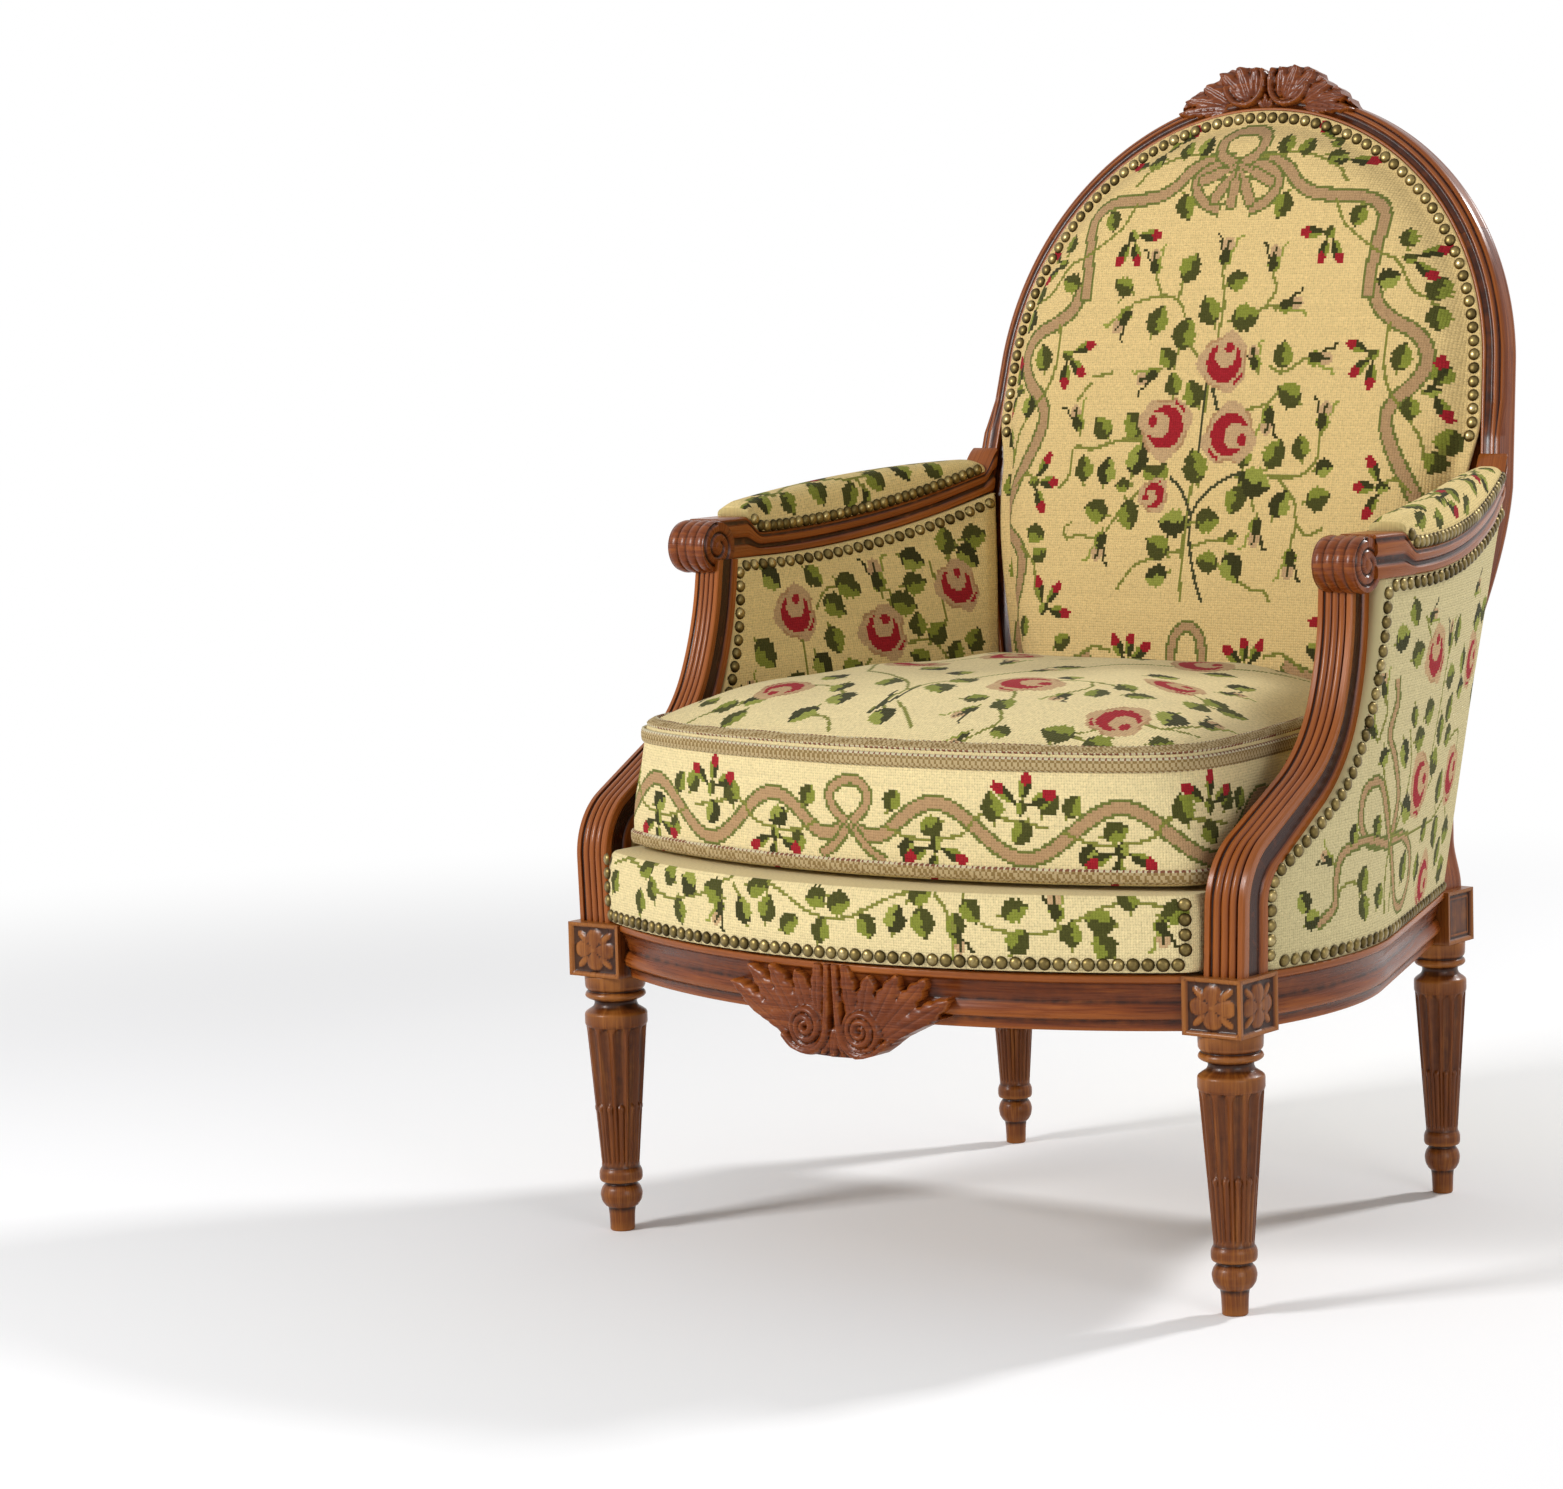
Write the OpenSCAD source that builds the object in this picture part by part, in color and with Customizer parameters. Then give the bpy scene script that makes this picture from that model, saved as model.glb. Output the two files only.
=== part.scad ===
// Bergere armchair: a round-backed show-wood frame with scrolled arms and fluted legs,
// stuffed sides, back and seat held by domed nails, and a loose seat cushion.
// Millimetres, Z up, floor at z = 0, front towards -Y.

/* [Legs] */
// Distance between the axes of the two front legs
front_spacing = 614; // [560:1:680]
// Distance between the axes of the two back legs
back_spacing = 451.4; // [410:1:490]
// Distance from the front leg axes to the back leg axes
leg_depth = 464.4; // [430:1:500]
// Height of a turned leg, from the floor to its block
leg_h = 220; // [200:1:245]
// Widest radius of a front leg, at its shoulder
leg_r = 26.3; // [23:0.1:27.5]
// Side of the square block on a front leg
front_block = 53.7; // [52:0.1:58]
// Side of the square block on a back leg
back_block = 43; // [40:0.5:48]
// Height of the leg blocks
block_h = 45.4; // [42:0.2:50]
// Size of a back leg against a front leg
back_leg_scale = 0.86; // [0.8:0.01:0.88]
// Number of flutes round a leg
flute_count = 12; // [8:1:14]
// Radius of a flute at its top
flute_r = 4.6; // [3.5:0.1:5]

/* [Seat frame] */
// How far the front rail swells ahead of the leg axes
front_swell = 99; // [85:1:110]
// Radius of the bow of the front rail
bow_r = 560; // [520:5:650]
// Thickness of the front and side rails
rail_w = 32; // [26:0.5:36]
// Height of the rails
rail_h = 45; // [40:0.5:45.4]
// How far the rails lie behind the faces of the leg blocks
rail_reveal = 4; // [2:0.5:8]
// How far the side rails swell outside the front leg blocks' line
side_swell = 13; // [6:0.5:20]
// Distance of the widest place of the side rails behind the front blocks
side_swell_back = 88; // [70:1:105]
// How deep the carved apron hangs under the front rail
apron_drop = 31; // [15:1:40]
// Half width of the carved apron
apron_half = 108; // [80:1:130]
// Thickness of the back rail
back_rail_w = 26; // [20:1:30]
// Length of the tenons on the rails
tenon_l = 18; // [12:1:20]
// Thickness of the tenons
tenon_w = 9; // [7:1:12]

/* [Back frame] */
// Radius of the arch, at the inner edge of the wood
arch_r = 247.5; // [235:0.5:255]
// Height of the centre of the arch
arch_z = 696; // [680:1:720]
// Distance of the arch's centre behind the back leg axes, on the front plane of the back
arch_y = 44.6; // [35.6:1:55.6]
// Lean of the back from upright, in degrees
lean = 12.25; // [9:0.25:15]
// Thickness of the back frame
frame_d = 27; // [24:0.5:32]
// Width of the show wood outside the upholstery
frame_w = 19; // [17:0.5:24]
// Width of the frame hidden under the upholstery
rebate_w = 22; // [16:0.5:26]
// Angle above the level where the stiles meet the crest rail
splice_angle = 32; // [25:1:40]
// How far the stiles stand out beyond the arch at the arms
stile_flare = 7.5; // [4:0.5:10]
// Height of the widest part of the stiles
flare_z = 614; // [600:1:630]
// How far the stiles draw in at the waist from the sides of the leg blocks
stile_waist = 16; // [8:1:18]
// Height of the carved crest above the arch
crest_rise = 24; // [12:1:28]
// Half width of the carved crest
crest_half = 88; // [70:1:100]

/* [Arms] */
// How far the outer end of a scroll stands outside its support
scroll_out = 15; // [5:1:25]
// Width of a scroll
scroll_w = 40; // [36:0.5:44]
// Radius of a scroll
scroll_r = 23; // [20:0.5:24]
// Distance of the scroll axis behind the front leg axes
scroll_y = 153; // [145:1:160]
// Height of the scroll axis
scroll_z = 569; // [560:1:580]
// How far the outer face of the arm stands outside the stile, at the back
arm_out_back = 7; // [3:1:11]
// How far the arms swell outwards
arm_swell = 22; // [10:1:26]
// Width of an arm
arm_w = 36; // [32:0.5:38]
// Height of the wood of an arm
arm_h = 20; // [17:0.5:24]
// Height of the underside of an arm at its front
arm_under_z = 557; // [550:1:562]
// How far the arm climbs towards the back
arm_climb = 43; // [30:1:50]
// Height of the arm pad over the wood at its front
pad_h = 26; // [20:1:32]

/* [Arm supports] */
// Width of a support at its foot
support_w = 35; // [31:0.5:37]
// Width of a support at its top
support_top_w = 29; // [26:0.5:32]
// Depth of a support at its foot
support_d = 36; // [32:0.5:38]
// Depth of a support at its top
support_top_d = 27; // [24:0.5:30]
// How far the outer face of a support lies outside the axis of its front leg
support_out = 23; // [19:0.5:26]
// Depth of the reeds on the front of a support
reed_depth = 2.2; // [1:0.1:3]

/* [Upholstery] */
// Height of the seat stuffing over the rails
deck_h = 62; // [50:1:70]
// How far the back stuffing swells forwards at its foot
back_puff = 42; // [30:1:46]
// How far the back stuffing swells forwards at its top
back_puff_top = 30; // [22:1:36]
// Half width of the cushion at its front
cushion_half = 288; // [275:1:289]
// Half width of the cushion at its back
cushion_back_half = 216; // [200:1:218]
// How far the cushion's front lies behind the front rail's, at the middle
cushion_front = 27; // [19:1:39]
// Distance of the cushion's back ahead of the back leg axes
cushion_back = 56.4; // [52.4:1:74.4]
// Height of the cushion's sides
cushion_side_h = 92; // [75:1:100]
// Height of the cushion's crown above its sides
cushion_crown = 44; // [30:1:56]
// Thickness of the stuffed panels inside the arms
panel_t = 12; // [9:0.5:14]
// Thickness of the covers outside the arms
cover_t = 6; // [4:0.5:8]
// Pitch of the domed nails
nail_pitch = 11.6; // [11:0.1:14]
// Radius of a nail's dome
nail_r = 5; // [4:0.1:5.3]

/* [Hidden] */
$fn = 48;

wood = [0.46, 0.22, 0.12];
leg_wood = [0.55, 0.33, 0.17];
inner_wood = [0.72, 0.56, 0.36];
cloth = [0.87, 0.79, 0.60];
side_cloth = [0.84, 0.79, 0.66];
brass = [0.52, 0.45, 0.27];
jute = [0.66, 0.55, 0.38];
steel = [0.6, 0.6, 0.58];

// Overrun of every cut, and the clearance between upholstery and its neighbours
cut = 1;
gap = 0.4;

function lerp(a, b, t) = a + (b - a) * t;
function clamp01(t) = min(1, max(0, t));
function ease(t) = (1 - cos(180 * clamp01(t))) / 2;
function unit(v) = v / norm(v);

rail_top = leg_h + block_h;
rail_base = rail_top - rail_h;
side_y0 = front_block / 2;
side_y1 = leg_depth - back_block / 2;
side_x0 = (front_spacing + front_block) / 2 - rail_reveal;
side_x1 = (back_spacing + back_block) / 2 - rail_reveal;
arch_plane_y = leg_depth + arch_y;
support_x = front_spacing / 2 + support_out;
scroll_x = support_x + scroll_out;
arm_back_x = arch_r + stile_flare + frame_w + arm_out_back;
cushion_front_y = front_swell - cushion_front;
cushion_back_y = leg_depth - cushion_back;

// Plan of the outer edge of the rails
function front_y(x) = bow_r - front_swell - sqrt(bow_r * bow_r - x * x);
// A side rail is a bow round a centre, then a straight run to the back leg
side_r = (side_swell * side_swell + side_swell_back * side_swell_back) / (2 * side_swell);
side_center = [side_x0 + side_swell - side_r, side_y0 + side_swell_back];
side_run = [side_x1, side_y1] - side_center;
side_turn = atan2(side_run[1], side_run[0]) - acos(side_r / norm(side_run));
side_join = side_center + side_r * [cos(side_turn), sin(side_turn)];
function side_x(y) = y < side_join[1]
    ? side_center[0] + sqrt(side_r * side_r - pow(y - side_center[1], 2))
    : side_join[0] - (y - side_join[1]) * tan(side_turn);

// The back plane leans about the arch's centre: across, up the slope, and behind the front face
function back_at(x, s, b) = [
    x,
    arch_plane_y + s * sin(lean) + b * cos(lean),
    arch_z + s * cos(lean) - b * sin(lean)];
function plane_y(z) = arch_plane_y + (z - arch_z) * tan(lean);

// Everything stands with the middle of its depth over the origin
crest_reach = arch_r + frame_w + crest_rise;
apron_relief = 9;
depth_front = -front_swell - apron_relief;
depth_back = back_at(0, crest_reach, frame_d)[1];
module stand() {
    translate([0, -(depth_front + depth_back) / 2, 0]) children();
}
module both(side) {
    if (side < 0) mirror([1, 0, 0]) children();
    else children();
}

// A closed skin over a row of rings that turn clockwise when seen from beyond the first, with a hub point in each end
module skin(rings, hub0, hub1) {
    n = len(rings);
    m = len(rings[0]);
    pts = concat([for (r = rings) each r], [hub0, hub1]);
    sides = [for (i = [0 : n - 2]) for (j = [0 : m - 1])
        let (a = i * m + j, b = i * m + (j + 1) % m)
        each [[a, b, b + m], [a, b + m, a + m]]];
    cap0 = [for (j = [0 : m - 1]) [n * m, (j + 1) % m, j]];
    cap1 = [for (j = [0 : m - 1]) [n * m + 1, (n - 1) * m + j, (n - 1) * m + (j + 1) % m]];
    polyhedron(pts, concat(sides, cap0, cap1));
}
// The same for a thin sheet, whose rings run up one face and back down the other
module sheet_skin(rings) {
    n = len(rings);
    m = len(rings[0]);
    sides = [for (i = [0 : n - 2]) for (j = [0 : m - 1])
        let (a = i * m + j, b = i * m + (j + 1) % m)
        each [[a, b, b + m], [a, b + m, a + m]]];
    ends = [for (i = [0 : m / 2 - 2]) let (a = i, b = i + 1, c = m - 2 - i, d = m - 1 - i, e = (n - 1) * m)
        each [[a, c, b], [a, d, c], [e + a, e + b, e + c], [e + a, e + c, e + d]]];
    polyhedron([for (r = rings) each r], concat(sides, ends));
}
function turned(rings) = [for (r = rings) [for (i = [len(r) - 1 : -1 : 0]) r[i]]];
function mean(ring) = [for (k = [0 : 2]) (max([for (p = ring) p[k]]) + min([for (p = ring) p[k]])) / 2];

// Legs

leg_outline_shares = [
    [0, 0], [0.39, 0], [0.41, 0.064], [0.437, 0.091], [0.53, 0.098], [0.64, 0.118], [0.68, 0.145],
    [0.627, 0.168], [0.513, 0.184], [0.513, 0.191], [0.654, 0.193], [0.692, 0.205], [0.692, 0.23],
    [0.646, 0.243], [0.60, 0.25], [0.965, 0.80], [1, 0.809], [1, 0.85], [0.91, 0.859],
    [0.72, 0.873], [0.67, 0.889], [0.70, 0.90], [0.89, 0.907], [0.985, 0.918], [0.93, 0.932],
    [0.856, 0.936], [0.96, 0.95], [0.977, 1], [0, 1]];
shaft_base_share = 0.265;
shaft_top_share = 0.775;
cable_top_share = 0.48;
shaft_base_r_share = 0.61;
shaft_top_r_share = 0.955;
flute_set_share = 0.34;
flute_taper_share = 0.6;
root_share = 0.9;

module flute_line(k, r, top_share) {
    lo = shaft_base_share * leg_h;
    hi = shaft_top_share * leg_h;
    tilt = atan((shaft_top_r_share - shaft_base_r_share) * r / (hi - lo));
    rotate([0, 0, (k + 0.5) * 360 / flute_count])
        translate([shaft_base_r_share * r, 0, lo])
            rotate([0, tilt, 0]) children();
}

module turned_leg(r) {
    run = (shaft_top_share - shaft_base_share) * leg_h;
    cable_run = (cable_top_share - shaft_base_share) * leg_h;
    cutter = flute_r * r / leg_r;
    difference() {
        union() {
            rotate_extrude() polygon([for (p = leg_outline_shares) [p[0] * r, p[1] * leg_h]]);
            translate([0, 0, leg_h - cut]) cylinder(h = 2 * cut, r = r * root_share);
        }
        for (k = [0 : flute_count - 1]) flute_line(k, r) {
            translate([cutter * flute_set_share * flute_taper_share, 0, 0])
                cylinder(h = run, r1 = cutter * flute_taper_share, r2 = cutter, $fn = 24);
            translate([cutter * flute_set_share, 0, run]) sphere(r = cutter, $fn = 24);
        }
    }
    for (k = [0 : flute_count - 1]) flute_line(k, r) {
        translate([-cutter * flute_set_share, 0, -cut])
            cylinder(h = cable_run + cut, r1 = cutter * flute_taper_share * 0.8, r2 = cutter * 0.66, $fn = 24);
        translate([-cutter * flute_set_share, 0, cable_run]) sphere(r = cutter * 0.66, $fn = 24);
    }
}

panel_share = 0.74;
panel_depth = 2.4;
petal_count = 8;

// The sunk square on a block's face, with or without its carved rosette; the face looks along +X
module sunk_panel(size) {
    side = size * panel_share;
    height = block_h * panel_share;
    translate([-panel_depth, -side / 2, -height / 2]) cube([panel_depth + cut, side, height]);
}
module rosette(size) {
    petal_r = size * 0.075;
    ring_r = size * 0.2;
    rotate([0, 90, 0]) {
        translate([0, 0, -panel_depth - cut]) cylinder(h = panel_depth + cut, r = petal_r);
        for (k = [0 : petal_count - 1]) rotate([0, 0, k * 360 / petal_count])
            translate([ring_r * (k % 2 == 0 ? 1 : 1.35), 0, -panel_depth - cut])
                cylinder(h = panel_depth * 0.8 + cut, r = petal_r);
    }
}

rail_tenon_up = 5;
rail_tenon_z = leg_h + rail_tenon_up;
rail_tenon_h = 22;

module front_leg(side) {
    both(side) translate([front_spacing / 2, 0, 0]) color(leg_wood) {
        turned_leg(leg_r);
        difference() {
            translate([-front_block / 2, -front_block / 2, leg_h]) cube([front_block, front_block, block_h]);
            translate([front_block / 2, 0, leg_h + block_h / 2]) sunk_panel(front_block);
            translate([0, -front_block / 2, leg_h + block_h / 2]) rotate([0, 0, -90]) sunk_panel(front_block);
            translate([-front_spacing / 2, 0, 0]) {
                front_tenon(1);
                side_front_tenon();
                support_tenon();
            }
        }
        translate([front_block / 2, 0, leg_h + block_h / 2]) rosette(front_block);
        translate([0, -front_block / 2, leg_h + block_h / 2]) rotate([0, 0, -90]) rosette(front_block);
    }
}

module back_leg(side) {
    both(side) translate([back_spacing / 2, leg_depth, 0]) color(leg_wood) {
        turned_leg(leg_r * back_leg_scale);
        difference() {
            translate([-back_block / 2, -back_block / 2, leg_h]) cube([back_block, back_block, block_h]);
            translate([back_block / 2, 0, leg_h + block_h / 2]) sunk_panel(back_block);
            translate([-back_spacing / 2, -leg_depth, 0]) {
                side_back_tenon();
                back_tenon(1);
                stile_tenon();
            }
        }
    }
}

// Tenons: each is cut from the mortised piece and added to the tenoned one

front_tenon_set = 13.9;
module front_tenon(side) {
    half = front_spacing / 2 - front_block / 2;
    both(side) translate([half, front_y(half) + front_tenon_set - tenon_w / 2, rail_tenon_z])
        cube([tenon_l, tenon_w, rail_tenon_h]);
}
module side_front_tenon() {
    translate([front_spacing / 2 + front_block / 2 - rail_reveal * 2 - tenon_w, side_y0 - tenon_l, rail_tenon_z])
        cube([tenon_w, tenon_l, rail_tenon_h]);
}
module side_back_tenon() {
    translate([back_spacing / 2 + back_block / 2 - rail_reveal * 2 - tenon_w, side_y1, rail_tenon_z])
        cube([tenon_w, tenon_l, rail_tenon_h]);
}
module back_tenon(side) {
    both(side) translate([back_spacing / 2 - back_block / 2, leg_depth + tenon_w / 2, rail_tenon_z])
        cube([tenon_l, tenon_w, rail_tenon_h]);
}
peg = 16;
support_foot_y = -18;
module support_tenon() {
    translate([support_x - support_w / 2 - peg / 2, support_foot_y + support_d / 2 - peg / 2, rail_top - peg * 0.9])
        cube([peg, peg, peg * 0.9]);
}
module stile_tenon() {
    translate([stile_foot_out - frame_w - peg / 2, leg_depth - peg / 2, rail_top - peg * 0.9])
        cube([peg, peg, peg * 0.9]);
}

// Seat rails

rail_profile_shares = [
    [0, 1], [0, 0.9], [0.09, 0.86], [0.22, 0.68], [0.25, 0.52], [0.16, 0.41], [0.125, 0.32],
    [0.16, 0.24], [0.25, 0.20], [0.3, 0.14], [0.31, 0], [1, 0], [1, 1]];
bow_y = bow_r - front_swell;

module front_rail_body() {
    half = front_spacing / 2 - front_block / 2;
    intersection() {
        translate([0, bow_y, 0]) rotate_extrude($fn = 180)
            polygon([for (p = rail_profile_shares) [bow_r - p[0] * rail_w, rail_base + p[1] * rail_h]]);
        translate([-half, -front_swell - cut, rail_base - cut])
            cube([2 * half, front_swell + side_y0, rail_h + 2 * cut]);
    }
}

apron_shares = [[1, 0.3], [1, 0], [0.75, -0.24], [0.56, -0.5], [0.42, -0.86], [0.25, -1], [0, -0.94]];

module apron_outline() {
    right = [for (p = apron_shares) [p[0] * apron_half, rail_base + p[1] * apron_drop]];
    left = [for (i = [len(right) - 2 : -1 : 0]) [-right[i][0], right[i][1]]];
    polygon(concat(right, left));
}

scroll_boss_r = 15;
leaf_r = 6.5;
leaf_spread_shares = [[0.16, 1.1], [0.34, 1.12], [0.52, 0.95], [0.68, 0.7], [0.84, 0.5]];

module apron_carving() {
    intersection() {
        difference() {
            translate([0, bow_y, rail_base - apron_drop - cut])
                cylinder(h = rail_h + apron_drop, r = bow_r + apron_relief * 0.4, $fn = 180);
            translate([0, bow_y, rail_base - apron_drop - 2 * cut])
                cylinder(h = rail_h + apron_drop + 2 * cut, r = bow_r - rail_w * 0.9, $fn = 180);
        }
        translate([0, 0, 0]) rotate([90, 0, 0]) linear_extrude(front_swell + apron_relief) apron_outline();
    }
    intersection() {
        translate([0, bow_y, rail_base - apron_drop - cut])
            cylinder(h = rail_h + apron_drop, r = bow_r + apron_relief, $fn = 180);
        for (side = [-1, 1]) both(side) rotate([90, 0, 0]) translate([0, 0, front_swell * 0.7]) {
            translate([apron_half * 0.3, rail_base - apron_drop * 0.35, 0])
                cylinder(h = front_swell, r = scroll_boss_r);
            for (p = leaf_spread_shares)
                translate([p[0] * apron_half, rail_base + p[1] * apron_drop * 0.55, 0])
                    cylinder(h = front_swell, r = leaf_r);
        }
    }
}

screw_r = 2.4;
screw_head_r = 4.5;
screw_l = 46;
screw_head_h = 3;
brace_set = 4;
front_screw_in = 34;
side_screw_in = 36;
back_screw_in = 26;
low_screw_up = 14;
high_screw_up = 31;
block_z0 = rail_base + brace_set;
block_z1 = rail_top - brace_set;
front_screw_x = front_spacing / 2 - front_block / 2 - front_screw_in;
side_screw_y = side_y0 + side_screw_in;
back_side_screw_y = side_y1 - front_screw_in;
back_screw_x = back_spacing / 2 - back_block / 2 - back_screw_in;
low_screw_z = rail_base + low_screw_up;
high_screw_z = rail_base + high_screw_up;
screw_bite = 14;

module screw(length) {
    cylinder(h = length, r = screw_r, $fn = 24);
    translate([0, 0, -screw_head_h]) cylinder(h = screw_head_h, r = screw_head_r, $fn = 24);
}
// The four screws of the right-hand side, each from its block into its rail
module side_screws() {
    translate([front_screw_x, rail_in_y(front_screw_x) - screw_bite + screw_l * 0.6, low_screw_z])
        rotate([90, 0, 0]) screw(screw_l * 0.6);
    translate([rail_in_x(side_screw_y) + screw_bite - screw_l * 0.6, side_screw_y, high_screw_z])
        rotate([0, 90, 0]) screw(screw_l * 0.6);
    translate([rail_in_x(back_side_screw_y) + screw_bite - screw_l * 0.6, back_side_screw_y, high_screw_z])
        rotate([0, 90, 0]) screw(screw_l * 0.6);
    translate([back_screw_x, leg_depth - back_rail_w / 2 + screw_bite - screw_l * 0.6, low_screw_z])
        rotate([-90, 0, 0]) screw(screw_l * 0.6);
}
module all_screws() {
    side_screws();
    mirror([1, 0, 0]) side_screws();
}

module front_rail() {
    color(wood) difference() {
        union() {
            front_rail_body();
            apron_carving();
            front_tenon(1);
            front_tenon(-1);
        }
        all_screws();
    }
}

side_lap = 6;
module side_rail_profile(r) {
    polygon([for (p = rail_profile_shares) [r - p[0] * rail_w, rail_base + p[1] * rail_h]]);
}
module side_rail_body() {
    reach = 2 * side_r;
    straight = norm([side_x1, side_y1] - side_join) + rail_w + side_lap;
    intersection() {
        union() {
            intersection() {
                translate(side_center) rotate_extrude($fn = 180) side_rail_profile(side_r);
                translate(concat(side_center, rail_base - cut)) linear_extrude(rail_h + 2 * cut)
                    polygon([[0, 0], [reach, -reach], [reach, 0], reach * [cos(side_turn), sin(side_turn)]]);
            }
            translate(side_join) rotate([0, 0, side_turn]) translate([0, straight - side_lap, 0])
                rotate([90, 0, 0]) linear_extrude(straight) side_rail_profile(0);
        }
        translate([0, side_y0, rail_base - cut]) cube([reach, side_y1 - side_y0, rail_h + 2 * cut]);
    }
}

module side_rail(side) {
    both(side) color(wood) difference() {
        union() {
            side_rail_body();
            side_front_tenon();
            side_back_tenon();
        }
        side_screws();
    }
}

module back_rail() {
    half = back_spacing / 2 - back_block / 2;
    color(wood) difference() {
        union() {
            translate([-half, leg_depth - back_rail_w / 2, rail_base]) cube([2 * half, back_rail_w, rail_h]);
            back_tenon(1);
            back_tenon(-1);
        }
        all_screws();
    }
}

function rail_in_y(x) = bow_y - sqrt(pow(bow_r - rail_w, 2) - x * x);
inner_join_y = side_center[1] + (side_r - rail_w) * sin(side_turn);
function rail_in_x(y) = y < inner_join_y
    ? side_center[0] + sqrt(pow(side_r - rail_w, 2) - pow(y - side_center[1], 2))
    : side_join[0] - (y - side_join[1]) * tan(side_turn) - rail_w / cos(side_turn);
brace_w = 62;

module side_corner_blocks() {
    corner_x = front_spacing / 2 - front_block / 2;
    back_x = back_spacing / 2 - back_block / 2;
    back_y = leg_depth - back_rail_w / 2;
    difference() {
        translate([0, 0, block_z0]) linear_extrude(block_z1 - block_z0) {
            polygon([
                [corner_x - gap, rail_in_y(corner_x) + gap],
                [corner_x - brace_w, rail_in_y(corner_x - brace_w) + gap],
                [rail_in_x(side_y0 + brace_w) - gap, side_y0 + brace_w],
                [rail_in_x(side_y0 + gap) - gap, side_y0 + gap],
                [corner_x - gap, side_y0 + gap]]);
            polygon([
                [back_x - gap, back_y - gap],
                [back_x - brace_w, back_y - gap],
                [rail_in_x(side_y1 - brace_w) - gap, side_y1 - brace_w],
                [rail_in_x(side_y1 - gap) - gap, side_y1 - gap],
                [back_x - gap, side_y1 - gap]]);
        }
        side_screws();
    }
}

module corner_blocks() {
    color(inner_wood) {
        side_corner_blocks();
        mirror([1, 0, 0]) side_corner_blocks();
    }
}
module corner_block_screws() {
    color(steel) all_screws();
}

// Arm supports: the path of the front outer edge is a straight, two arcs and a lean

support_rise = 53;
knee_r = 60;
knee_turn = 61;
thigh_l = 74;
hip_r = 115;
hip_turn = 37;
neck_r = 250;
neck_turn = 18;
support_plumb = 36;
support_bow = 4;

// A point and heading (degrees above the level, towards the back) along the support
function support_path(t) =
    let (knee_l = knee_r * knee_turn * PI / 180, hip_l = hip_r * hip_turn * PI / 180,
        neck_l = neck_r * neck_turn * PI / 180,
        a0 = 90 - knee_turn, a1 = a0 + hip_turn, a2 = a1 + neck_turn,
        whole = support_rise + knee_l + thigh_l + hip_l + neck_l + support_plumb,
        d = t * whole,
        d1 = d - support_rise, d2 = d1 - knee_l, d3 = d2 - thigh_l, d4 = d3 - hip_l, d5 = d4 - neck_l,
        h1 = 90 - knee_turn * clamp01(d1 / knee_l),
        h2 = a0 + hip_turn * clamp01(d3 / hip_l),
        h3 = a1 + neck_turn * clamp01(d4 / neck_l),
        y = support_foot_y + knee_r * (1 - sin(h1)) + clamp01(d2 / thigh_l) * thigh_l * cos(a0)
            + hip_r * (sin(h2) - sin(a0)) + neck_r * (sin(h3) - sin(a1)) + max(0, d5) * cos(a2),
        z = rail_top + min(d, support_rise) + knee_r * cos(h1) + clamp01(d2 / thigh_l) * thigh_l * sin(a0)
            + hip_r * (cos(a0) - cos(h2)) + neck_r * (cos(a1) - cos(h3)) + max(0, d5) * sin(a2),
        heading = d2 < 0 ? h1 : (d4 < 0 ? h2 : h3))
    [y, z, heading];

reed_shares = [
    [0, 0.4], [0.05, 0], [0.15, 0], [0.2, 1], [0.3, 0.15], [0.4, 1], [0.5, 0.1], [0.6, 1], [0.7, 0.15],
    [0.8, 1], [0.85, 0], [0.95, 0], [1, 0.4]];
support_steps = 34;

function support_ring(t) =
    let (p = support_path(t), w = lerp(support_w, support_top_w, ease(t)),
        d = lerp(support_d, support_top_d, ease(t * 1.6)),
        out = support_x + support_bow * sin(180 * t), n = [cos(p[2] - 90), sin(p[2] - 90)],
        shape = concat([for (q = reed_shares) [q[0] * w, q[1] * reed_depth]], [[w, d], [0, d]]))
    [for (q = shape) [out - q[0], p[0] + q[1] * n[0], p[1] + q[1] * n[1]]];

module arm_support(side) {
    rings = [for (i = [0 : support_steps]) support_ring(i / support_steps)];
    both(side) color(wood) difference() {
        union() {
            skin(rings, mean(rings[0]), mean(rings[support_steps]));
            support_tenon();
        }
        translate([0, 0, arm_under_z]) cube([scroll_x, scroll_y + scroll_w, scroll_w]);
        translate([scroll_x - scroll_w - cut, scroll_y, scroll_z]) rotate([0, 90, 0])
            cylinder(h = scroll_w + 2 * cut, r = scroll_r + gap / 2, $fn = 96);
    }
}

// Arms

arm_end_y = plane_y(arm_under_z + arm_climb + arm_h * 1.3);
arm_level_l = 77;
arm_climb_y = scroll_y + arm_level_l;
arm_narrow = 6;
pad_start = 52;
pad_stop = 12;
pad_y0 = scroll_y + pad_start;
pad_y1 = arm_end_y - pad_stop;
pad_climb = 25;
groove_depth = 3.2;

function arm_t(y) = clamp01((y - scroll_y) / (arm_end_y - scroll_y));
function arm_out(y) = lerp(scroll_x, arm_back_x, arm_t(y)) + arm_swell * sin(180 * pow(arm_t(y), 0.8));
function arm_width(y) = arm_w - arm_narrow * ease((arm_t(y) - 0.6) / 0.4);
function arm_under(y) = arm_under_z + arm_climb * pow(clamp01((y - arm_climb_y) / (arm_end_y - arm_climb_y)), 1.9);
function arm_top(y) = y < pad_y0 - 1.5 * cut ? scroll_z + scroll_r
    : arm_under(y) + arm_h * (1 + 0.9 * ease((y - pad_y1 - gap) / (arm_end_y - pad_y1)));

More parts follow.
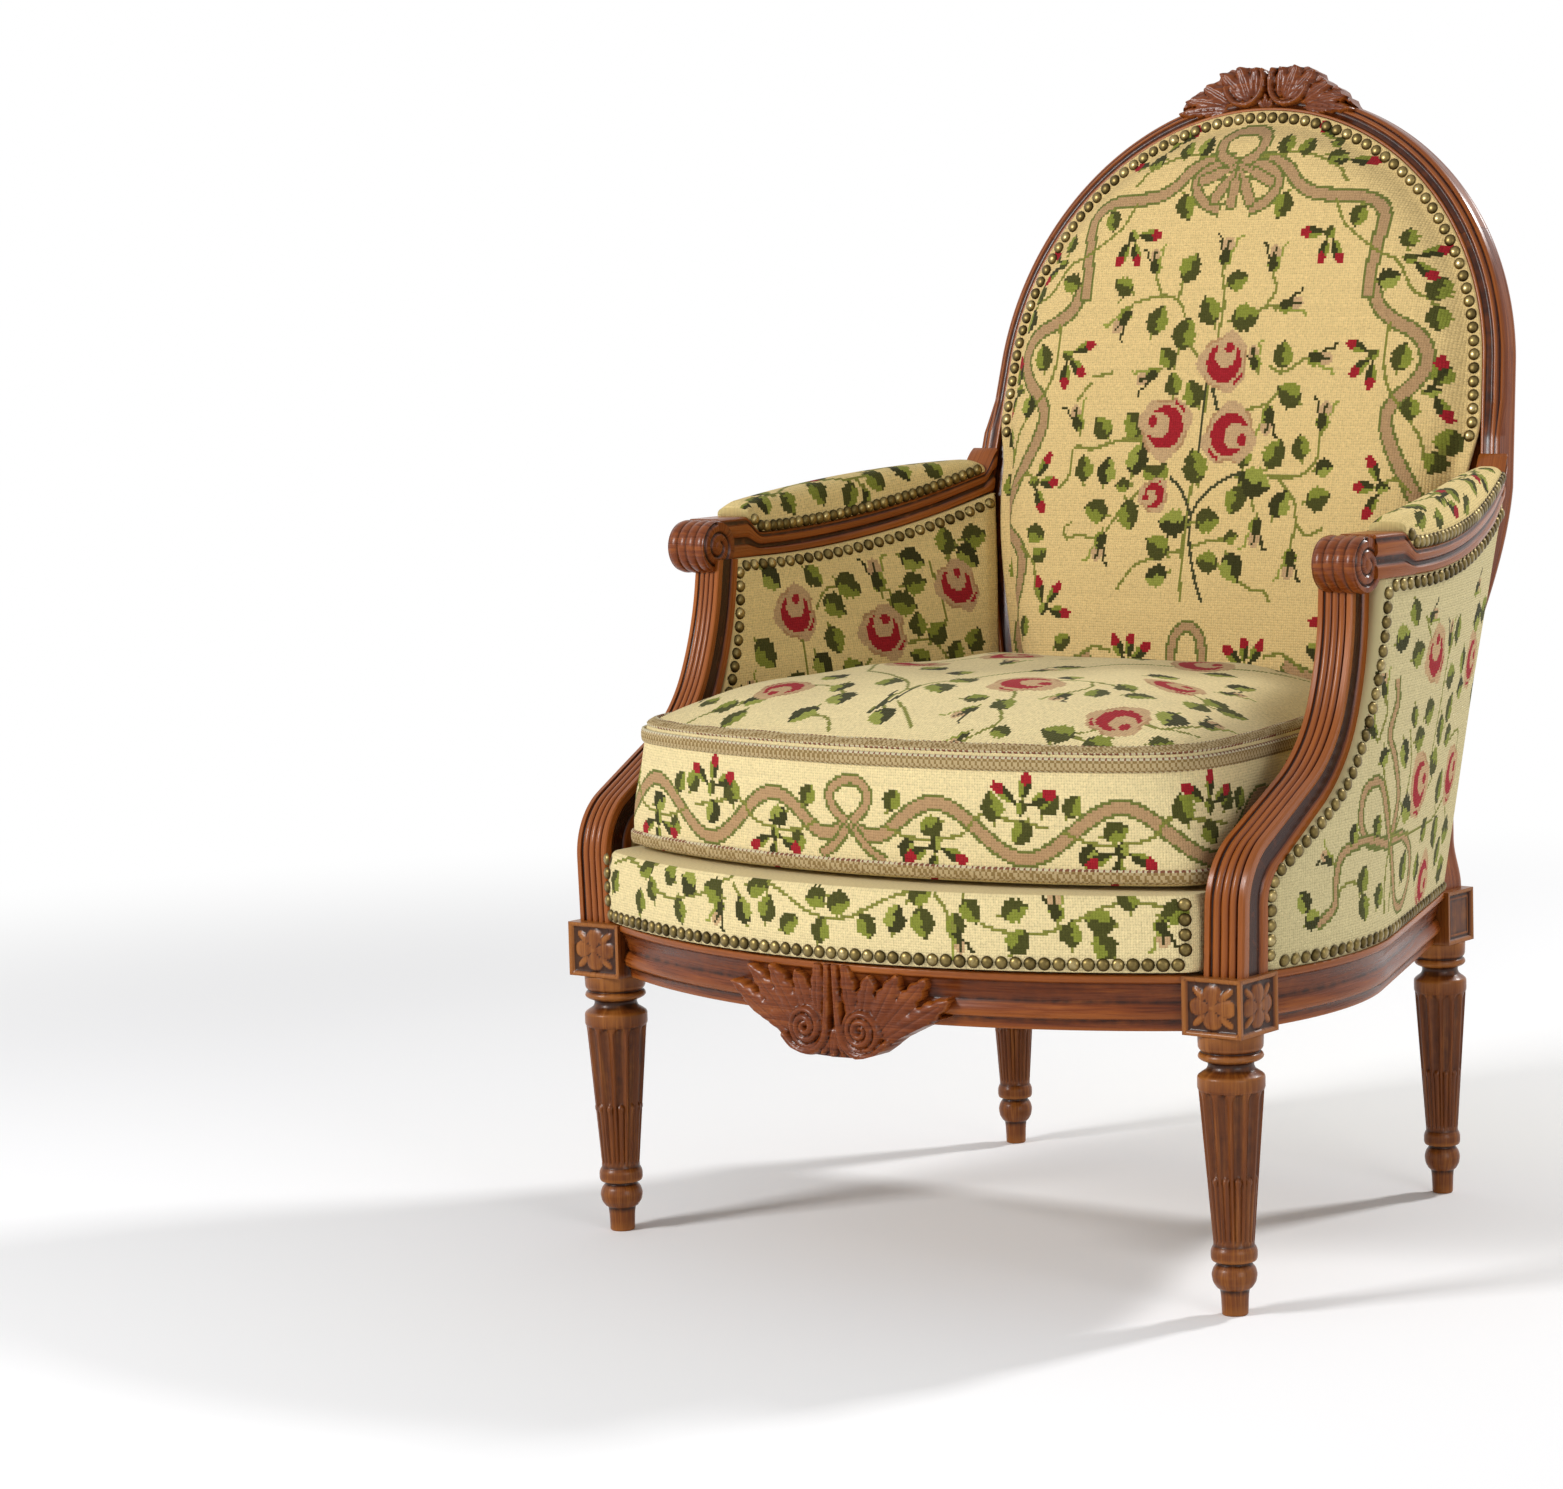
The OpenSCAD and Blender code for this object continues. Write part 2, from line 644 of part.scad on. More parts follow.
// Shares of the width, shares of the height, and how far each point is cut in
arm_profile_shares = [
    [0, 0, 0], [0, 0.2, 0], [0, 0.32, 1], [0, 0.5, 1], [0, 0.62, 0], [0, 0.9, 0], [0.04, 1, 0],
    [0.96, 1, 0], [1, 0.9, 0], [1, 0.62, 0], [1, 0.5, 1], [1, 0.32, 1], [1, 0.2, 0], [1, 0, 0]];
arm_steps = 22;
neck_steps = 4;
neck_y0 = scroll_y + scroll_r * 0.6;

function arm_ring(y) =
    let (w = arm_width(y), h = arm_top(y) - arm_under(y))
    [for (p = arm_profile_shares)
        let (z = arm_under(y) + p[1] * h, in = p[2] * groove_depth)
        [arm_out(y) - p[0] * w + (p[0] < 0.5 ? -in : in),
            y + (plane_y(z) - arm_end_y) * clamp01((y - arm_end_y) / (3 * arm_h) + 1), z]];

dowel_r = 5;
dowel_l = 11;
arm_dowel_in = 15;
arm_dowel_x = arm_back_x - arm_dowel_in;
arm_dowel_z = arm_under_z + arm_climb + arm_h * 0.5;
volute_turn_shares = [0.84, 0.56, 0.28];
volute_width_share = 0.09;
volute_depth = 2;
scroll_reed_shares = [0.22, 0.41, 0.59, 0.78];

module arm_dowel() {
    translate([arm_dowel_x, plane_y(arm_dowel_z) - dowel_l, arm_dowel_z])
        rotate([-90, 0, 0]) cylinder(h = 2 * dowel_l, r = dowel_r);
}
module arm_dowels() {
    color(inner_wood) for (side = [-1, 1]) both(side) arm_dowel();
}

// A turned scroll, its axis along X, with volute grooves in both ends and reeds round it
module scroll() {
    reed = scroll_w * 0.055;
    translate([scroll_x - scroll_w, scroll_y, scroll_z]) rotate([0, 90, 0]) difference() {
        cylinder(h = scroll_w, r = scroll_r, $fn = 96);
        for (k = scroll_reed_shares) translate([0, 0, k * scroll_w])
            rotate_extrude($fn = 96) translate([scroll_r + reed * 0.3, 0]) circle(r = reed, $fn = 24);
        for (z = [-cut, scroll_w - volute_depth]) translate([0, 0, z]) for (k = volute_turn_shares)
            difference() {
                cylinder(h = volute_depth + cut, r = scroll_r * k, $fn = 96);
                translate([0, 0, -cut]) cylinder(h = volute_depth + 3 * cut, r = scroll_r * (k - volute_width_share), $fn = 96);
            }
    }
}

module arm_rest(side) {
    ys = concat(
        [for (i = [0 : neck_steps]) lerp(neck_y0, pad_y0 - 2 * cut, i / neck_steps)],
        [for (i = [0 : arm_steps]) lerp(pad_y0 - cut, pad_y1 + gap, i / arm_steps)],
        [for (i = [1 : neck_steps]) lerp(pad_y1 + gap, arm_end_y, i / neck_steps)]);
    rings = [for (y = ys) arm_ring(y)];
    both(side) color(wood) difference() {
        union() {
            difference() {
                skin(rings, mean(rings[0]), mean(rings[len(rings) - 1]));
                translate([scroll_x - scroll_w * 2, scroll_y, scroll_z]) rotate([0, 90, 0])
                    cylinder(h = scroll_w * 3, r = scroll_r - cut, $fn = 96);
            }
            scroll();
        }
        arm_dowel();
    }
}

// Back frame

// Section of the moulded frame: shares of the show wood outside the lip, shares of the depth
frame_profile_shares = [
    [0, 0], [0.13, 0], [0.16, 0.09], [0.34, 0.18], [0.47, 0.16], [0.55, 0.12], [0.63, 0.14],
    [0.69, 0.22], [0.72, 0.28], [0.79, 0.24], [0.9, 0.31], [0.94, 0.41], [0.96, 0.48],
    [0.97, 0.81], [1, 0.89], [0.97, 1]];
rebate_share = 0.22;
join_angle = 5.5;
bend_up = 185;
waist_up = 100;
bend_run = 40;
relief_run = 30;
bend_z = rail_top + bend_up;
waist_z = rail_top + waist_up;
foot_in = 9.2;
foot_back = 3;
stile_foot_out = back_spacing / 2 + back_block / 2 - foot_in;
stile_foot_y = leg_depth - back_block / 2 + foot_back;
stile_foot_d = back_block - 2 * foot_back;
plain_z0 = arm_under_z + arm_climb + 2.6 * arm_h;
lip_join = arch_r * cos(join_angle);
join_z = arch_z + arch_r * sin(join_angle) * cos(lean);
waist_lip = back_spacing / 2 + back_block / 2 - stile_waist - frame_w;

// Inner edge of the show wood on the stiles, and the line of their front faces
function lip_x(z) =
    z > flare_z ? lerp(arch_r + stile_flare, lip_join, (z - flare_z) / (join_z - flare_z))
    : z > waist_z ? lerp(waist_lip, arch_r + stile_flare, ease((z - waist_z) / (flare_z - waist_z)))
    : lerp(stile_foot_out - frame_w, waist_lip, ease((z - rail_top) / (waist_z - rail_top) * 2.4));
function stile_lean(z) = lean * clamp01((z - bend_z + bend_run) / bend_run);
function stile_y(z) = z > bend_z ? plane_y(z)
    : lerp(stile_foot_y, plane_y(bend_z), (z - rail_top) / (bend_z - rail_top));
function stile_d(z) = lerp(stile_foot_d, frame_d, clamp01((z - rail_top) / (bend_z - rail_top)));
function relief(z) = clamp01((z - plain_z0) / relief_run);

// One section of the frame, seen from the front: edge is [x, z] on the front plane, turn its angle
function frame_ring(edge, turn, depth, leaning, y, cut_in, rise) =
    let (inner = [[-rebate_w, depth], [-rebate_w, rebate_share * frame_d], [0, rebate_share * frame_d]],
        outer = [for (p = frame_profile_shares)
            let (grow = p[0] > 0.5 ? rise[0] * (p[0] - 0.5) * 2 : 0)
            [p[0] * frame_w + grow, p[1] * depth * (p[1] > 0.45 ? 1 : cut_in) - (p[0] > 0.5 && p[1] < 0.45 ? rise[1] : 0)]])
    [for (q = concat(inner, outer))
        [edge[0] + q[0] * cos(turn),
            y + q[0] * sin(turn) * sin(leaning) + q[1] * cos(leaning),
            edge[1] + q[0] * sin(turn) * cos(leaning) - q[1] * sin(leaning)]];

function frame_hub(ring) = (ring[2] + ring[len(ring) - 1]) / 2;
stile_steps = 11;
stile_arch_steps = 7;
crest_steps = 56;

function stile_ring(z) =
    let (turn = join_angle * clamp01((z - flare_z) / (join_z - flare_z)))
    frame_ring([lip_x(z), z], turn, stile_d(z), stile_lean(z), stile_y(z), relief(z), [0, 0]);
function arch_ring(turn, rise) =
    let (z = arch_z + arch_r * sin(turn) * cos(lean))
    frame_ring([arch_r * cos(turn), z], turn, frame_d, lean, plane_y(z), 1, rise);

module back_stile(side) {
    zs = concat([for (i = [0 : stile_steps]) lerp(rail_top, bend_z, i / stile_steps)],
        [for (i = [1 : stile_steps]) lerp(bend_z, join_z, i / stile_steps)]);
    rings = concat([for (z = zs) stile_ring(z)],
        [for (i = [1 : stile_arch_steps]) arch_ring(lerp(join_angle, splice_angle, i / stile_arch_steps), [0, 0])]);
    both(side) color(wood) difference() {
        union() {
            skin(turned(rings), frame_hub(rings[0]), frame_hub(rings[len(rings) - 1]));
            stile_tenon();
        }
        arm_dowel();
        lower_rail_tenon(1);
    }
}

// The carved crest: two scrolls and a fan of leaves standing over the arch
fan_count = 9;
fan_proud = 5;
fan_wave = 2.5;
function crest_share(x) = ease((1 - abs(x) / crest_half) * 2.2);
function crest_relief(x) = crest_share(x) * (fan_proud + fan_wave * cos(360 * fan_count * x / (2 * crest_half)));
function crest_outline(x) = crest_share(x) * crest_rise
    * (0.82 + 0.18 * cos(360 * 2.5 * x / (2 * crest_half)));

module crest_rail() {
    rings = [for (i = [0 : crest_steps])
        let (turn = lerp(splice_angle, 180 - splice_angle, i / crest_steps), x = (arch_r + frame_w) * cos(turn))
        arch_ring(turn, [crest_outline(x), crest_relief(x)])];
    color(wood) skin(turned(rings), frame_hub(rings[0]), frame_hub(rings[crest_steps]));
}

lower_rail_up = 42;
lower_tenon_in = 8;
lower_rail_z = rail_top + lower_rail_up;
lower_rail_h = 40;
lower_rail_d = 22;
lower_rail_set = rebate_share * frame_d;
function lower_rail_y() = stile_y(lower_rail_z + lower_rail_h) + lower_rail_set;
module lower_rail_tenon(side) {
    both(side)
        translate([waist_lip - rebate_w - cut, lower_rail_y() + lower_rail_d / 2 - tenon_w / 2, lower_rail_z + lower_tenon_in])
            cube([tenon_l + cut, tenon_w, lower_rail_h - 2 * lower_tenon_in]);
}
module lower_back_rail() {
    half = waist_lip - rebate_w;
    color(inner_wood) {
        translate([-half, lower_rail_y(), lower_rail_z]) cube([2 * half, lower_rail_d, lower_rail_h]);
        lower_rail_tenon(1);
        lower_rail_tenon(-1);
    }
}

// Closed outlines round a centre, worked out as the smooth least of distances to lines and a bow.
// A line is [normal x, normal y, distance]; the bow is [centre y, radius], towards -Y.

function ray(c, d, lines, bow, sharp) =
    let (w = [c[0], c[1] - bow[0]], b = w * d,
        reach = -b + sqrt(b * b + bow[1] * bow[1] - w * w),
        near = concat(d[1] < 0 ? [reach] : [], [for (l = lines)
            let (k = d[0] * l[0] + d[1] * l[1]) if (k > 0.02) (l[2] - c[0] * l[0] - c[1] * l[1]) / k]))
    pow(sum([for (r = near) pow(r / near[0], -sharp)]), -1 / sharp) * near[0];
function sum(v, i = 0) = i < len(v) ? v[i] + sum(v, i + 1) : 0;
function outline(c, lines, bow, sharp, count) = [for (k = [0 : count - 1])
    let (a = 360 * (k + 0.5) / count, d = [cos(a), sin(a)])
    c + ray(c, d, lines, bow, sharp) * d];
function side_line(p, q) =
    let (n = unit([q[1] - p[1], p[0] - q[0]]))
    [n[0], n[1], n * p];
function mirrored(lines) = concat(lines, [for (l = lines) [-l[0], l[1], l[2]]]);

// Seat stuffing, with its border over the front rail

deck_proud = 7;
deck_front_half = 292;
deck_back_half = 206;
deck_base_up = 3;
deck_side_out = 6;
deck_turn_back = 130;
deck_back_in = 20;
deck_back_set = 4;
deck_sharpness = 80;
hessian_sharpness = 30;
plan_center_y = 170;
deck_base = rail_top + deck_base_up;
deck_top = rail_top + deck_h;
deck_lines = concat(
    mirrored([[1, 0, deck_front_half], side_line(
        [deck_front_half + deck_side_out, side_y0 + deck_turn_back], [deck_back_half, side_y1 - deck_back_in])]),
    [[0, 1, side_y1 - deck_back_set]]);
deck_inset_shares = [[0, 0.6], [0.04, 0], [0.3, -0.15], [0.6, -0.15], [0.85, 0.3], [0.96, 1.4], [1, 3]];
deck_points = 56;
deck_center = [0, plan_center_y];

function shrink(ring, c, d) = [for (p = ring) let (v = p - c) c + v * (1 - d / norm(v))];
function lift(ring, z) = [for (p = ring) [p[0], p[1], z]];

module seat_stuffing() {
    plan = outline(deck_center, deck_lines, [bow_y, bow_r + deck_proud], deck_sharpness, deck_points);
    inset = 3;
    rings = [for (s = deck_inset_shares) lift(shrink(plan, deck_center, s[1] * inset), lerp(deck_base, deck_top, s[0]))];
    color(cloth) skin(turned(rings), concat(deck_center, deck_base), concat(deck_center, deck_top + inset));
}

web_t = 1.2;
web_w = 50;
web_lap = 15;
web_front_set = 30;
web_back_set = 65;

module seat_webbing() {
    color(jute) {
        for (x = [-2 : 2]) {
            pitch = (back_spacing - back_block - 2 * web_w) / 4;
            far = max(abs(x * pitch - web_w / 2), abs(x * pitch + web_w / 2));
            y0 = front_y(far) + rail_w - web_lap;
            translate([x * pitch - web_w / 2, y0, rail_top])
                cube([web_w, leg_depth - back_rail_w / 2 + web_lap - y0, web_t]);
        }
        for (k = [0 : 5]) {
            y = lerp(side_y0 + web_front_set, side_y1 - web_back_set, k / 5);
            half = min(side_x(y), side_x(y + web_w)) - rail_w + web_lap;
            translate([-half, y, rail_top + web_t]) cube([2 * half, web_w, web_t]);
        }
    }
}
hessian_t = 0.5;
module seat_hessian() {
    plan = outline(deck_center, deck_lines, [bow_y, bow_r - web_lap], hessian_sharpness, deck_points);
    color(jute) translate([0, 0, rail_top + 2 * web_t]) linear_extrude(hessian_t) polygon(plan);
}

// Back upholstery: its outline on the front plane is a list of [x, z]

pad_foot_up = 2;
tuck_run = 60;
puff_up = 60;
heart_up = 90;
pad_foot_z = deck_top + pad_foot_up;
pad_tuck = 12;
pad_side_steps = 12;
pad_low_steps = 4;
pad_arch_steps = 30;
pad_inset_shares = [0, 0, 0.01, 0.136, 0.2, 0.34, 0.55, 0.9];
pad_rise_shares = [-0.06, 0.02, 0.06, 0.066, 0.4, 0.68, 0.88, 1];
pad_inset = 88;
pad_set = rebate_share * frame_d - web_t - 2 * gap;

function tuck(z) = pad_tuck * ease((arm_under_z + arm_climb + 3.6 * arm_h - z) / tuck_run);
function pad_half(z) = lip_x(z) - gap - tuck(z);
function arch_point(r, turn) = [r * cos(turn), arch_z + r * sin(turn) * cos(lean)];
function pad_z(i) = i < pad_low_steps ? lerp(pad_foot_z, bend_z, i / pad_low_steps)
    : lerp(bend_z, join_z, (i - pad_low_steps) / (pad_side_steps - pad_low_steps));
function pad_outline() = concat(
    [for (i = [1 : 3]) [pad_half(pad_foot_z) * (i / 2 - 1), pad_foot_z]],
    [for (i = [0 : pad_side_steps]) [pad_half(pad_z(i)), pad_z(i)]],
    [for (i = [1 : pad_arch_steps]) arch_point(arch_r - gap, lerp(join_angle, 180 - join_angle, i / pad_arch_steps))],
    [for (i = [pad_side_steps - 1 : -1 : 0]) [-pad_half(pad_z(i)), pad_z(i)]]);
function back_puff_at(z) =
    lerp(back_puff, back_puff_top, clamp01((z - bend_z - puff_up) / (arch_z + arch_r - bend_z - puff_up)))
    * lerp(0.62, 1, ease((z - pad_foot_z) / (bend_z + puff_up - pad_foot_z)));
// The heart of the back is the line that insets draw towards
function heart(p) = p[1] > arch_z ? [0, arch_z] : [0, max(p[1], pad_foot_z + heart_up)];
function draw_in(p, d) = let (v = heart(p) - p) p + v * min(1, d / max(norm(v), cut));
function on_back(p, out) =
    let (l = stile_lean(p[1]))
    [p[0], stile_y(p[1]) - out * cos(l), p[1] + out * sin(l)];

module back_stuffing() {
    edge = pad_outline();
    puffed = [for (k = [0 : len(pad_inset_shares) - 1])
        [for (p = edge) let (q = draw_in(p, pad_inset_shares[k] * pad_inset))
            on_back(q, k == 0 ? -pad_set : pad_rise_shares[k] * back_puff_at(q[1]))]];
    middle = [for (f = [0.6, 0.25]) [for (p = edge)
        let (d = draw_in(p, pad_inset), c = [0, arch_z - arch_r * 0.4], q = c + (d - c) * f)
        on_back(q, back_puff_at(q[1]) * (1.06 - 0.06 * f))]];
    hub = [0, arch_z - arch_r * 0.4];
    color(cloth)
        skin(turned(concat(puffed, middle)), on_back([0, bend_z], -pad_set), on_back(hub, back_puff_at(hub[1]) * 1.06));
}

module back_webbing() {
    pitch = (arch_r - web_w) / 3;
    set = rebate_share * frame_d - gap / 4;
    color(jute) for (k = [-2 : 2]) {
        reach = sqrt(pow(arch_r - gap, 2) - pow(abs(k) * pitch + web_w / 2, 2));
        zs = [lower_rail_z + cut, bend_z, arch_z + reach * cos(lean) - set * sin(lean)];
        translate([k * pitch - web_w / 2, 0, 0]) rotate([90, 0, 90]) linear_extrude(web_w)
            polygon(concat([for (z = zs) [stile_y(z) + set - web_t, z]],
                [for (i = [2 : -1 : 0]) [stile_y(zs[i]) + set, zs[i]]]));
    }
}

back_cover_t = 2;
cover_foot_up = 6;
cover_foot_z = rail_top + cover_foot_up;
cover_inset = 6;
cover_steps = 16;
function cover_half(z) = z < join_z ? lip_x(z) + frame_w - cover_inset
    : let (s = (z - arch_z) / cos(lean)) sqrt(max(0, pow(arch_r + frame_w - cover_inset, 2) - s * s));
function cover_back(x, z, b) =
    let (l = stile_lean(z)) [x, stile_y(z) + b * cos(l), z - b * sin(l)];

module outside_back_cover() {
    top = arch_z + (arch_r + frame_w - cover_inset) * cos(lean);
    zs = concat([for (i = [0 : cover_steps]) lerp(cover_foot_z, bend_z, i / cover_steps)],
        [for (i = [1 : cover_steps]) lerp(bend_z, arch_z, i / cover_steps)],
        [for (i = [1 : cover_steps]) arch_z + (top - arch_z) * sin(89 * i / cover_steps)]);
    rings = [for (z = zs) let (h = cover_half(z), b = stile_d(z) + 2 * gap)
        [cover_back(h, z, b), cover_back(-h, z, b),
            cover_back(-h, z, b + back_cover_t), cover_back(h, z, b + back_cover_t)]];
    color(cloth) skin(rings, mean(rings[0]), mean(rings[len(rings) - 1]));
}

// Stuffed panels inside the arms and covers outside them, each between a support and a stile

panel_base_in = deck_base;
panel_base_out = rail_top + gap;
panel_puff = 13;
puff_start_y = 40;
puff_run = 180;
panel_foot_in = 2;
panel_head_in = 7;
cover_foot_in = 2.5;
cover_head_in = 4;
panel_rows = 18;
panel_cols = 10;

// Height shares up the panel, and the faces of both panels
function panel_v(y, z) = clamp01((z - rail_top) / (arm_under(y) - rail_top));
function inner_x(y, z) =
    lerp(side_x(y) - rail_w - panel_foot_in, arm_out(y) - arm_width(y) - panel_head_in, panel_v(y, z))
    - panel_puff * sin(180 * pow(panel_v(y, z), 0.8))
    * sin(180 * clamp01((y - puff_start_y) / (plane_y(flare_z) + puff_run)));
function outer_x(y, z) = lerp(side_x(y) - cover_foot_in, arm_out(y) - cover_head_in, panel_v(y, z));
// Back face of a support at a height, found along its path
support_tail_steps = 40;
function support_back(z) =
    let (ts = [for (i = [0 : support_tail_steps]) i / support_tail_steps],
        pts = [for (t = ts) let (p = support_path(t), d = lerp(support_d, support_top_d, ease(t * 1.6)))
            [p[0] + d * sin(p[2]), p[1] - d * cos(p[2])]])
    z > pts[support_tail_steps][1] ? pts[support_tail_steps][0]
    : max([for (i = [0 : support_tail_steps - 1])
        let (a = pts[i], b = pts[i + 1], crossed = (a[1] - z) * (b[1] - z) <= 0 && a[1] != b[1])
        crossed ? lerp(a[0], b[0], (z - a[1]) / (b[1] - a[1])) : support_foot_y + support_d]);
function panel_y(u, z) = lerp(support_back(z) + gap * 3.2, stile_y(z) - gap * 2.2, u);

// One ring a row: along the near face from the support to the stile, then back along the far face
function panel_ring(v, base, face, thick) = [for (k = [0 : 2 * panel_cols + 1])
    let (near = k <= panel_cols, u = (near ? k : 2 * panel_cols + 1 - k) / panel_cols,
        z0 = lerp(base, arm_under_z, v), y0 = panel_y(u, z0),
        z = lerp(base, arm_under(y0) - gap, v), y = panel_y(u, z),
        x = face > 0 ? outer_x(y, z) - (near ? 0 : thick) : inner_x(y, z) + (near ? 0 : thick))
    [x, y, z]];

module arm_panel(side, base, face, thick) {
    rings = [for (i = [0 : panel_rows]) panel_ring(i / panel_rows, base, face, thick)];
    used = face > 0 ? turned(rings) : rings;
    both(side) sheet_skin(used);
}
module inside_arm_panel(side) {
    color(side_cloth) arm_panel(side, panel_base_in, -1, panel_t);
}
module outside_arm_cover(side) {
    color(side_cloth) arm_panel(side, panel_base_out, 1, cover_t);
}

pad_steps = 20;
pad_points = 14;
pad_inset_x = 1;
pad_end_r = 16;
pad_end_lead = 3;

function pad_rise(y) =
    let (t = clamp01((y - pad_y0) / (pad_y1 - pad_y0)), end = min(y - pad_y0, pad_y1 - y))
    (arm_under(pad_y0) + arm_h + pad_h + pad_climb * sin(90 * t) - arm_top(y) - gap)
    * sqrt(max(0, 1 - pow(1 - clamp01((end + pad_end_lead) / pad_end_r), 2)));
function pad_ring(y) =
    let (w = arm_width(y) - 2 * pad_inset_x, mid = arm_out(y) - arm_width(y) / 2,
        z = arm_top(y) + 2.7 * gap, h = pad_rise(y))
    [for (k = [0 : pad_points]) let (a = 180 * k / pad_points)
        [mid + w / 2 * pow(abs(cos(a)), 0.55) * sign(cos(a)), y, z + h * pow(sin(a), 0.7)]];

module arm_pad(side) {
    rings = [for (i = [0 : pad_steps]) pad_ring(lerp(pad_y1 - gap, pad_y0 + gap, ease(i / pad_steps)))];
    both(side) color(side_cloth) skin(turned(rings), mean(rings[0]), mean(rings[pad_steps]));
}

// The loose cushion: drawn in at the foot, boxed sides and a high crown

cushion_up = 4;
cushion_base = deck_top + cushion_up;
cushion_bow_r = 661;
cushion_turn_y = 120;
cushion_round = 30;
cushion_top_round = 13;
cushion_lines = concat(
    mirrored([[1, 0, cushion_half], side_line([cushion_half, cushion_turn_y], [cushion_back_half, cushion_back_y])]),
    [[0, 1, cushion_back_y]]);
cushion_center = [0, plan_center_y];
cushion_points = 64;
braid_t = 2.4;
braid_h = 11;
braid_up = 2;
top_braid_h = 17;
cushion_top = cushion_base + cushion_side_h + top_braid_h / 2;
side_rise_shares = [0, 0.06, 0.2, 0.5, 0.8, 0.94, 1];
side_inset_shares = [1.6, 0.5, 0.25, 0, 0.25, 0.6, 1];
crown_in_shares = [0.05, 0.12, 0.22, 0.36, 0.54, 0.75];
crown_rise_shares = [0.18, 0.38, 0.6, 0.79, 0.92, 0.98];

function cushion_plan(sharp) =
    outline(cushion_center, cushion_lines, [cushion_bow_r - cushion_front_y, cushion_bow_r], sharp, cushion_points);

module seat_cushion() {
    low = cushion_plan(cushion_round);
    high = cushion_plan(cushion_top_round);
    inset = 4;
    walls = [for (k = [0 : len(side_rise_shares) - 1])
        let (t = side_rise_shares[k], ring = low + (high - low) * ease(t))
        lift(shrink(ring, cushion_center, side_inset_shares[k] * inset), lerp(cushion_base, cushion_top, t))];
    domes = [for (k = [0 : len(crown_in_shares) - 1])
        lift([for (p = high) cushion_center + (p - cushion_center) * (1 - crown_in_shares[k])],
            cushion_top + crown_rise_shares[k] * cushion_crown)];
    color(cloth) skin(turned(concat(walls, domes)),
        concat(cushion_center, cushion_base), concat(cushion_center, cushion_top + cushion_crown));
}

module braid(sharp, z, h) {
    plan = cushion_plan(sharp);
    color(cloth) translate([0, 0, z]) linear_extrude(h) difference() {
        polygon(shrink(plan, cushion_center, -gap - braid_t));
        polygon(shrink(plan, cushion_center, -gap));
    }
}
module cushion_top_braid() {
    braid(cushion_top_round, cushion_top - top_braid_h * 0.9, top_braid_h);
}
module cushion_bottom_braid() {
    braid(cushion_round, cushion_base + braid_up, braid_h);
}

// Domed nails: a place and the way the dome faces

nail_h = 3;
dome_r = (nail_r * nail_r + nail_h * nail_h) / (2 * nail_h);

module nail() {
    difference() {
        translate([0, 0, nail_h - dome_r]) sphere(r = dome_r, $fn = 24);
        translate([-2 * dome_r, -2 * dome_r, -4 * dome_r]) cube(4 * dome_r);
    }
}
module nail_at(p, n) {
    translate(p) rotate([0, acos(n[2] / norm(n)), atan2(n[1], n[0])]) nail();
}
// Even places along a line of points
function run_lengths(pts, i = 1, sofar = [0]) =
    i >= len(pts) ? sofar : run_lengths(pts, i + 1, concat(sofar, [sofar[i - 1] + norm(pts[i] - pts[i - 1])]));
function spaced(pts, pitch) =
    let (run = run_lengths(pts), whole = run[len(run) - 1], count = max(1, round(whole / pitch)))
    [for (k = [0 : count - 1])
        let (d = (k + 0.5) * whole / count, i = max([for (j = [0 : len(pts) - 2]) if (run[j] <= d) j else 0]))
        pts[i] + (pts[i + 1] - pts[i]) * (d - run[i]) / (run[i + 1] - run[i])];

nail_inset = 6.5;
outside_nail_in = 1;
front_face = [0, -cos(lean), sin(lean)];

module back_nails() {
    edge = [for (p = pad_outline()) if (p[1] > arm_under_z + arm_climb + 2.2 * arm_h) draw_in(p, nail_inset)];
    color(brass) for (p = spaced(edge, nail_pitch))
        nail_at(on_back(p, pad_rise_shares[3] * back_puff_at(p[1]) + 1.6 * gap), front_face);
}
module outside_back_nails() {
    steps = 40;
    in = nail_r + outside_nail_in;
    edge = concat(
        [for (i = [0 : steps]) let (z = lerp(cover_foot_z + nail_r, arch_z, i / steps)) [cover_half(z) - in, z]],
        [for (i = [1 : steps]) arch_point(arch_r + frame_w - cover_inset - in, 180 * i / steps)],
        [for (i = [1 : steps]) let (z = lerp(arch_z, cover_foot_z + nail_r, i / steps)) [in - cover_half(z), z]]);
    color(brass) for (p = spaced(edge, nail_pitch)) let (l = stile_lean(p[1]))
        nail_at(cover_back(p[0], p[1], stile_d(p[1]) + back_cover_t + 4.7 * gap), [0, cos(l), -sin(l)]);
}

// The way a panel's face looks at a place, from its own slope
function face_normal(y, z, face) =
    let (e = cut, x0 = face > 0 ? outer_x(y, z) : inner_x(y, z),
        xy = (face > 0 ? outer_x(y + e, z) : inner_x(y + e, z)) - x0,
        xz = (face > 0 ? outer_x(y, z + e) : inner_x(y, z + e)) - x0)
    unit([e, -xy, -xz]) * face;
module panel_nail(y, z, face) {
    n = face_normal(y, z, face);
    nail_at([face > 0 ? outer_x(y, z) : inner_x(y, z), y, z] + n * gap * (face > 0 ? 1.5 : 2), n);
}
nail_edge = 6.5;
panel_front_z = cushion_base + cushion_side_h * 0.6;
function arm_line() = [for (k = [0 : panel_cols])
    let (y = lerp(support_back(arm_under_z - nail_edge) + 2 * nail_r, arm_end_y - nail_edge * 1.6, k / panel_cols))
    [y, arm_under(y) - gap - nail_edge]];
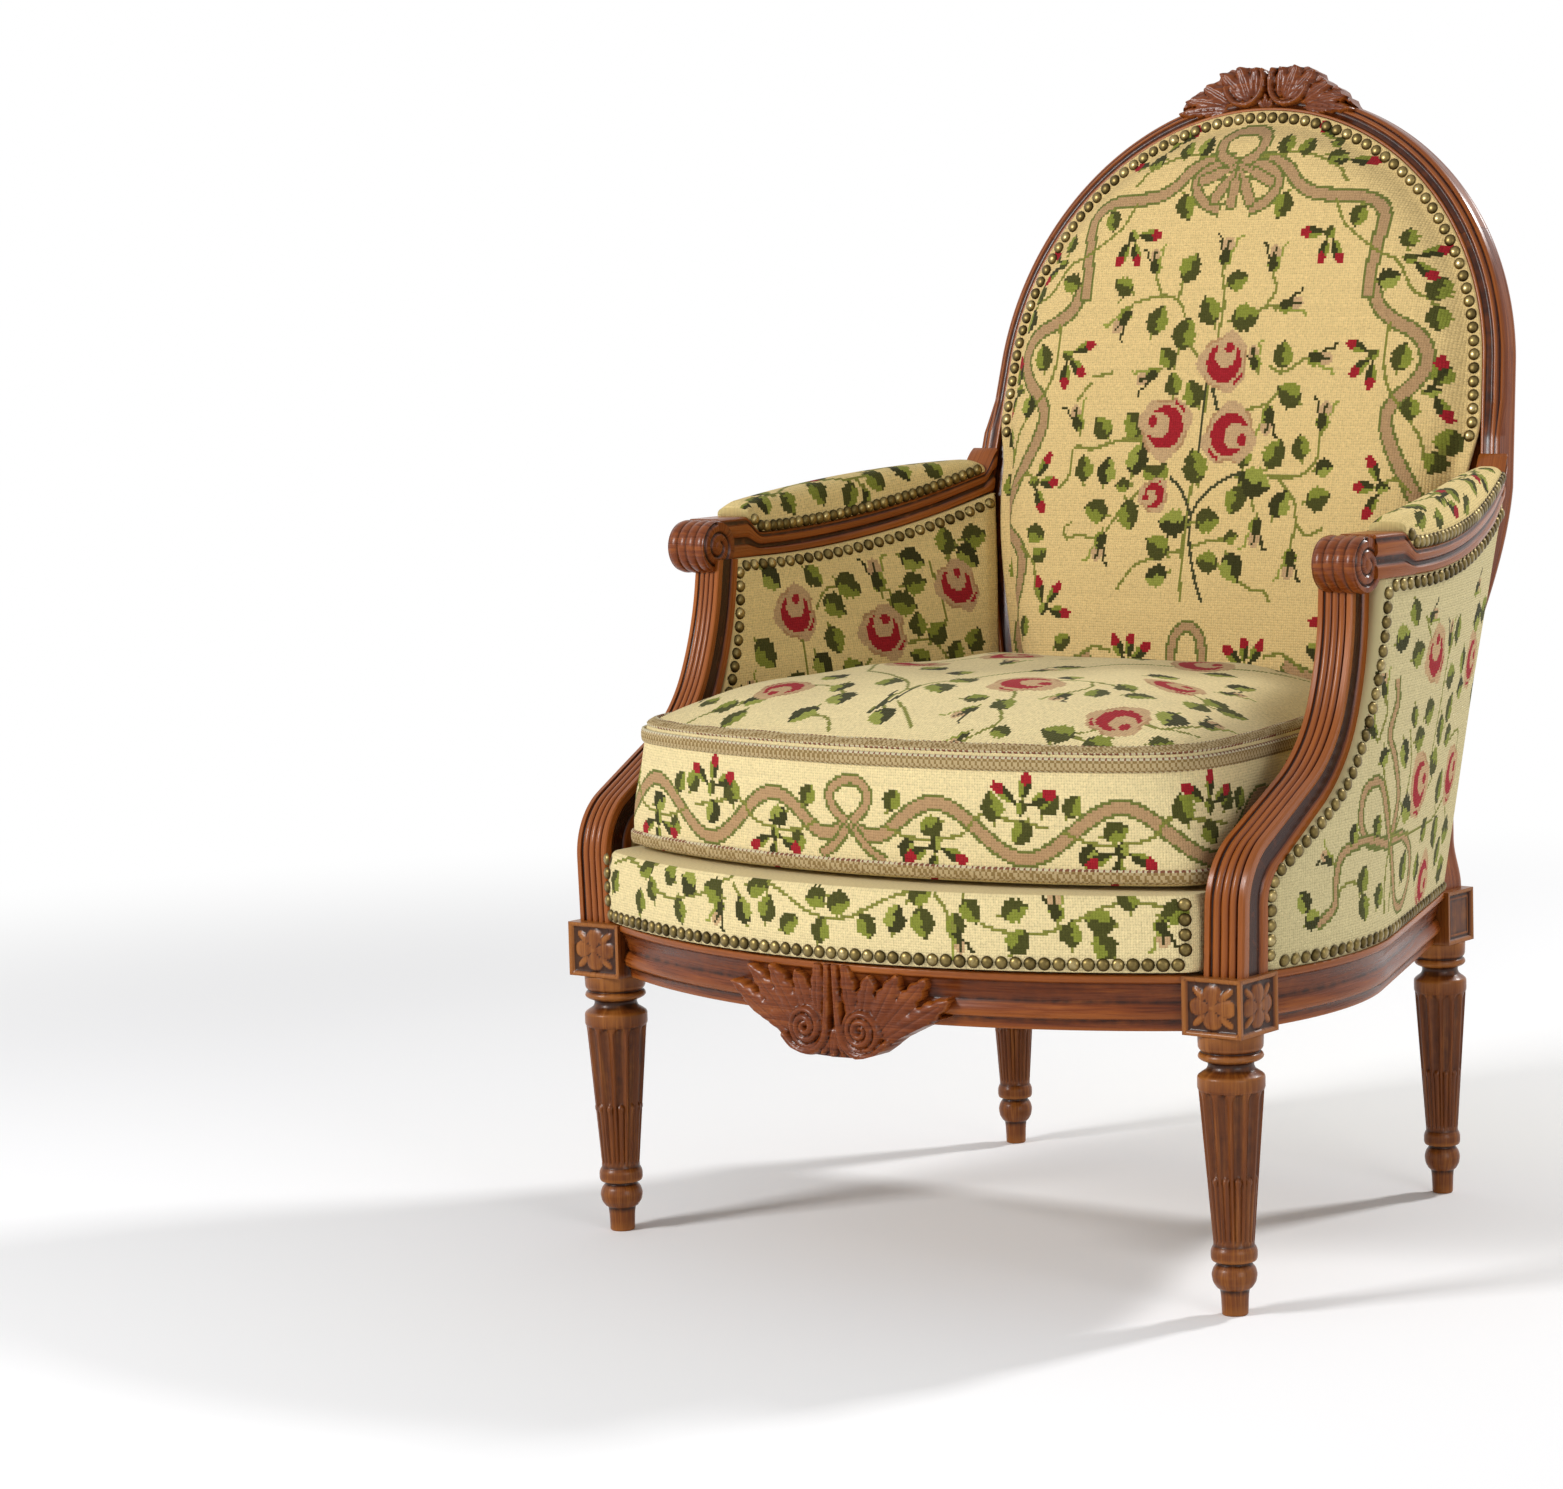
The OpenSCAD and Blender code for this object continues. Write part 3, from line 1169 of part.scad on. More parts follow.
function support_line(z0) = [for (k = [0 : panel_cols])
    let (z = lerp(z0, arm_under_z - nail_edge, k / panel_cols)) [support_back(z) + nail_edge, z]];
function rail_line() = [for (k = [0 : panel_cols])
    let (y = lerp(support_back(rail_top + nail_edge) + 3 * nail_r, stile_y(rail_top) - nail_edge, k / panel_cols))
    [y, rail_top + nail_edge]];

module inside_arm_nails(side) {
    both(side) color(brass) {
        for (p = spaced(arm_line(), nail_pitch)) panel_nail(p[0], p[1], -1);
        for (p = spaced(support_line(panel_front_z), nail_pitch)) panel_nail(p[0], p[1], -1);
    }
}
module outside_arm_nails(side) {
    both(side) color(brass) {
        for (p = spaced(arm_line(), nail_pitch)) panel_nail(p[0], p[1], 1);
        for (p = spaced(support_line(rail_top + nail_edge), nail_pitch)) panel_nail(p[0], p[1], 1);
        for (p = spaced(rail_line(), nail_pitch)) panel_nail(p[0], p[1], 1);
    }
}
module arm_pad_nails(side) {
    line = [for (k = [0 : panel_cols])
        let (y = lerp(pad_y0 + nail_r, pad_y1 - nail_r, k / panel_cols)) [y, arm_top(y) + gap + nail_r]];
    both(side) color(brass) for (p = spaced(line, nail_pitch)) {
        slope = (arm_out(p[0] + cut) - arm_out(p[0])) / cut;
        slope_in = slope - (arm_width(p[0] + cut) - arm_width(p[0])) / cut;
        nail_at([arm_out(p[0]) - pad_inset_x + 1.5 * gap, p[0], p[1]], [1, -slope, 0]);
        nail_at([arm_out(p[0]) - arm_width(p[0]) + pad_inset_x - 1.5 * gap, p[0], p[1]], [-1, slope_in, 0]);
    }
}
module seat_nails() {
    r = bow_r + deck_proud + 2.5 * gap;
    turn = asin((deck_front_half - 2 * nail_r) / r);
    line = [for (k = [0 : panel_cols]) let (a = lerp(-turn, turn, k / panel_cols)) [r * sin(a), bow_y - r * cos(a)]];
    rise = (deck_h - 2 * nail_r) / nail_pitch;
    color(brass) {
        for (p = spaced(line, nail_pitch)) nail_at([p[0], p[1], deck_base + nail_edge], [p[0], p[1] - bow_y, 0]);
        for (side = [-1, 1]) for (k = [1 : floor(rise)])
            nail_at([side * line[panel_cols][0], line[panel_cols][1], deck_base + nail_edge + k * nail_pitch],
                [side * line[panel_cols][0], line[panel_cols][1] - bow_y, 0]);
    }
}

stand() front_leg(-1);  // front_leg_left
stand() front_leg(1);  // front_leg_right
stand() back_leg(-1);  // back_leg_left
stand() back_leg(1);  // back_leg_right
stand() front_rail();
stand() side_rail(-1);  // side_rail_left
stand() side_rail(1);  // side_rail_right
stand() back_rail();
stand() corner_blocks();
stand() corner_block_screws();
stand() arm_support(-1);  // arm_support_left
stand() arm_support(1);  // arm_support_right
stand() arm_rest(-1);  // arm_rest_left
stand() arm_rest(1);  // arm_rest_right
stand() arm_dowels();
stand() back_stile(-1);  // back_stile_left
stand() back_stile(1);  // back_stile_right
stand() crest_rail();
stand() lower_back_rail();
stand() seat_webbing();
stand() seat_hessian();
stand() seat_stuffing();
stand() back_webbing();
stand() back_stuffing();
stand() outside_back_cover();
stand() inside_arm_panel(-1);  // inside_arm_panel_left
stand() inside_arm_panel(1);  // inside_arm_panel_right
stand() outside_arm_cover(-1);  // outside_arm_cover_left
stand() outside_arm_cover(1);  // outside_arm_cover_right
stand() arm_pad(-1);  // arm_pad_left
stand() arm_pad(1);  // arm_pad_right
stand() seat_cushion();
stand() cushion_top_braid();
stand() cushion_bottom_braid();
stand() back_nails();
stand() outside_back_nails();
stand() arm_pad_nails(-1);  // arm_pad_nails_left
stand() arm_pad_nails(1);  // arm_pad_nails_right
stand() inside_arm_nails(-1);  // inside_arm_nails_left
stand() inside_arm_nails(1);  // inside_arm_nails_right
stand() outside_arm_nails(-1);  // outside_arm_nails_left
stand() outside_arm_nails(1);  // outside_arm_nails_right
stand() seat_nails();
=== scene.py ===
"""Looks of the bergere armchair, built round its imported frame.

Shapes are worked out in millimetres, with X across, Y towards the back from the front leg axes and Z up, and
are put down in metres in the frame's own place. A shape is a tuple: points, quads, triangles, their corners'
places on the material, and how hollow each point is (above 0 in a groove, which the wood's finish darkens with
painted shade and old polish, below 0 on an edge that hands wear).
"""
import math

import bpy
import numpy as np
from mathutils import Matrix, Vector


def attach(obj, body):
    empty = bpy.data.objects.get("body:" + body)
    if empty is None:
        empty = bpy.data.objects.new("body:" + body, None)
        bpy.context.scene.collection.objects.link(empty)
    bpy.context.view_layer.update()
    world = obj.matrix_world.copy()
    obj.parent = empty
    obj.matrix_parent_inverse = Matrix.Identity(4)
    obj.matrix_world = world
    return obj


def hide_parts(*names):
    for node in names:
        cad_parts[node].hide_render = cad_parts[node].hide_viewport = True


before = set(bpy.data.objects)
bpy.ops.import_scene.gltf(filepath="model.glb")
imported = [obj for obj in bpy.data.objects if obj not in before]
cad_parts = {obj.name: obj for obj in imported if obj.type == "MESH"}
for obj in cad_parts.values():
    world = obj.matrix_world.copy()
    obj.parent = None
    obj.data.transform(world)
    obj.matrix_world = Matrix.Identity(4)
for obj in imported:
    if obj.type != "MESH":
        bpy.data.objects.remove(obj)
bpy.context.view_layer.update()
chance = np.random.default_rng(11)

# Sizes of the frame, as in the part's source

front_spacing, back_spacing, leg_depth = 614.0, 451.4, 464.4
leg_h, leg_r, block_h, front_block, back_block = 220.0, 26.3, 45.4, 53.7, 43.0
back_leg_scale, flute_count = 0.86, 12
front_swell, bow_r, rail_w, rail_h, rail_reveal = 99.0, 560.0, 32.0, 45.0, 4.0
side_swell, side_swell_back = 13.0, 88.0
arch_r, arch_z, arch_y, lean = 247.5, 696.0, 509.0, 12.25
frame_d, frame_w, rebate_w, splice_angle = 27.0, 19.0, 22.0, 32.0
stile_flare, flare_z, stile_waist, crest_rise = 7.5, 614.0, 16.0, 24.0
scroll_out, scroll_w, scroll_r, scroll_y, scroll_z = 345.0, 40.0, 23.0, 153.0, 569.0
arm_out_back, arm_swell, arm_w, arm_h = 281.0, 22.0, 36.0, 20.0
arm_under_z, arm_climb, pad_h, pad_climb = 557.0, 43.0, 26.0, 25.0
support_w, support_top_w, support_d, support_top_d, support_out = 35.0, 29.0, 36.0, 27.0, 330.0
deck_h, deck_proud, deck_front_half, deck_back_half = 62.0, 7.0, 292.0, 206.0
back_puff, back_puff_top, pad_tuck = 42.0, 30.0, 12.0
cushion_half, cushion_back_half, cushion_front, cushion_back = 288.0, 216.0, 72.0, 408.0
cushion_side_h, cushion_crown, cushion_bow_r = 92.0, 44.0, 661.0
nail_r, nail_h, nail_pitch, nail_edge, gap = 5.0, 3.0, 11.6, 6.5, 0.4
stitch = 2.2


def sind(a):
    return np.sin(np.radians(a))


def cosd(a):
    return np.cos(np.radians(a))


def lerp(a, b, t):
    return a + (b - a) * t


def clamp01(t):
    return np.clip(t, 0.0, 1.0)


def ease(t):
    return (1 - np.cos(np.pi * clamp01(t))) / 2


def unit(rows):
    return rows / np.linalg.norm(rows, axis=-1, keepdims=True)


def run_along(points):
    """How far each point of an open line lies from its first, measured along it."""
    return np.concatenate([[0], np.cumsum(np.linalg.norm(np.diff(points, axis=0), axis=1))])


tan_lean = math.tan(math.radians(lean))
rail_top = leg_h + block_h
rail_base = rail_top - rail_h
bow_y = bow_r - front_swell
side_y0, side_y1 = front_block / 2, leg_depth - back_block / 2
side_x0 = (front_spacing + front_block) / 2 - rail_reveal
side_x1 = (back_spacing + back_block) / 2 - rail_reveal
side_r = (side_swell ** 2 + side_swell_back ** 2) / (2 * side_swell)
side_center = np.array([side_x0 + side_swell - side_r, side_y0 + side_swell_back])
side_run = np.array([side_x1, side_y1]) - side_center
side_turn = math.degrees(math.atan2(side_run[1], side_run[0])) - math.degrees(math.acos(side_r / np.hypot(*side_run)))
side_join = side_center + side_r * np.array([cosd(side_turn), sind(side_turn)])
bend_z, waist_z, join_angle = rail_top + 185, rail_top + 100, 5.5
stile_foot_out = back_spacing / 2 + back_block / 2 - 9.2
stile_foot_y, stile_foot_d = leg_depth - back_block / 2 + 3, back_block - 6
plain_z0 = arm_under_z + arm_climb + 2.6 * arm_h
lip_join = arch_r * cosd(join_angle)
join_z = arch_z + arch_r * sind(join_angle) * cosd(lean)
waist_lip = back_spacing / 2 + back_block / 2 - stile_waist - frame_w
middle_y = -(-front_swell - 9 + arch_y + (arch_r + frame_w + crest_rise) * sind(lean) + frame_d * cosd(lean)) / 2


def plane_y(z):
    return arch_y + (z - arch_z) * tan_lean


def side_x(y):
    """Outer edge of a side rail: a bow of radius side_r, then a straight run to the back leg."""
    bow = side_center[0] + np.sqrt(np.maximum(side_r ** 2 - (y - side_center[1]) ** 2, 0))
    return np.where(y < side_join[1], bow, side_join[0] - (y - side_join[1]) * math.tan(math.radians(side_turn)))


def lip_x(z):
    """Inner edge of the show wood: a straight run into the arch, a cosine to the waist, and another to the foot."""
    top = lerp(arch_r + stile_flare, lip_join, (z - flare_z) / (join_z - flare_z))
    middle = lerp(waist_lip, arch_r + stile_flare, ease((z - waist_z) / (flare_z - waist_z)))
    low = lerp(stile_foot_out - frame_w, waist_lip, ease((z - rail_top) / (waist_z - rail_top) * 2.4))
    return np.where(z > flare_z, top, np.where(z > waist_z, middle, low))


def stile_lean(z):
    return lean * clamp01((z - bend_z + 40) / 40)


def stile_y(z):
    low = lerp(stile_foot_y, plane_y(bend_z), (z - rail_top) / (bend_z - rail_top))
    return np.where(z > bend_z, plane_y(z), low)


def stile_d(z):
    return lerp(stile_foot_d, frame_d, clamp01((z - rail_top) / (bend_z - rail_top)))


# Putting shapes together


def soften(points, radius, steps=3):
    """Rounds each corner of a closed outline: a corner becomes a parabola between the two places a radius away on its
    sides, or at 0.45 of a short side."""
    p = np.asarray(points, float)
    out = []
    for k in range(len(p)):
        a, b, c = p[k - 1], p[k], p[(k + 1) % len(p)]
        la, lc = np.linalg.norm(a - b), np.linalg.norm(c - b)
        r = min(radius, 0.45 * la, 0.45 * lc)
        s, e = b + (a - b) * r / la, b + (c - b) * r / lc
        for t in np.linspace(0, 1, steps):
            out.append((1 - t) ** 2 * s + 2 * t * (1 - t) * b + t * t * e)
    return np.array(out)


# Painted shade and old polish: a section's hollowness darkens its grooves in the wood's finish.
def hollows(outline, reach=2.5):
    """How hollow a closed outline is at each point: how far the middle of its neighbours, a reach away, lies outside
    it."""
    p = np.asarray(outline, float)
    nxt, prv = np.roll(p, -1, 0), np.roll(p, 1, 0)
    area = np.sum(p[:, 0] * nxt[:, 1] - p[:, 1] * nxt[:, 0])
    t = nxt - prv
    n = np.stack([t[:, 1], -t[:, 0]], 1) * np.sign(area)
    n /= np.maximum(np.linalg.norm(n, axis=1), 1e-9)[:, None]
    closed = np.vstack([p, p[:1]])
    run = run_along(closed)
    whole = run[-1]
    at = lambda s: np.stack([np.interp(s % whole, run, closed[:, k]) for k in (0, 1)], 1)
    middle = (at(run[:-1] + reach) + at(run[:-1] - reach)) / 2
    return np.clip(np.sum((middle - p) * n, 1) / (0.35 * reach), -1, 1)


def blank(points, quads, tris=None, quad_uv=None, tri_uv=None, hollow=None):
    points = np.asarray(points, float)
    quads = np.asarray(quads, int).reshape(-1, 4)
    tris = np.zeros((0, 3), int) if tris is None else np.asarray(tris, int).reshape(-1, 3)
    quad_uv = np.zeros((len(quads), 4, 2)) if quad_uv is None else quad_uv
    tri_uv = np.zeros((len(tris), 3, 2)) if tri_uv is None else tri_uv
    hollow = np.zeros(len(points)) if hollow is None else np.asarray(hollow, float).ravel()
    return points, quads, tris, quad_uv, tri_uv, hollow


def outward(shape):
    """Turns every face round if the shape's signed volume is below nothing."""
    p, q, t, quv, tuv, h = shape
    tri = np.concatenate([q[:, [0, 1, 2]], q[:, [0, 2, 3]], t])
    a, b, c = p[tri[:, 0]] - p.mean(0), p[tri[:, 1]] - p.mean(0), p[tri[:, 2]] - p.mean(0)
    if np.sum(np.cross(a, b) * c) < 0:
        return p, q[:, ::-1], t[:, ::-1], quv[:, ::-1], tuv[:, ::-1], h
    return shape


quad_corners = ((0, 0), (0, 1), (1, 1), (1, 0))


def ring_quads(n, m):
    """The quads of a skin over n rings of m points, and each quad's ring and its place in the ring."""
    i, j = np.meshgrid(np.arange(n - 1), np.arange(m), indexing="ij")
    return np.stack([(i + k) * m + (j + l) % m for k, l in quad_corners], 2).reshape(-1, 4), i, j


def canvas_corners(row, col):
    """Where the corners of each square lie on the canvas, counted in squares."""
    return np.stack([np.stack([col + l, row + k], -1) for k, l in quad_corners], -2).reshape(-1, 4, 2).astype(float)


def tube(rings, hollow=None, capped=True):
    """A skin over rings of points (rings, points round, 3), with a hub in each end, or only in the first or the last
    where capped says so. The material runs along with the middles of the rings, and round with their mean."""
    rings = np.asarray(rings, float)
    n, m = rings.shape[:2]
    on = run_along(rings.mean(1))
    around = np.concatenate([[0], np.cumsum(np.linalg.norm(np.roll(rings, -1, 1) - rings, axis=2).mean(0))])
    quads, i, j = ring_quads(n, m)
    uv = np.stack([np.stack([on[i + k], around[j + l]], 2) for k, l in quad_corners], 2).reshape(-1, 4, 2)
    points = rings.reshape(-1, 3)
    shade = np.zeros((n, m)) if hollow is None else np.broadcast_to(hollow, (n, m))
    k, hubs, fans = np.arange(m), [], []
    if capped in (True, "first"):
        fans.append(np.stack([np.full(m, n * m), (k + 1) % m, k], 1))
        hubs.append(rings[0].mean(0))
    if capped in (True, "last"):
        fans.append(np.stack([np.full(m, n * m + len(hubs)), (n - 1) * m + k, (n - 1) * m + (k + 1) % m], 1))
        hubs.append(rings[-1].mean(0))
    if not fans:
        return blank(points, quads, quad_uv=uv, hollow=shade)
    points, tris = np.vstack([points, hubs]), np.concatenate(fans)
    tri_uv = points[tris][:, :, :2] - points[tris[:, :1]][:, :, :2]
    shape = blank(points, quads, tris, uv, tri_uv, np.concatenate([shade.ravel(), np.zeros(len(hubs))]))
    return outward(shape) if capped is True else shape


def laid_flat(shape):
    """The same shape with its canvas read off in plan, one square to a stitch."""
    p, q, t, _, _, h = shape
    return p, q, t, p[q][:, :, :2] / stitch, p[t][:, :, :2] / stitch, h


def joined(*shapes):
    start, out = 0, [[], [], [], [], [], []]
    for p, q, t, quv, tuv, h in shapes:
        for store, part in zip(out, (p, q + start, t + start, quv, tuv, h)):
            store.append(part)
        start += len(p)
    return tuple(np.concatenate(part) for part in out)


def other_side(shape):
    """The shape in the mirror of the chair's middle, its faces turned so that they still look outwards."""
    p, q, t, quv, tuv, h = shape
    return p * [-1, 1, 1], q[:, ::-1], t[:, ::-1], quv[:, ::-1], tuv[:, ::-1], h


def piece(name, shape, finish, body="chair", slot=None, stands_for=(), sharp=38, dye=None):
    """Puts a shape down as an object at the origin, in metres. dye is a colour for each quad: one for each stitch."""
    p, q, t, quv, tuv, h = shape
    mesh = bpy.data.meshes.new(name)
    mesh.vertices.add(len(p))
    mesh.vertices.foreach_set("co", ((p + [0, middle_y, 0]) * 0.001).astype(np.float32).ravel())
    mesh.loops.add(q.size + t.size)
    mesh.loops.foreach_set("vertex_index", np.concatenate([q.ravel(), t.ravel()]).astype(np.int32))
    mesh.polygons.add(len(q) + len(t))
    starts = np.concatenate([np.arange(len(q)) * 4, q.size + np.arange(len(t)) * 3])
    mesh.polygons.foreach_set("loop_start", starts.astype(np.int32))
    mesh.update(calc_edges=True)
    layer = mesh.uv_layers.new(name="lay")
    layer.data.foreach_set("uv", np.concatenate([quv.reshape(-1, 2), tuv.reshape(-1, 2)]).astype(np.float32).ravel())
    mesh.attributes.new("hollow", "FLOAT", "POINT").data.foreach_set("value", h.astype(np.float32))
    if dye is not None:
        corners = np.concatenate([np.repeat(dye, 4, 0), np.repeat(np.mean(dye, 0)[None], t.size, 0)])
        colours = np.concatenate([corners, np.ones((len(corners), 1))], 1)
        dyed = mesh.attributes.new("wool", "FLOAT_COLOR", "CORNER")
        dyed.data.foreach_set("color", colours.astype(np.float32).ravel())
    mesh.shade_smooth()
    mesh.set_sharp_from_angle(angle=math.radians(sharp))
    mesh.materials.append(finish)
    obj = bpy.data.objects.new(name, mesh)
    bpy.context.scene.collection.objects.link(obj)
    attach(obj, body)
    if stands_for:
        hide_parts(*stands_for)
    return obj


def both(name, shape, finish, slot=None, stands_for=None, **rest):
    """The right-hand piece and its mirror on the left."""
    for side, made in (("right", shape), ("left", other_side(shape))):
        nodes = [f"{n}_{side}" for n in (stands_for or [])]
        piece(f"{name}_{side}", made, finish, slot=slot, stands_for=nodes, **rest)


# Materials


def hex_colour(text):
    """A colour written as sRGB hex, in linear light."""
    v = np.array([int(text[k:k + 2], 16) for k in (1, 3, 5)]) / 255
    return tuple(np.where(v <= 0.04045, v / 12.92, ((v + 0.055) / 1.055) ** 2.4)) + (1.0,)


def add(tree, kind, feeds=None, stops=None, **settings):
    """Adds a shader node: settings are its own, feeds are values, sockets or nodes for its inputs by name or number,
    and stops fill its ramp."""
    made = tree.nodes.new("ShaderNode" + kind)
    for key, value in settings.items():
        setattr(made, key, value)
    for key, value in (feeds or {}).items():
        value = value.outputs[0] if isinstance(value, bpy.types.Node) else value
        if isinstance(value, bpy.types.NodeSocket):
            tree.links.new(value, made.inputs[key])
        else:
            made.inputs[key].default_value = value
    if stops:
        ramp = made.color_ramp
        while len(ramp.elements) < len(stops):
            ramp.elements.new(0.5)
        for element, (place, colour) in zip(ramp.elements, stops):
            element.position = place
            element.color = hex_colour(colour) if isinstance(colour, str) else (colour,) * 3 + (1,)
    return made


def new_finish(name):
    made = bpy.data.materials.new(name)
    made.use_nodes = True
    made.node_tree.nodes.clear()
    return made, made.node_tree


def blended(tree, share, first, second, kind="MIX"):
    """A colour that goes from the first to the second by a share, or to both multiplied."""
    return add(tree, "Mix", {0: share, 6: first, 7: second}, data_type="RGBA", blend_type=kind).outputs[2]


def surfaced(made, feeds):
    """Ends a material in a surface with these feeds."""
    shader = add(made.node_tree, "BsdfPrincipled", feeds)
    add(made.node_tree, "OutputMaterial", {"Surface": shader})
    return made


def waxed_wood(name, dark, middle, light, polish_and_shade, on_lay=True, rough=0.34, coat=0.25):
    """Turned or carved beech, stained and waxed: fibres 25 to 60 mm long and 0.6 mm across show as streaks, pores as
    short dark ticks, wax gives a soft second gloss, and the grooves are darkened with painted shade and old polish."""
    made, tree = new_finish(name)
    place = add(tree, "TexCoord").outputs["UV" if on_lay else "Object"]
    # The lay is in millimetres and Object coordinates are in metres; both are scaled to fibre lengths
    stretched = lambda lay, solid: add(tree, "Mapping", {"Vector": place, "Scale": lay if on_lay else solid})
    long = stretched((1 / 55, 1 / 2.2, 1), (18, 450, 450))
    fibre = add(tree, "TexNoise", {"Vector": long, "Scale": 1.0, "Detail": 5.0, "Roughness": 0.62,
                                   "Distortion": 0.35})
    wide = stretched((1 / 190, 1 / 26, 1), (5, 38, 38))
    cloud = add(tree, "TexNoise", {"Vector": wide, "Scale": 1.0, "Detail": 3.0, "Roughness": 0.5, "Distortion": 0.8})
    figure = add(tree, "Math", {0: fibre.outputs["Fac"], 1: cloud.outputs["Fac"]}, operation="ADD")
    half = add(tree, "Math", {0: figure, 1: 0.5}, operation="MULTIPLY")
    tone = add(tree, "ValToRGB", {"Fac": half}, stops=[(0.3, dark), (0.5, middle), (0.7, light)])
    pore_map = stretched((1 / 9, 1 / 0.9, 1), (110, 1100, 1100))
    pore = add(tree, "TexVoronoi", {"Vector": pore_map, "Scale": 1.0, "Randomness": 1.0},
               voronoi_dimensions="2D" if on_lay else "3D")
    tick = add(tree, "ValToRGB", {"Fac": pore.outputs["Distance"]}, stops=[(0.0, 0.55), (0.16, 1.0)])
    pored = blended(tree, 0.55, tone, tick, "MULTIPLY")
    hollow = add(tree, "Attribute", attribute_name="hollow").outputs["Fac"]
    patch = add(tree, "TexNoise", {"Vector": place, "Scale": 0.11 if on_lay else 110.0, "Detail": 3.0})
    # Painted shade and old polish: where the hollow attribute is above 0, in grooves and recesses, the colour darkens
    # towards the last colour given
    polish_and_shade_mask = add(tree, "Math", {0: hollow, 1: patch.outputs["Fac"]}, operation="MULTIPLY")
    deep = add(tree, "MapRange", {"Value": polish_and_shade_mask, "From Min": 0.04, "From Max": 0.4, "To Min": 0.0, "To Max": 0.86})
    darkened = blended(tree, deep, pored, hex_colour(polish_and_shade))
    worn = add(tree, "MapRange", {"Value": hollow, "From Min": -0.25, "From Max": -1.0, "To Min": 0.0,
                                  "To Max": 0.55})
    rubbed = blended(tree, worn, darkened, hex_colour(light))
    gloss = add(tree, "MapRange", {"Value": fibre.outputs["Fac"], "From Min": 0.3, "From Max": 0.7,
                                   "To Min": rough - 0.07, "To Max": rough + 0.1})
    bump = add(tree, "Bump", {"Height": fibre.outputs["Fac"], "Strength": 0.25, "Distance": 0.0004})
    return surfaced(made, {"Base Color": rubbed, "Roughness": gloss, "Normal": bump,
        "Specular IOR Level": 0.22, "Coat Weight": coat, "Coat Roughness": 0.12})


def needlepoint(name):
    """Wool worked in slanting stitches over a squared canvas, 2.2 mm to a stitch: every stitch is a small pillow,
    dull, with a fuzz of fibres that catches light at the edges, and painted shade darkens the gaps between
    stitches. The colour of each stitch comes with the mesh."""
    made, tree = new_finish(name)
    lay = add(tree, "TexCoord").outputs["UV"]
    wool = add(tree, "Attribute", attribute_name="wool").outputs["Color"]
    centred = add(tree, "Mapping", {"Vector": lay, "Location": (0.5, 0.5, 0.0)})
    cell = add(tree, "TexVoronoi", {"Vector": centred, "Scale": 1.0, "Randomness": 0.28}, voronoi_dimensions="2D")
    pillow = add(tree, "MapRange", {"Value": cell.outputs["Distance"], "From Min": 0.1, "From Max": 0.68,
                                    "To Min": 1.0, "To Max": 0.0})
    fuzz = add(tree, "TexNoise", {"Vector": lay, "Scale": 2.6, "Detail": 4.0, "Roughness": 0.7})
    height = add(tree, "Math", {0: fuzz.outputs["Fac"], 1: 0.35, 2: pillow}, operation="MULTIPLY_ADD")
    # Painted shade: each stitch's colour darkens towards its edges, in the gaps between stitches
    stitch_gap_shade = add(tree, "ValToRGB", {"Fac": pillow}, stops=[(0.0, 0.58), (0.45, 1.0)])
    shaded = blended(tree, 0.75, wool, stitch_gap_shade, "MULTIPLY")
    mottled = add(tree, "ValToRGB", {"Fac": fuzz.outputs["Fac"]}, stops=[(0.3, 0.84), (0.7, 1.0)])
    final = blended(tree, 0.8, shaded, mottled, "MULTIPLY")
    bump = add(tree, "Bump", {"Height": height, "Strength": 0.7, "Distance": 0.0007})
    return surfaced(made, {"Base Color": final, "Roughness": 0.92, "Normal": bump,
        "Sheen Weight": 0.06, "Sheen Roughness": 0.5, "Specular IOR Level": 0.06})


def antique_brass(name):
    """Stamped brass nail heads, browned with age, lighter on their crowns and darker towards their feet."""
    made, tree = new_finish(name)
    place = add(tree, "TexCoord").outputs["Object"]
    hollow = add(tree, "Attribute", attribute_name="hollow").outputs["Fac"]
    spots = add(tree, "TexNoise", {"Vector": place, "Scale": 420.0, "Detail": 3.0})
    summed = add(tree, "Math", {0: spots.outputs["Fac"], 1: 0.45, 2: hollow}, operation="MULTIPLY_ADD")
    tone = add(tree, "ValToRGB", {"Fac": summed},
               stops=[(0.05, "#b8a67a"), (0.3, "#8a784b"), (0.62, "#5e502e"), (1.0, "#302712")])
    rough = add(tree, "MapRange", {"Value": summed, "From Min": 0.1, "From Max": 0.9, "To Min": 0.26, "To Max": 0.55})
    return surfaced(made, {"Base Color": tone, "Roughness": rough, "Metallic": 1.0})


def woven_jute(name):
    """Jute webbing: a plain weave of coarse brown yarns 2.5 mm apart, hairy and dull."""
    made, tree = new_finish(name)
    place = add(tree, "TexCoord").outputs["Object"]
    yarn = {"Vector": place, "Scale": 64.0, "Distortion": 1.2, "Detail": 2.0}
    warp, weft = (add(tree, "TexWave", yarn, bands_direction=way) for way in "XY")
    weave = add(tree, "Math", {0: warp.outputs["Fac"], 1: weft.outputs["Fac"]}, operation="MULTIPLY")
    tone = add(tree, "ValToRGB", {"Fac": weave}, stops=[(0.0, "#6f5836"), (0.5, "#a98d60"), (1.0, "#c2aa7c")])
    bump = add(tree, "Bump", {"Height": weave, "Strength": 0.6, "Distance": 0.0008})
    return surfaced(made, {"Base Color": tone, "Roughness": 0.95, "Normal": bump})


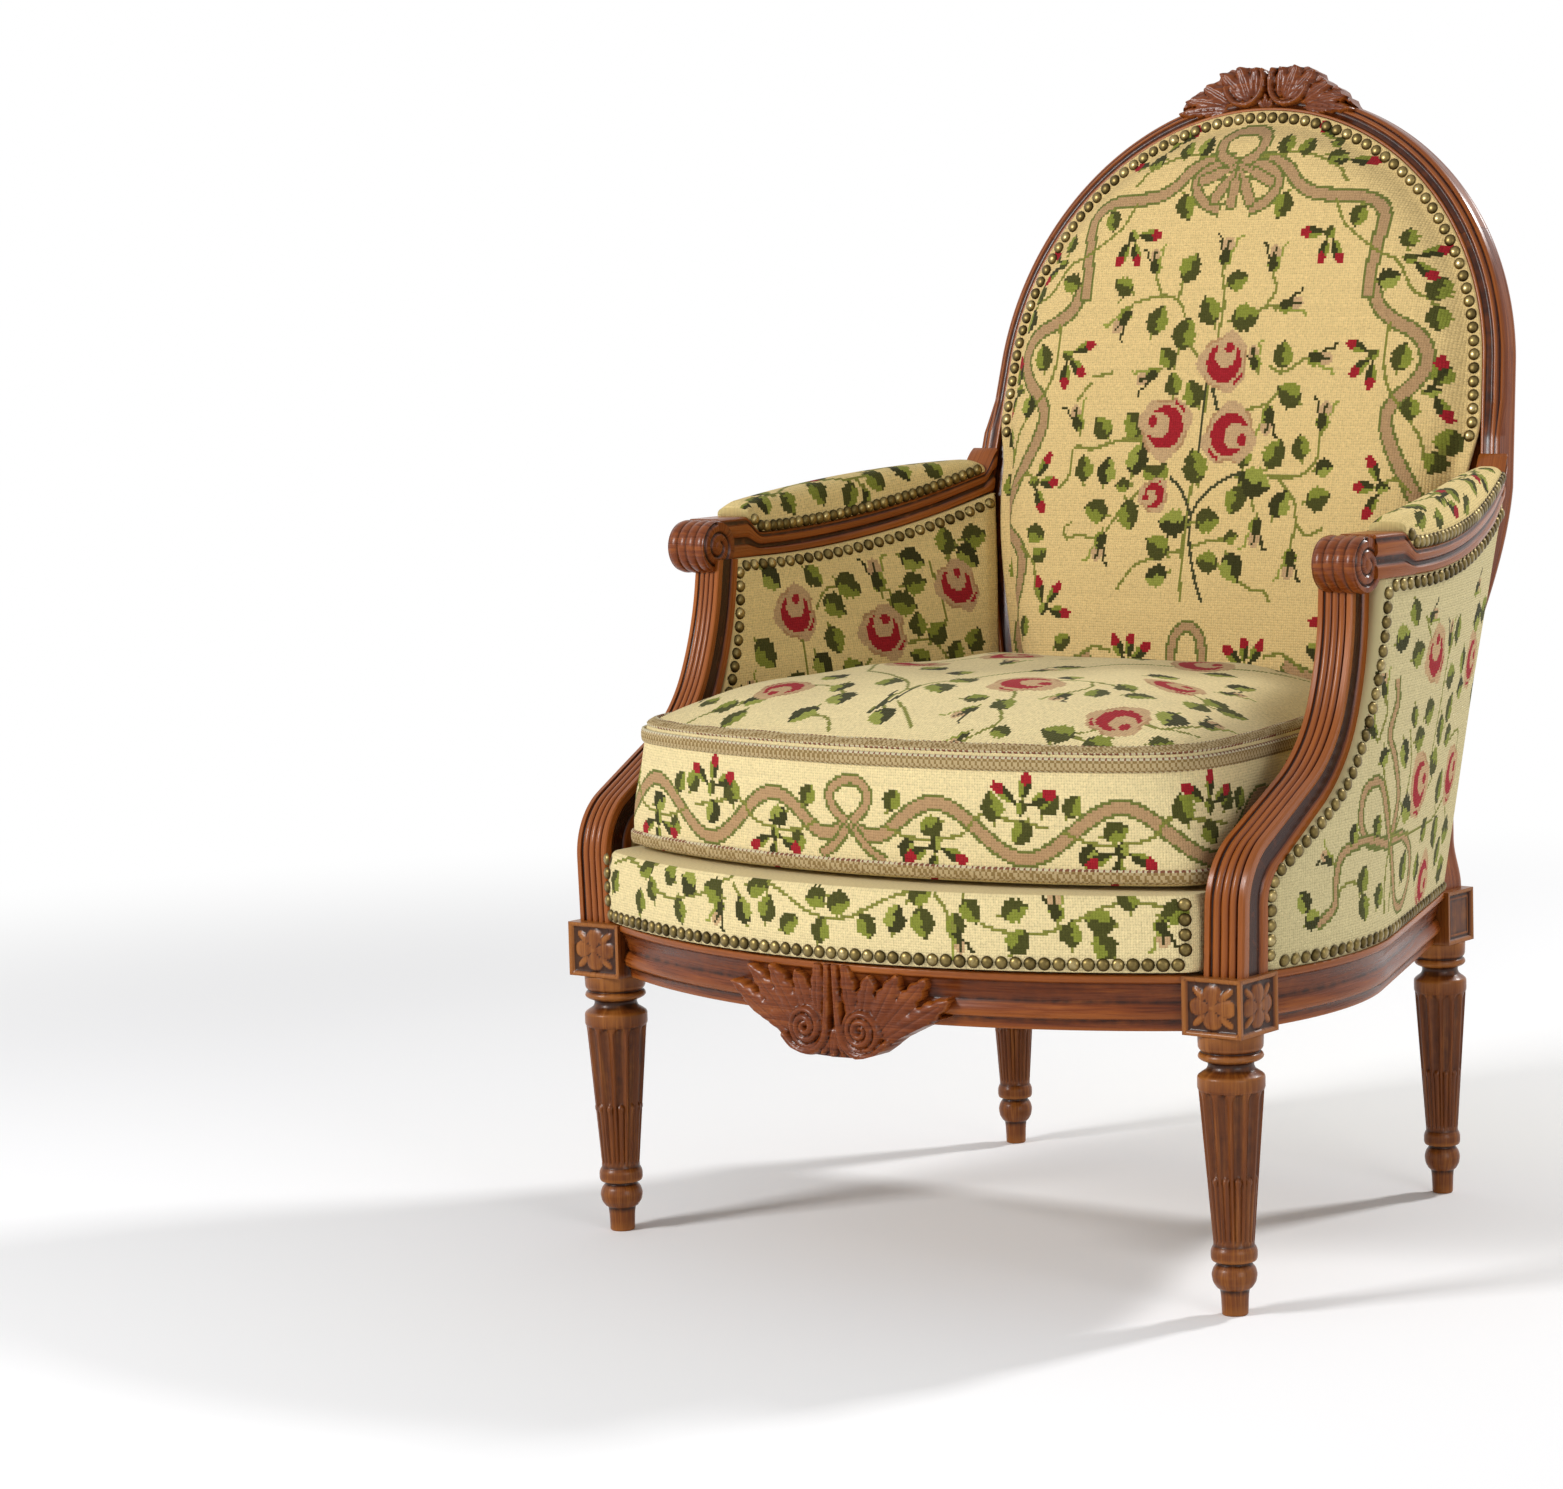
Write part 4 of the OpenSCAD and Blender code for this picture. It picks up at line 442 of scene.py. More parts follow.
def plain_steel(name):
    """Steel wood screws, dulled."""
    made, tree = new_finish(name)
    place = add(tree, "TexCoord").outputs["Object"]
    spots = add(tree, "TexNoise", {"Vector": place, "Scale": 300.0, "Detail": 3.0})
    tone = add(tree, "ValToRGB", {"Fac": spots.outputs["Fac"]}, stops=[(0.35, "#6d6a64"), (0.65, "#a29f98")])
    return surfaced(made, {"Base Color": tone, "Roughness": 0.42, "Metallic": 1.0})


# The fourth colour of each wood is the painted shade and old polish in its grooves
frame_wood = waxed_wood("stained_beech_waxed", "#451908", "#733610", "#a35c22", "#1a0803", rough=0.28, coat=0.08)
leg_wood = waxed_wood("stained_beech_legs", "#47200e", "#713c14", "#a0642a", "#200c06", rough=0.32, coat=0.06)
rail_wood = waxed_wood("stained_beech_plain", "#451908", "#6a3210", "#8c4e20", "#1a0803", on_lay=False, coat=0.06)
block_wood = waxed_wood("plain_beech", "#8d6a40", "#b28d5c", "#c9a878", "#5a4022", on_lay=False, rough=0.6, coat=0.0)
wool = needlepoint("wool_needlepoint")
gimp_finish = needlepoint("silk_gimp")
brass = antique_brass("antique_brass")
jute = woven_jute("woven_jute")
steel = plain_steel("dull_steel")

# Legs

leg_outline_shares = [
    (0, 0), (0.39, 0), (0.41, 0.064), (0.437, 0.091), (0.53, 0.098), (0.64, 0.118), (0.68, 0.145),
    (0.627, 0.168), (0.513, 0.184), (0.513, 0.191), (0.654, 0.193), (0.692, 0.205), (0.692, 0.23),
    (0.646, 0.243), (0.60, 0.25), (0.965, 0.80), (1, 0.809), (1, 0.85), (0.91, 0.859),
    (0.72, 0.873), (0.67, 0.889), (0.70, 0.90), (0.89, 0.907), (0.985, 0.918), (0.93, 0.932),
    (0.856, 0.936), (0.96, 0.95), (0.977, 1)]


shaft_foot, flute_top, cable_top = 0.262, 0.775, 0.48


def turned_leg(r):
    """Radius by height along a turned outline. Round the shaft it dips in flutes with round tops, depth sqrt(1 -
    (across / half width)^2), and below 0.48 of the height a round rod lies in each flute."""
    path = np.array(leg_outline_shares) * [r, leg_h]
    fine = soften(np.vstack([path, [(0, leg_h)]]), 1.6, 4)[2:-2]
    dense = np.linspace(shaft_foot, 0.80, 74) * leg_h
    keep = fine[(fine[:, 1] < 0.25 * leg_h) | (fine[:, 1] > 0.801 * leg_h)]
    shaft = np.stack([np.interp(dense, path[14:16, 1], path[14:16, 0]), dense], 1)
    low = keep[keep[:, 1] <= 0.25 * leg_h]
    high = keep[keep[:, 1] > 0.8 * leg_h]
    line = np.vstack([low, shaft, high])
    turns = flute_count * 14
    theta = np.arange(turns) / turns * 2 * np.pi
    phase = ((theta * flute_count / (2 * np.pi)) % 1) - 0.5
    radius, z = line[:, 0][:, None], line[:, 1][:, None]
    pitch = 2 * np.pi * radius / flute_count
    across = np.abs(phase)[None] * pitch
    top, cable = flute_top * leg_h, cable_top * leg_h
    half = 0.385 * pitch
    round_top = np.sqrt(np.clip(1 - np.clip((z - top) / half, 0, 1) ** 2, 0, 1)) * (z < top + half)
    end = round_top * clamp01((z - shaft_foot * leg_h) / 1.5)
    inside = np.clip(1 - (across / np.maximum(half * end, 1e-3)) ** 2, 0, 1) ** 0.5 * (end > 0.02)
    depth = 0.62 * half
    dip = depth * inside
    rod = np.clip(1 - (across / (0.62 * half)) ** 2, 0, 1) ** 0.5
    rod_end = clamp01((cable + 2 - z) / 2.5) ** 0.5
    bead = np.clip(1 - (across / (0.75 * half)) ** 2 - ((z - cable) / (1.1 * half)) ** 2, 0, 1) ** 0.5
    fill = np.maximum(rod * rod_end * 0.82, bead * 1.15) * depth * (inside > 0)
    moved = radius - dip + fill
    grid = np.stack([moved * np.cos(theta), moved * np.sin(theta), np.broadcast_to(z, moved.shape)], 2)
    ring_hollow = hollows(np.vstack([line, [[0, line[-1, 1]], [0, 0]]]), 3)[:len(line)]
    ring_hollow[(line[:, 1] > 0.27 * leg_h) & (line[:, 1] < 0.79 * leg_h)] = 0
    # Painted shade: the flutes and the coves of the turning are darkened, and the lands between flutes lightened as
    # wear
    shade = np.clip(ring_hollow[:, None] * 0.9 + 0.4 * (dip - fill) / depth - 0.25 * (dip <= 0) * (end > 0.02), -1, 1)
    return tube(grid, shade)


def panel_relief(a, b, carved):
    """Height over a block's face at shares a and b of its half width: a border, a cove down to a sunk ground, and on
    the front blocks a flower of four broad petals and four narrow ones round a button."""
    edge = np.maximum(np.abs(a), np.abs(b))
    ground = -2.6 * ease((0.9 - edge) / 0.1)
    if not carved:
        return ground + 0.7 * np.exp(-((edge - 0.70) / 0.035) ** 2)
    r, phi = np.hypot(a, b), np.arctan2(b, a)
    broad = np.abs(np.cos(2 * phi)) ** 0.7
    reach = 0.38 + 0.42 * broad
    petal = np.clip(1 - (r / reach) ** 3, 0, 1) ** 0.5 * 2.6
    vein = 1.5 * np.exp(-(np.minimum(np.abs(((phi * 4 / np.pi) % 2) - 1), 1) / 0.16) ** 2) * clamp01((r - 0.12) / 0.2)
    from_corner = phi % (np.pi / 2) - np.pi / 4
    slim = np.clip(1 - ((r - 0.52) / 0.42) ** 2 - (from_corner * r / 0.15) ** 2, 0, 1) ** 0.5 * 2.2
    button = np.clip(1 - (r / 0.18) ** 2, 0, 1) ** 0.5 * 3.2
    flower = np.maximum(np.maximum(petal - vein, slim), button)
    return ground + flower * clamp01((0.84 - edge) / 0.05)


def leg_block(size, carved_faces, sunk_faces):
    """A square block with rounded arrises: rings of four faces, each face a grid whose points move along its normal
    by panel_relief."""
    s = np.linspace(-1, 1, 34)
    a, b = np.meshgrid(s[:-1], s)
    cells, shades = [], []
    for k, turn in enumerate((0, 90, 180, 270)):
        cut = k in carved_faces or k in sunk_faces
        h = panel_relief(a, b, k in carved_faces) if cut else np.zeros_like(a)
        x, y = size / 2 + h, a * (size / 2)
        cells.append(np.stack([x * cosd(turn) - y * sind(turn), x * sind(turn) + y * cosd(turn),
                               leg_h + (b + 1) / 2 * block_h], 2))
        # Painted shade: points below their blurred surroundings and the sunk ground are darkened; the border's rim is
        # lightened as wear
        blurred = h.copy()
        for _ in range(3):
            blurred = (np.roll(blurred, 1, 0) + np.roll(blurred, -1, 0) + np.roll(blurred, 1, 1)
                       + np.roll(blurred, -1, 1)) / 4
        rim = np.maximum(np.abs(a), np.abs(b)) > 0.93
        shades.append(np.clip((blurred - h) * 2.4 + 0.4 * (h < -1.6) - 0.5 * rim, -1, 1))
    return tube(np.concatenate(cells, 1), np.concatenate(shades, 1))


for end, r, block, at in (("front", leg_r, leg_block(front_block, (0, 3), ()), [front_spacing / 2, 0, 0]),
                          ("back", leg_r * back_leg_scale, leg_block(back_block, (), (0,)),
                           [back_spacing / 2, leg_depth, 0])):
    leg = joined(turned_leg(r), block)
    both(f"{end}_leg_turned", (leg[0] + at,) + leg[1:], leg_wood, "leg_wood", [f"{end}_leg"], sharp=50)

# Seat rails

rail_section = soften([(0, 45), (0, 40), (3, 38), (7, 30), (8, 23), (5, 18), (4, 14), (5, 10.5), (8, 9), (9.5, 6),
                       (10, 0), (32, 0), (32, 45)], 1.4, 4)
rail_hollow = hollows(rail_section)


def bowed_rail(centre, radius, start, end, count):
    """The rail's section carried round an arc, start to end in degrees about the centre."""
    a = np.linspace(start, end, count)[:, None]
    r = radius - rail_section[:, 0][None]
    return np.stack([centre[0] + r * cosd(a), centre[1] + r * sind(a),
                     np.broadcast_to(rail_base + rail_section[:, 1], (count, len(rail_section)))], 2)


front_half = front_spacing / 2 - front_block / 2
front_angle = math.degrees(math.asin(front_half / (bow_r - 5)))
front_rail = tube(bowed_rail((0, bow_y), bow_r, -90 - front_angle, -90 + front_angle, 160), rail_hollow)
start_angle = math.degrees(math.asin((side_y0 - side_center[1]) / (side_r - 4)))
side_bow = bowed_rail(side_center, side_r, start_angle, side_turn, 50)
direction = np.array([-sind(side_turn), cosd(side_turn), 0])
straight_run = np.hypot(side_x1 - side_join[0], side_y1 - side_join[1])
side_straight = side_bow[-1][None] + direction * np.linspace(0, straight_run + 2, 24)[1:, None, None]
side_rail = tube(np.concatenate([side_bow, side_straight]), rail_hollow)
both("side_rail_moulded", side_rail, frame_wood, "show_wood", ["side_rail"])

# Arm supports

support_rise, knee_r, knee_turn, thigh_l, hip_r, hip_turn = 53.0, 60.0, 61.0, 74.0, 115.0, 37.0
neck_r, neck_turn, support_plumb, support_bow, support_foot_y = 250.0, 18.0, 36.0, 4.0, -18.0


def support_path(t):
    """Front outer edge of a support: a rise, an arc backwards, a run, two arcs upwards and a short run; returns y, z
    and the heading above the level."""
    knee_l, hip_l, neck_l = (
        r * math.radians(a) for r, a in ((knee_r, knee_turn), (hip_r, hip_turn), (neck_r, neck_turn)))
    a0 = 90 - knee_turn
    a1 = a0 + hip_turn
    a2 = a1 + neck_turn
    d = t * (support_rise + knee_l + thigh_l + hip_l + neck_l + support_plumb)
    d1 = d - support_rise
    d2 = d1 - knee_l
    d3 = d2 - thigh_l
    d4 = d3 - hip_l
    d5 = d4 - neck_l
    h1 = 90 - knee_turn * clamp01(d1 / knee_l)
    h2 = a0 + hip_turn * clamp01(d3 / hip_l)
    h3 = a1 + neck_turn * clamp01(d4 / neck_l)
    y = (support_foot_y + knee_r * (1 - sind(h1)) + clamp01(d2 / thigh_l) * thigh_l * cosd(a0)
         + hip_r * (sind(h2) - sind(a0)) + neck_r * (sind(h3) - sind(a1)) + np.maximum(0, d5) * cosd(a2))
    z = (rail_top + np.minimum(d, support_rise) + knee_r * cosd(h1) + clamp01(d2 / thigh_l) * thigh_l * sind(a0)
         + hip_r * (cosd(a0) - cosd(h2)) + neck_r * (cosd(a1) - cosd(h3)) + np.maximum(0, d5) * sind(a2))
    return y, z, np.where(d2 < 0, h1, np.where(d4 < 0, h2, h3))


def support_back(z):
    """Where the back face of a support lies at a height."""
    t = np.linspace(0, 1, 400)
    y, zz, h = support_path(t)
    d = lerp(support_d, support_top_d, ease(t * 1.6))
    by, bz = y + d * sind(h), zz - d * cosd(h)
    order = np.maximum.accumulate(bz)
    return np.where(z > bz[-1], by[-1], np.maximum(np.interp(z, order, by), support_foot_y + support_d))


def support_section():
    """Across a support: shares of its width and depth. The front has three reeds between two fillets, and both sides
    have a sunk channel."""
    s = np.linspace(0.2, 0.8, 37)
    front = np.stack([s, 0.075 - 0.075 * np.abs(np.sin(np.pi * (s - 0.2) / 0.2)) ** 0.55], 1)
    front = np.vstack([[(0.0, 0.035), (0.035, 0.0), (0.15, 0.0), (0.165, 0.06)], front,
                       [(0.835, 0.06), (0.85, 0.0), (0.965, 0.0), (1.0, 0.035)]])
    inner = [(1, 0.22), (0.985, 0.25), (0.93, 0.28), (0.93, 0.7), (0.985, 0.74), (1, 0.78), (1, 0.98), (0.98, 1)]
    outer = [(0.02, 1), (0, 0.98), (0, 0.78), (0.015, 0.74), (0.07, 0.7), (0.07, 0.28), (0.015, 0.25), (0, 0.22)]
    return np.vstack([front, inner, outer])


support_shape = support_section()
support_hollow = hollows(support_shape * [30, 30], 2.2)
t_support = np.linspace(0, 1, 130)
sup_y, sup_z, sup_h = support_path(t_support)
keep = sup_z < arm_under_z + 4
t_support, sup_y, sup_z, sup_h = t_support[keep], sup_y[keep], sup_z[keep], sup_h[keep]
wide = lerp(support_w, support_top_w, ease(t_support))[:, None]
deep = lerp(support_d, support_top_d, ease(t_support * 1.6))[:, None]
out = (support_out + support_bow * sind(180 * t_support))[:, None]
plan_turn = lerp(5.5, 10.5, t_support)[:, None]
q_in, q_back = support_shape[:, 0][None] * wide, support_shape[:, 1][None] * deep
heading = sup_h[:, None] - 90
support_rings = np.stack([out - q_in, sup_y[:, None] + q_back * cosd(heading)
                          - (q_in - 0.5 * wide) * np.tan(np.radians(plan_turn)) * 0.8,
                          sup_z[:, None] + q_back * sind(heading)], 2)
support_rings[0, :, 2] = rail_top
support_rings[:, :, 2] = np.clip(support_rings[:, :, 2], rail_top, arm_under_z + 1)
both("arm_support_reeded", tube(support_rings, support_hollow), frame_wood, "show_wood", ["arm_support"])

# Arms

arm_end_y = plane_y(arm_under_z + arm_climb + arm_h * 1.3)
pad_y0, pad_y1 = scroll_y + 52, arm_end_y - 12


def arm_t(y):
    return clamp01((y - scroll_y) / (arm_end_y - scroll_y))


def arm_out(y):
    return lerp(scroll_out, arm_out_back, arm_t(y)) + arm_swell * sind(180 * arm_t(y) ** 0.8)


def arm_width(y):
    return arm_w - 6 * ease((arm_t(y) - 0.6) / 0.4)


def arm_under(y):
    return arm_under_z + arm_climb * clamp01((y - scroll_y - 77) / (arm_end_y - scroll_y - 77)) ** 1.9


def arm_top(y):
    """Top of the arm's wood: level behind the scroll, a hollow fall under the pad, and a sweep up to the stile."""
    under = arm_under(y) + arm_h * (1 + 0.9 * ease((y - pad_y1 - gap) / (arm_end_y - pad_y1)))
    return under + (scroll_z + scroll_r - under) * (1 - ease((y - pad_y0 + 3) / 25)) ** 1.3


arm_section = np.array([
    (0.03, 0), (0, 0.05), (0, 0.22), (0.012, 0.27), (0.075, 0.33), (0.09, 0.4), (0.075, 0.48), (0.012, 0.55),
    (0, 0.6), (0, 0.78), (0.03, 0.83),
    (0.045, 0.9), (0.03, 0.96), (0.07, 1), (0.93, 1), (0.97, 0.96), (0.955, 0.9), (0.97, 0.83), (1, 0.78), (1, 0.6),
    (0.988, 0.55),
    (0.925, 0.48), (0.91, 0.4), (0.925, 0.33), (0.988, 0.27), (1, 0.22), (1, 0.05), (0.97, 0)])
arm_hollow = hollows(arm_section * [36, 24], 1.6)


def arm_rings(y):
    y = np.asarray(y)[:, None]
    w, h = arm_width(y), arm_top(y) - arm_under(y)
    z = arm_under(y) + arm_section[:, 1] * h
    x = arm_out(y) - arm_section[:, 0] * w
    pulled = y + (plane_y(z) - arm_end_y) * clamp01((y - arm_end_y) / (3 * arm_h) + 1)
    return np.stack([x, pulled, z], 2)


ys = np.concatenate([np.linspace(scroll_y + scroll_r * 0.45, pad_y0 - 5, 14),
                     np.linspace(pad_y0 - 4, pad_y0 + 23, 28), np.linspace(pad_y0 + 25, pad_y1 + gap, 70),
                     np.linspace(pad_y1 + gap, arm_end_y, 12)[1:]])


def scroll_drum():
    """A drum along X. Round it run four reeds: radius r - depth (1 - |sin|^0.6). Each end is a face whose height
    falls in a groove along the spiral r = 0.94 r0 (1 - 0.40 turns), with a button at the eye."""
    around, face_r, rim_r, reed_cut = 144, scroll_r - 1.4, scroll_r - 0.1, 1.9
    theta = np.arange(around) / around * 2 * np.pi
    turns = ((theta - 0.5 * np.pi) / (2 * np.pi)) % 1
    ring = lambda x, r: np.stack([np.broadcast_to(x, around), r * np.cos(theta), r * np.sin(theta)], 1)
    grooves, heights, shares = [], [], np.linspace(0.06, 1, 30)
    for f in shares:
        r = f * face_r
        groove = np.zeros(around)
        for k in range(3):
            spiral = face_r * (1 - 0.40 * (turns + k)) * 0.94
            groove = np.maximum(groove, np.exp(-((r - spiral) / 1.25) ** 2) * (spiral > 4.5))
        button = 1.5 * np.clip(1 - (r / 4.8) ** 2, 0, 1) ** 0.5
        heights.append(0.9 * (1 - f ** 4) - 2.4 * groove + button)
        # Painted shade: the spiral groove is darkened; the button and the face away from the groove are lightened as
        # wear
        grooves.append(groove - 0.35 * (button > 0.5) - 0.2 * (groove < 0.1))
    s = np.linspace(0.03, 0.97, 66)
    radius = rim_r - reed_cut * (1 - np.abs(np.sin(4 * np.pi * (s - 0.03) / 0.94)) ** 0.6)
    radius[[0, -1]] = scroll_r - 1.2
    near = [ring(scroll_w * 0.015 - h * 0.8, f * face_r) for f, h in zip(shares, heights)]
    far = [ring(scroll_w * 0.985 + h * 0.8, f * face_r) for f, h in zip(shares, heights)]
    reeds = [ring(scroll_w * k, r) for k, r in zip(s, radius)]
    # Painted shade: the reed cuts are darkened by their depth, and the reed crests lightened as wear
    cut = [np.full(around, min(1.0, (rim_r - r) / reed_cut) - 0.25) for r in radius]
    grid = np.array(near + reeds + far[::-1]) + [scroll_out - scroll_w, scroll_y, scroll_z]
    return tube(grid, np.clip(np.array(grooves + cut + grooves[::-1]), -1, 1))


both("arm_rest_carved", joined(tube(arm_rings(ys), arm_hollow), scroll_drum()), frame_wood, "show_wood", ["arm_rest"],
     sharp=45)

# Back frame

back_section = soften([(0, 0), (2.5, 0), (3, 2.5), (6.5, 5), (9, 4.5), (10, 3.2), (12, 3.8), (13, 6), (13.6, 7.5),
                       (15, 6.6), (17.2, 8.4), (17.8, 11),
                       (18.2, 13), (18.5, 22), (19.0, 24), (18.5, frame_d), (-rebate_w, frame_d), (-rebate_w, 6),
                       (0, 6)], 0.8, 3)
back_hollow = hollows(back_section, 1.6)
moulded = 12.5


def frame_rings(edge_x, edge_z, turn, depth, leaning, y, cut_in):
    """The back frame's section at each place of its inner edge: outwards along turn in the leaning plane, and
    backwards. Moulding depths, all within the first 12.5 mm, scale with cut_in, so that it runs out plain at the
    arms."""
    edge_x, edge_z, turn, depth, leaning, y, cut_in = (
        np.asarray(v, float)[:, None] for v in (edge_x, edge_z, turn, depth, leaning, y, cut_in))
    a, b = back_section.T[:, None]
    b = np.where(b < moulded, b * np.where(a > 0.5, cut_in, 1),
                 moulded + (b - moulded) * (depth - moulded) / (frame_d - moulded))
    return np.stack([edge_x + a * cosd(turn), y + a * sind(turn) * sind(leaning) + b * cosd(leaning),
                     edge_z + a * sind(turn) * cosd(leaning) - b * sind(leaning)], 2)


def arch_rings(turn):
    z = arch_z + arch_r * sind(turn) * cosd(lean)
    n = len(turn)
    return frame_rings(arch_r * cosd(turn), z, turn, np.full(n, frame_d), np.full(n, lean), plane_y(z), np.ones(n))


zs = np.concatenate([np.linspace(rail_top, bend_z, 60), np.linspace(bend_z, join_z, 80)[1:]])
turns = join_angle * clamp01((zs - flare_z) / (join_z - flare_z))
stile = frame_rings(lip_x(zs), zs, turns, stile_d(zs), stile_lean(zs), stile_y(zs),
                    lerp(0.15, 1, clamp01((zs - plain_z0) / 30)))
stile = np.concatenate([stile, arch_rings(np.linspace(join_angle, splice_angle, 40)[1:])])
both("back_stile_moulded", tube(stile, back_hollow), frame_wood, "show_wood", ["back_stile"])
crest = tube(arch_rings(np.linspace(splice_angle + 0.05, 180 - splice_angle - 0.05, 170)), back_hollow)
piece("crest_rail_moulded", crest, frame_wood, slot="show_wood", stands_for=["crest_rail"])
piece("front_rail_moulded", front_rail, frame_wood, slot="show_wood", stands_for=["front_rail"])

# Upholstery

threads = {name: hex_colour(text)[:3] for name, text in {
    "leaf_light": "#878d38", "leaf_mid": "#979b45", "leaf_dark": "#4e4e24", "leaf_deep": "#3f3e1f", "stem": "#85853c",
    "dark_stem": "#45462a", "red": "#a3242c", "petal": "#c9a67a", "petal_edge": "#b68f64", "ribbon": "#b8946a",
    "ribbon_edge": "#727739"}.items()}
ground_back, ground_cushion, ground_side, ground_outer = "#e8ca8b", "#ecd8a2", "#f0d694", "#d6c795"


def stuffed(name, shape, dyes, stands_for, slot="needlepoint", body="chair"):
    """A piece in wool."""
    made = piece(name, shape, wool, body=body, slot=slot, stands_for=[stands_for], dye=dyes, sharp=180)


def stuffed_pair(name, shape, dyes, stands_for):
    """The stuffed piece on the right and its mirror on the left."""
    for side, made in (("right", shape), ("left", other_side(shape))):
        stuffed(f"{name}_{side}", made, dyes, f"{stands_for}_{side}", "needlepoint_pale")


class Canvas:
    """A squared canvas over a field of millimetres, one dye for each square."""

    def __init__(self, left, right, bottom, top, ground, size=stitch):
        self.size = size
        self.cols, self.rows = int(round((right - left) / size)), int(round((top - bottom) / size))
        self.left, self.bottom = left, bottom
        self.a = left + (np.arange(self.cols) + 0.5) * size
        self.b = bottom + (np.arange(self.rows) + 0.5) * size
        self.dye = np.tile(np.array(hex_colour(ground)[:3]), (self.rows, self.cols, 1))

    def worked(self):
        """The dyes with the small unevenness of hand-dyed wool: each stitch a little off, and slow bands."""
        shade = 1 + chance.normal(0, 0.035, (self.rows, self.cols, 1)) + chance.normal(0, 0.012, (self.rows, 1, 1))
        return np.clip(self.dye * shade, 0, 1)

    def field(self, x, y, reach):
        """The squares within reach of a place, and how far their middles lie from it."""
        cols = slice(max(0, int((x - reach - self.left) / self.size)),
                     max(0, int((x + reach - self.left) / self.size) + 2))
        rows = slice(max(0, int((y - reach - self.bottom) / self.size)),
                     max(0, int((y + reach - self.bottom) / self.size) + 2))
        a, b = np.meshgrid(self.a[cols] - x, self.b[rows] - y)
        return (rows, cols), a, b

    def stroke(self, points, width, colour, edge=None):
        """A line of stitches along a smooth curve; with an edge colour it is a ribbon, cut square at its ends."""
        line = smooth_line(points)
        middle, reach = (line.max(0) + line.min(0)) / 2, np.ptp(line, axis=0).max() / 2 + width
        spot, a, b = self.field(middle[0], middle[1], reach)
        if not a.size:
            return
        here = np.stack([a.ravel() + middle[0], b.ravel() + middle[1]], 1)
        gaps = ((here[:, None] - line[None]) ** 2).sum(2)
        k = gaps.argmin(1)
        d = np.sqrt(gaps[np.arange(len(k)), k])
        if edge is not None:
            last = len(line) - 1
            before = (k == 0) & ((here - line[0]) @ (line[1] - line[0]) < 0)
            beyond = (k == last) & ((here - line[-1]) @ (line[-1] - line[-2]) > 0)
            d = np.where(before | beyond, 1e3, d)
            rim = (k < 2) | (k > last - 2) | (d > width / 2 - 1.6)
            self.dye[spot][(d < width / 2 + 0.9).reshape(a.shape)] = threads[edge]
            self.dye[spot][((d < width / 2) & ~rim).reshape(a.shape)] = threads[colour]
        else:
            self.dye[spot][(d < width / 2).reshape(a.shape)] = threads[colour]

    def leaf(self, x, y, length, angle, flip=False, plump=0.41):
        """A rose leaf: half width is plump sin(pi t^0.8)^0.8 with a toothed edge, one side of the rib dark."""
        spot, a, b = self.field(x, y, length * 0.75)
        u, v = a * cosd(angle) + b * sind(angle), b * cosd(angle) - a * sind(angle)
        t = u / length + 0.5
        ok = (t > 0) & (t < 1)
        half = plump * length * np.sin(np.pi * clamp01(t) ** 0.8) ** 0.8 * (1 + 0.09 * np.sin(t * 26))
        inside = ok & (np.abs(v) < half)
        shade = (v * (-1 if flip else 1) > 0.05 * length * np.sin(t * 17) - 0.02 * length) | (t < 0.16)
        light, dark = ("leaf_light", "leaf_dark") if (int(x * 7 + y * 3) % 5) else ("leaf_mid", "leaf_deep")
        self.dye[spot][inside] = threads[light]
        self.dye[spot][inside & shade] = threads[dark]
        self.dye[spot][(t > -0.16) & (t <= 0.02) & (np.abs(v) < 1.4)] = threads["stem"]

    def red_bud(self, x, y, angle, length=31):
        """A closed bud on its stalk, from its foot at x, y: a slim green body whose last third shows red."""
        spot, a, b = self.field(x, y, length * 1.1)
        u, v = a * cosd(angle) + b * sind(angle), b * cosd(angle) - a * sind(angle)
        t = u / length
        half = np.where(t < 0.3, 1.3, 1.4 + 3.7 * np.sin(np.pi * clamp01((t - 0.25) / 0.78)) ** 0.7)
        inside = (t > 0) & (t < 1) & (np.abs(v) < half)
        self.dye[spot][inside] = threads["leaf_deep"]
        self.dye[spot][inside & (v > 0.8) & (t > 0.3)] = threads["leaf_light"]
        self.dye[spot][inside & (t > 0.63 + 0.02 * np.abs(v))] = threads["red"]

    def sprig(self, x, y, angles, length=31):
        for k, angle in enumerate(angles):
            self.red_bud(x, y, angle, length * (1 - 0.08 * (k % 2)))
        self.leaf(x, y, 13, sum(angles) / len(angles) + 180, plump=0.4)

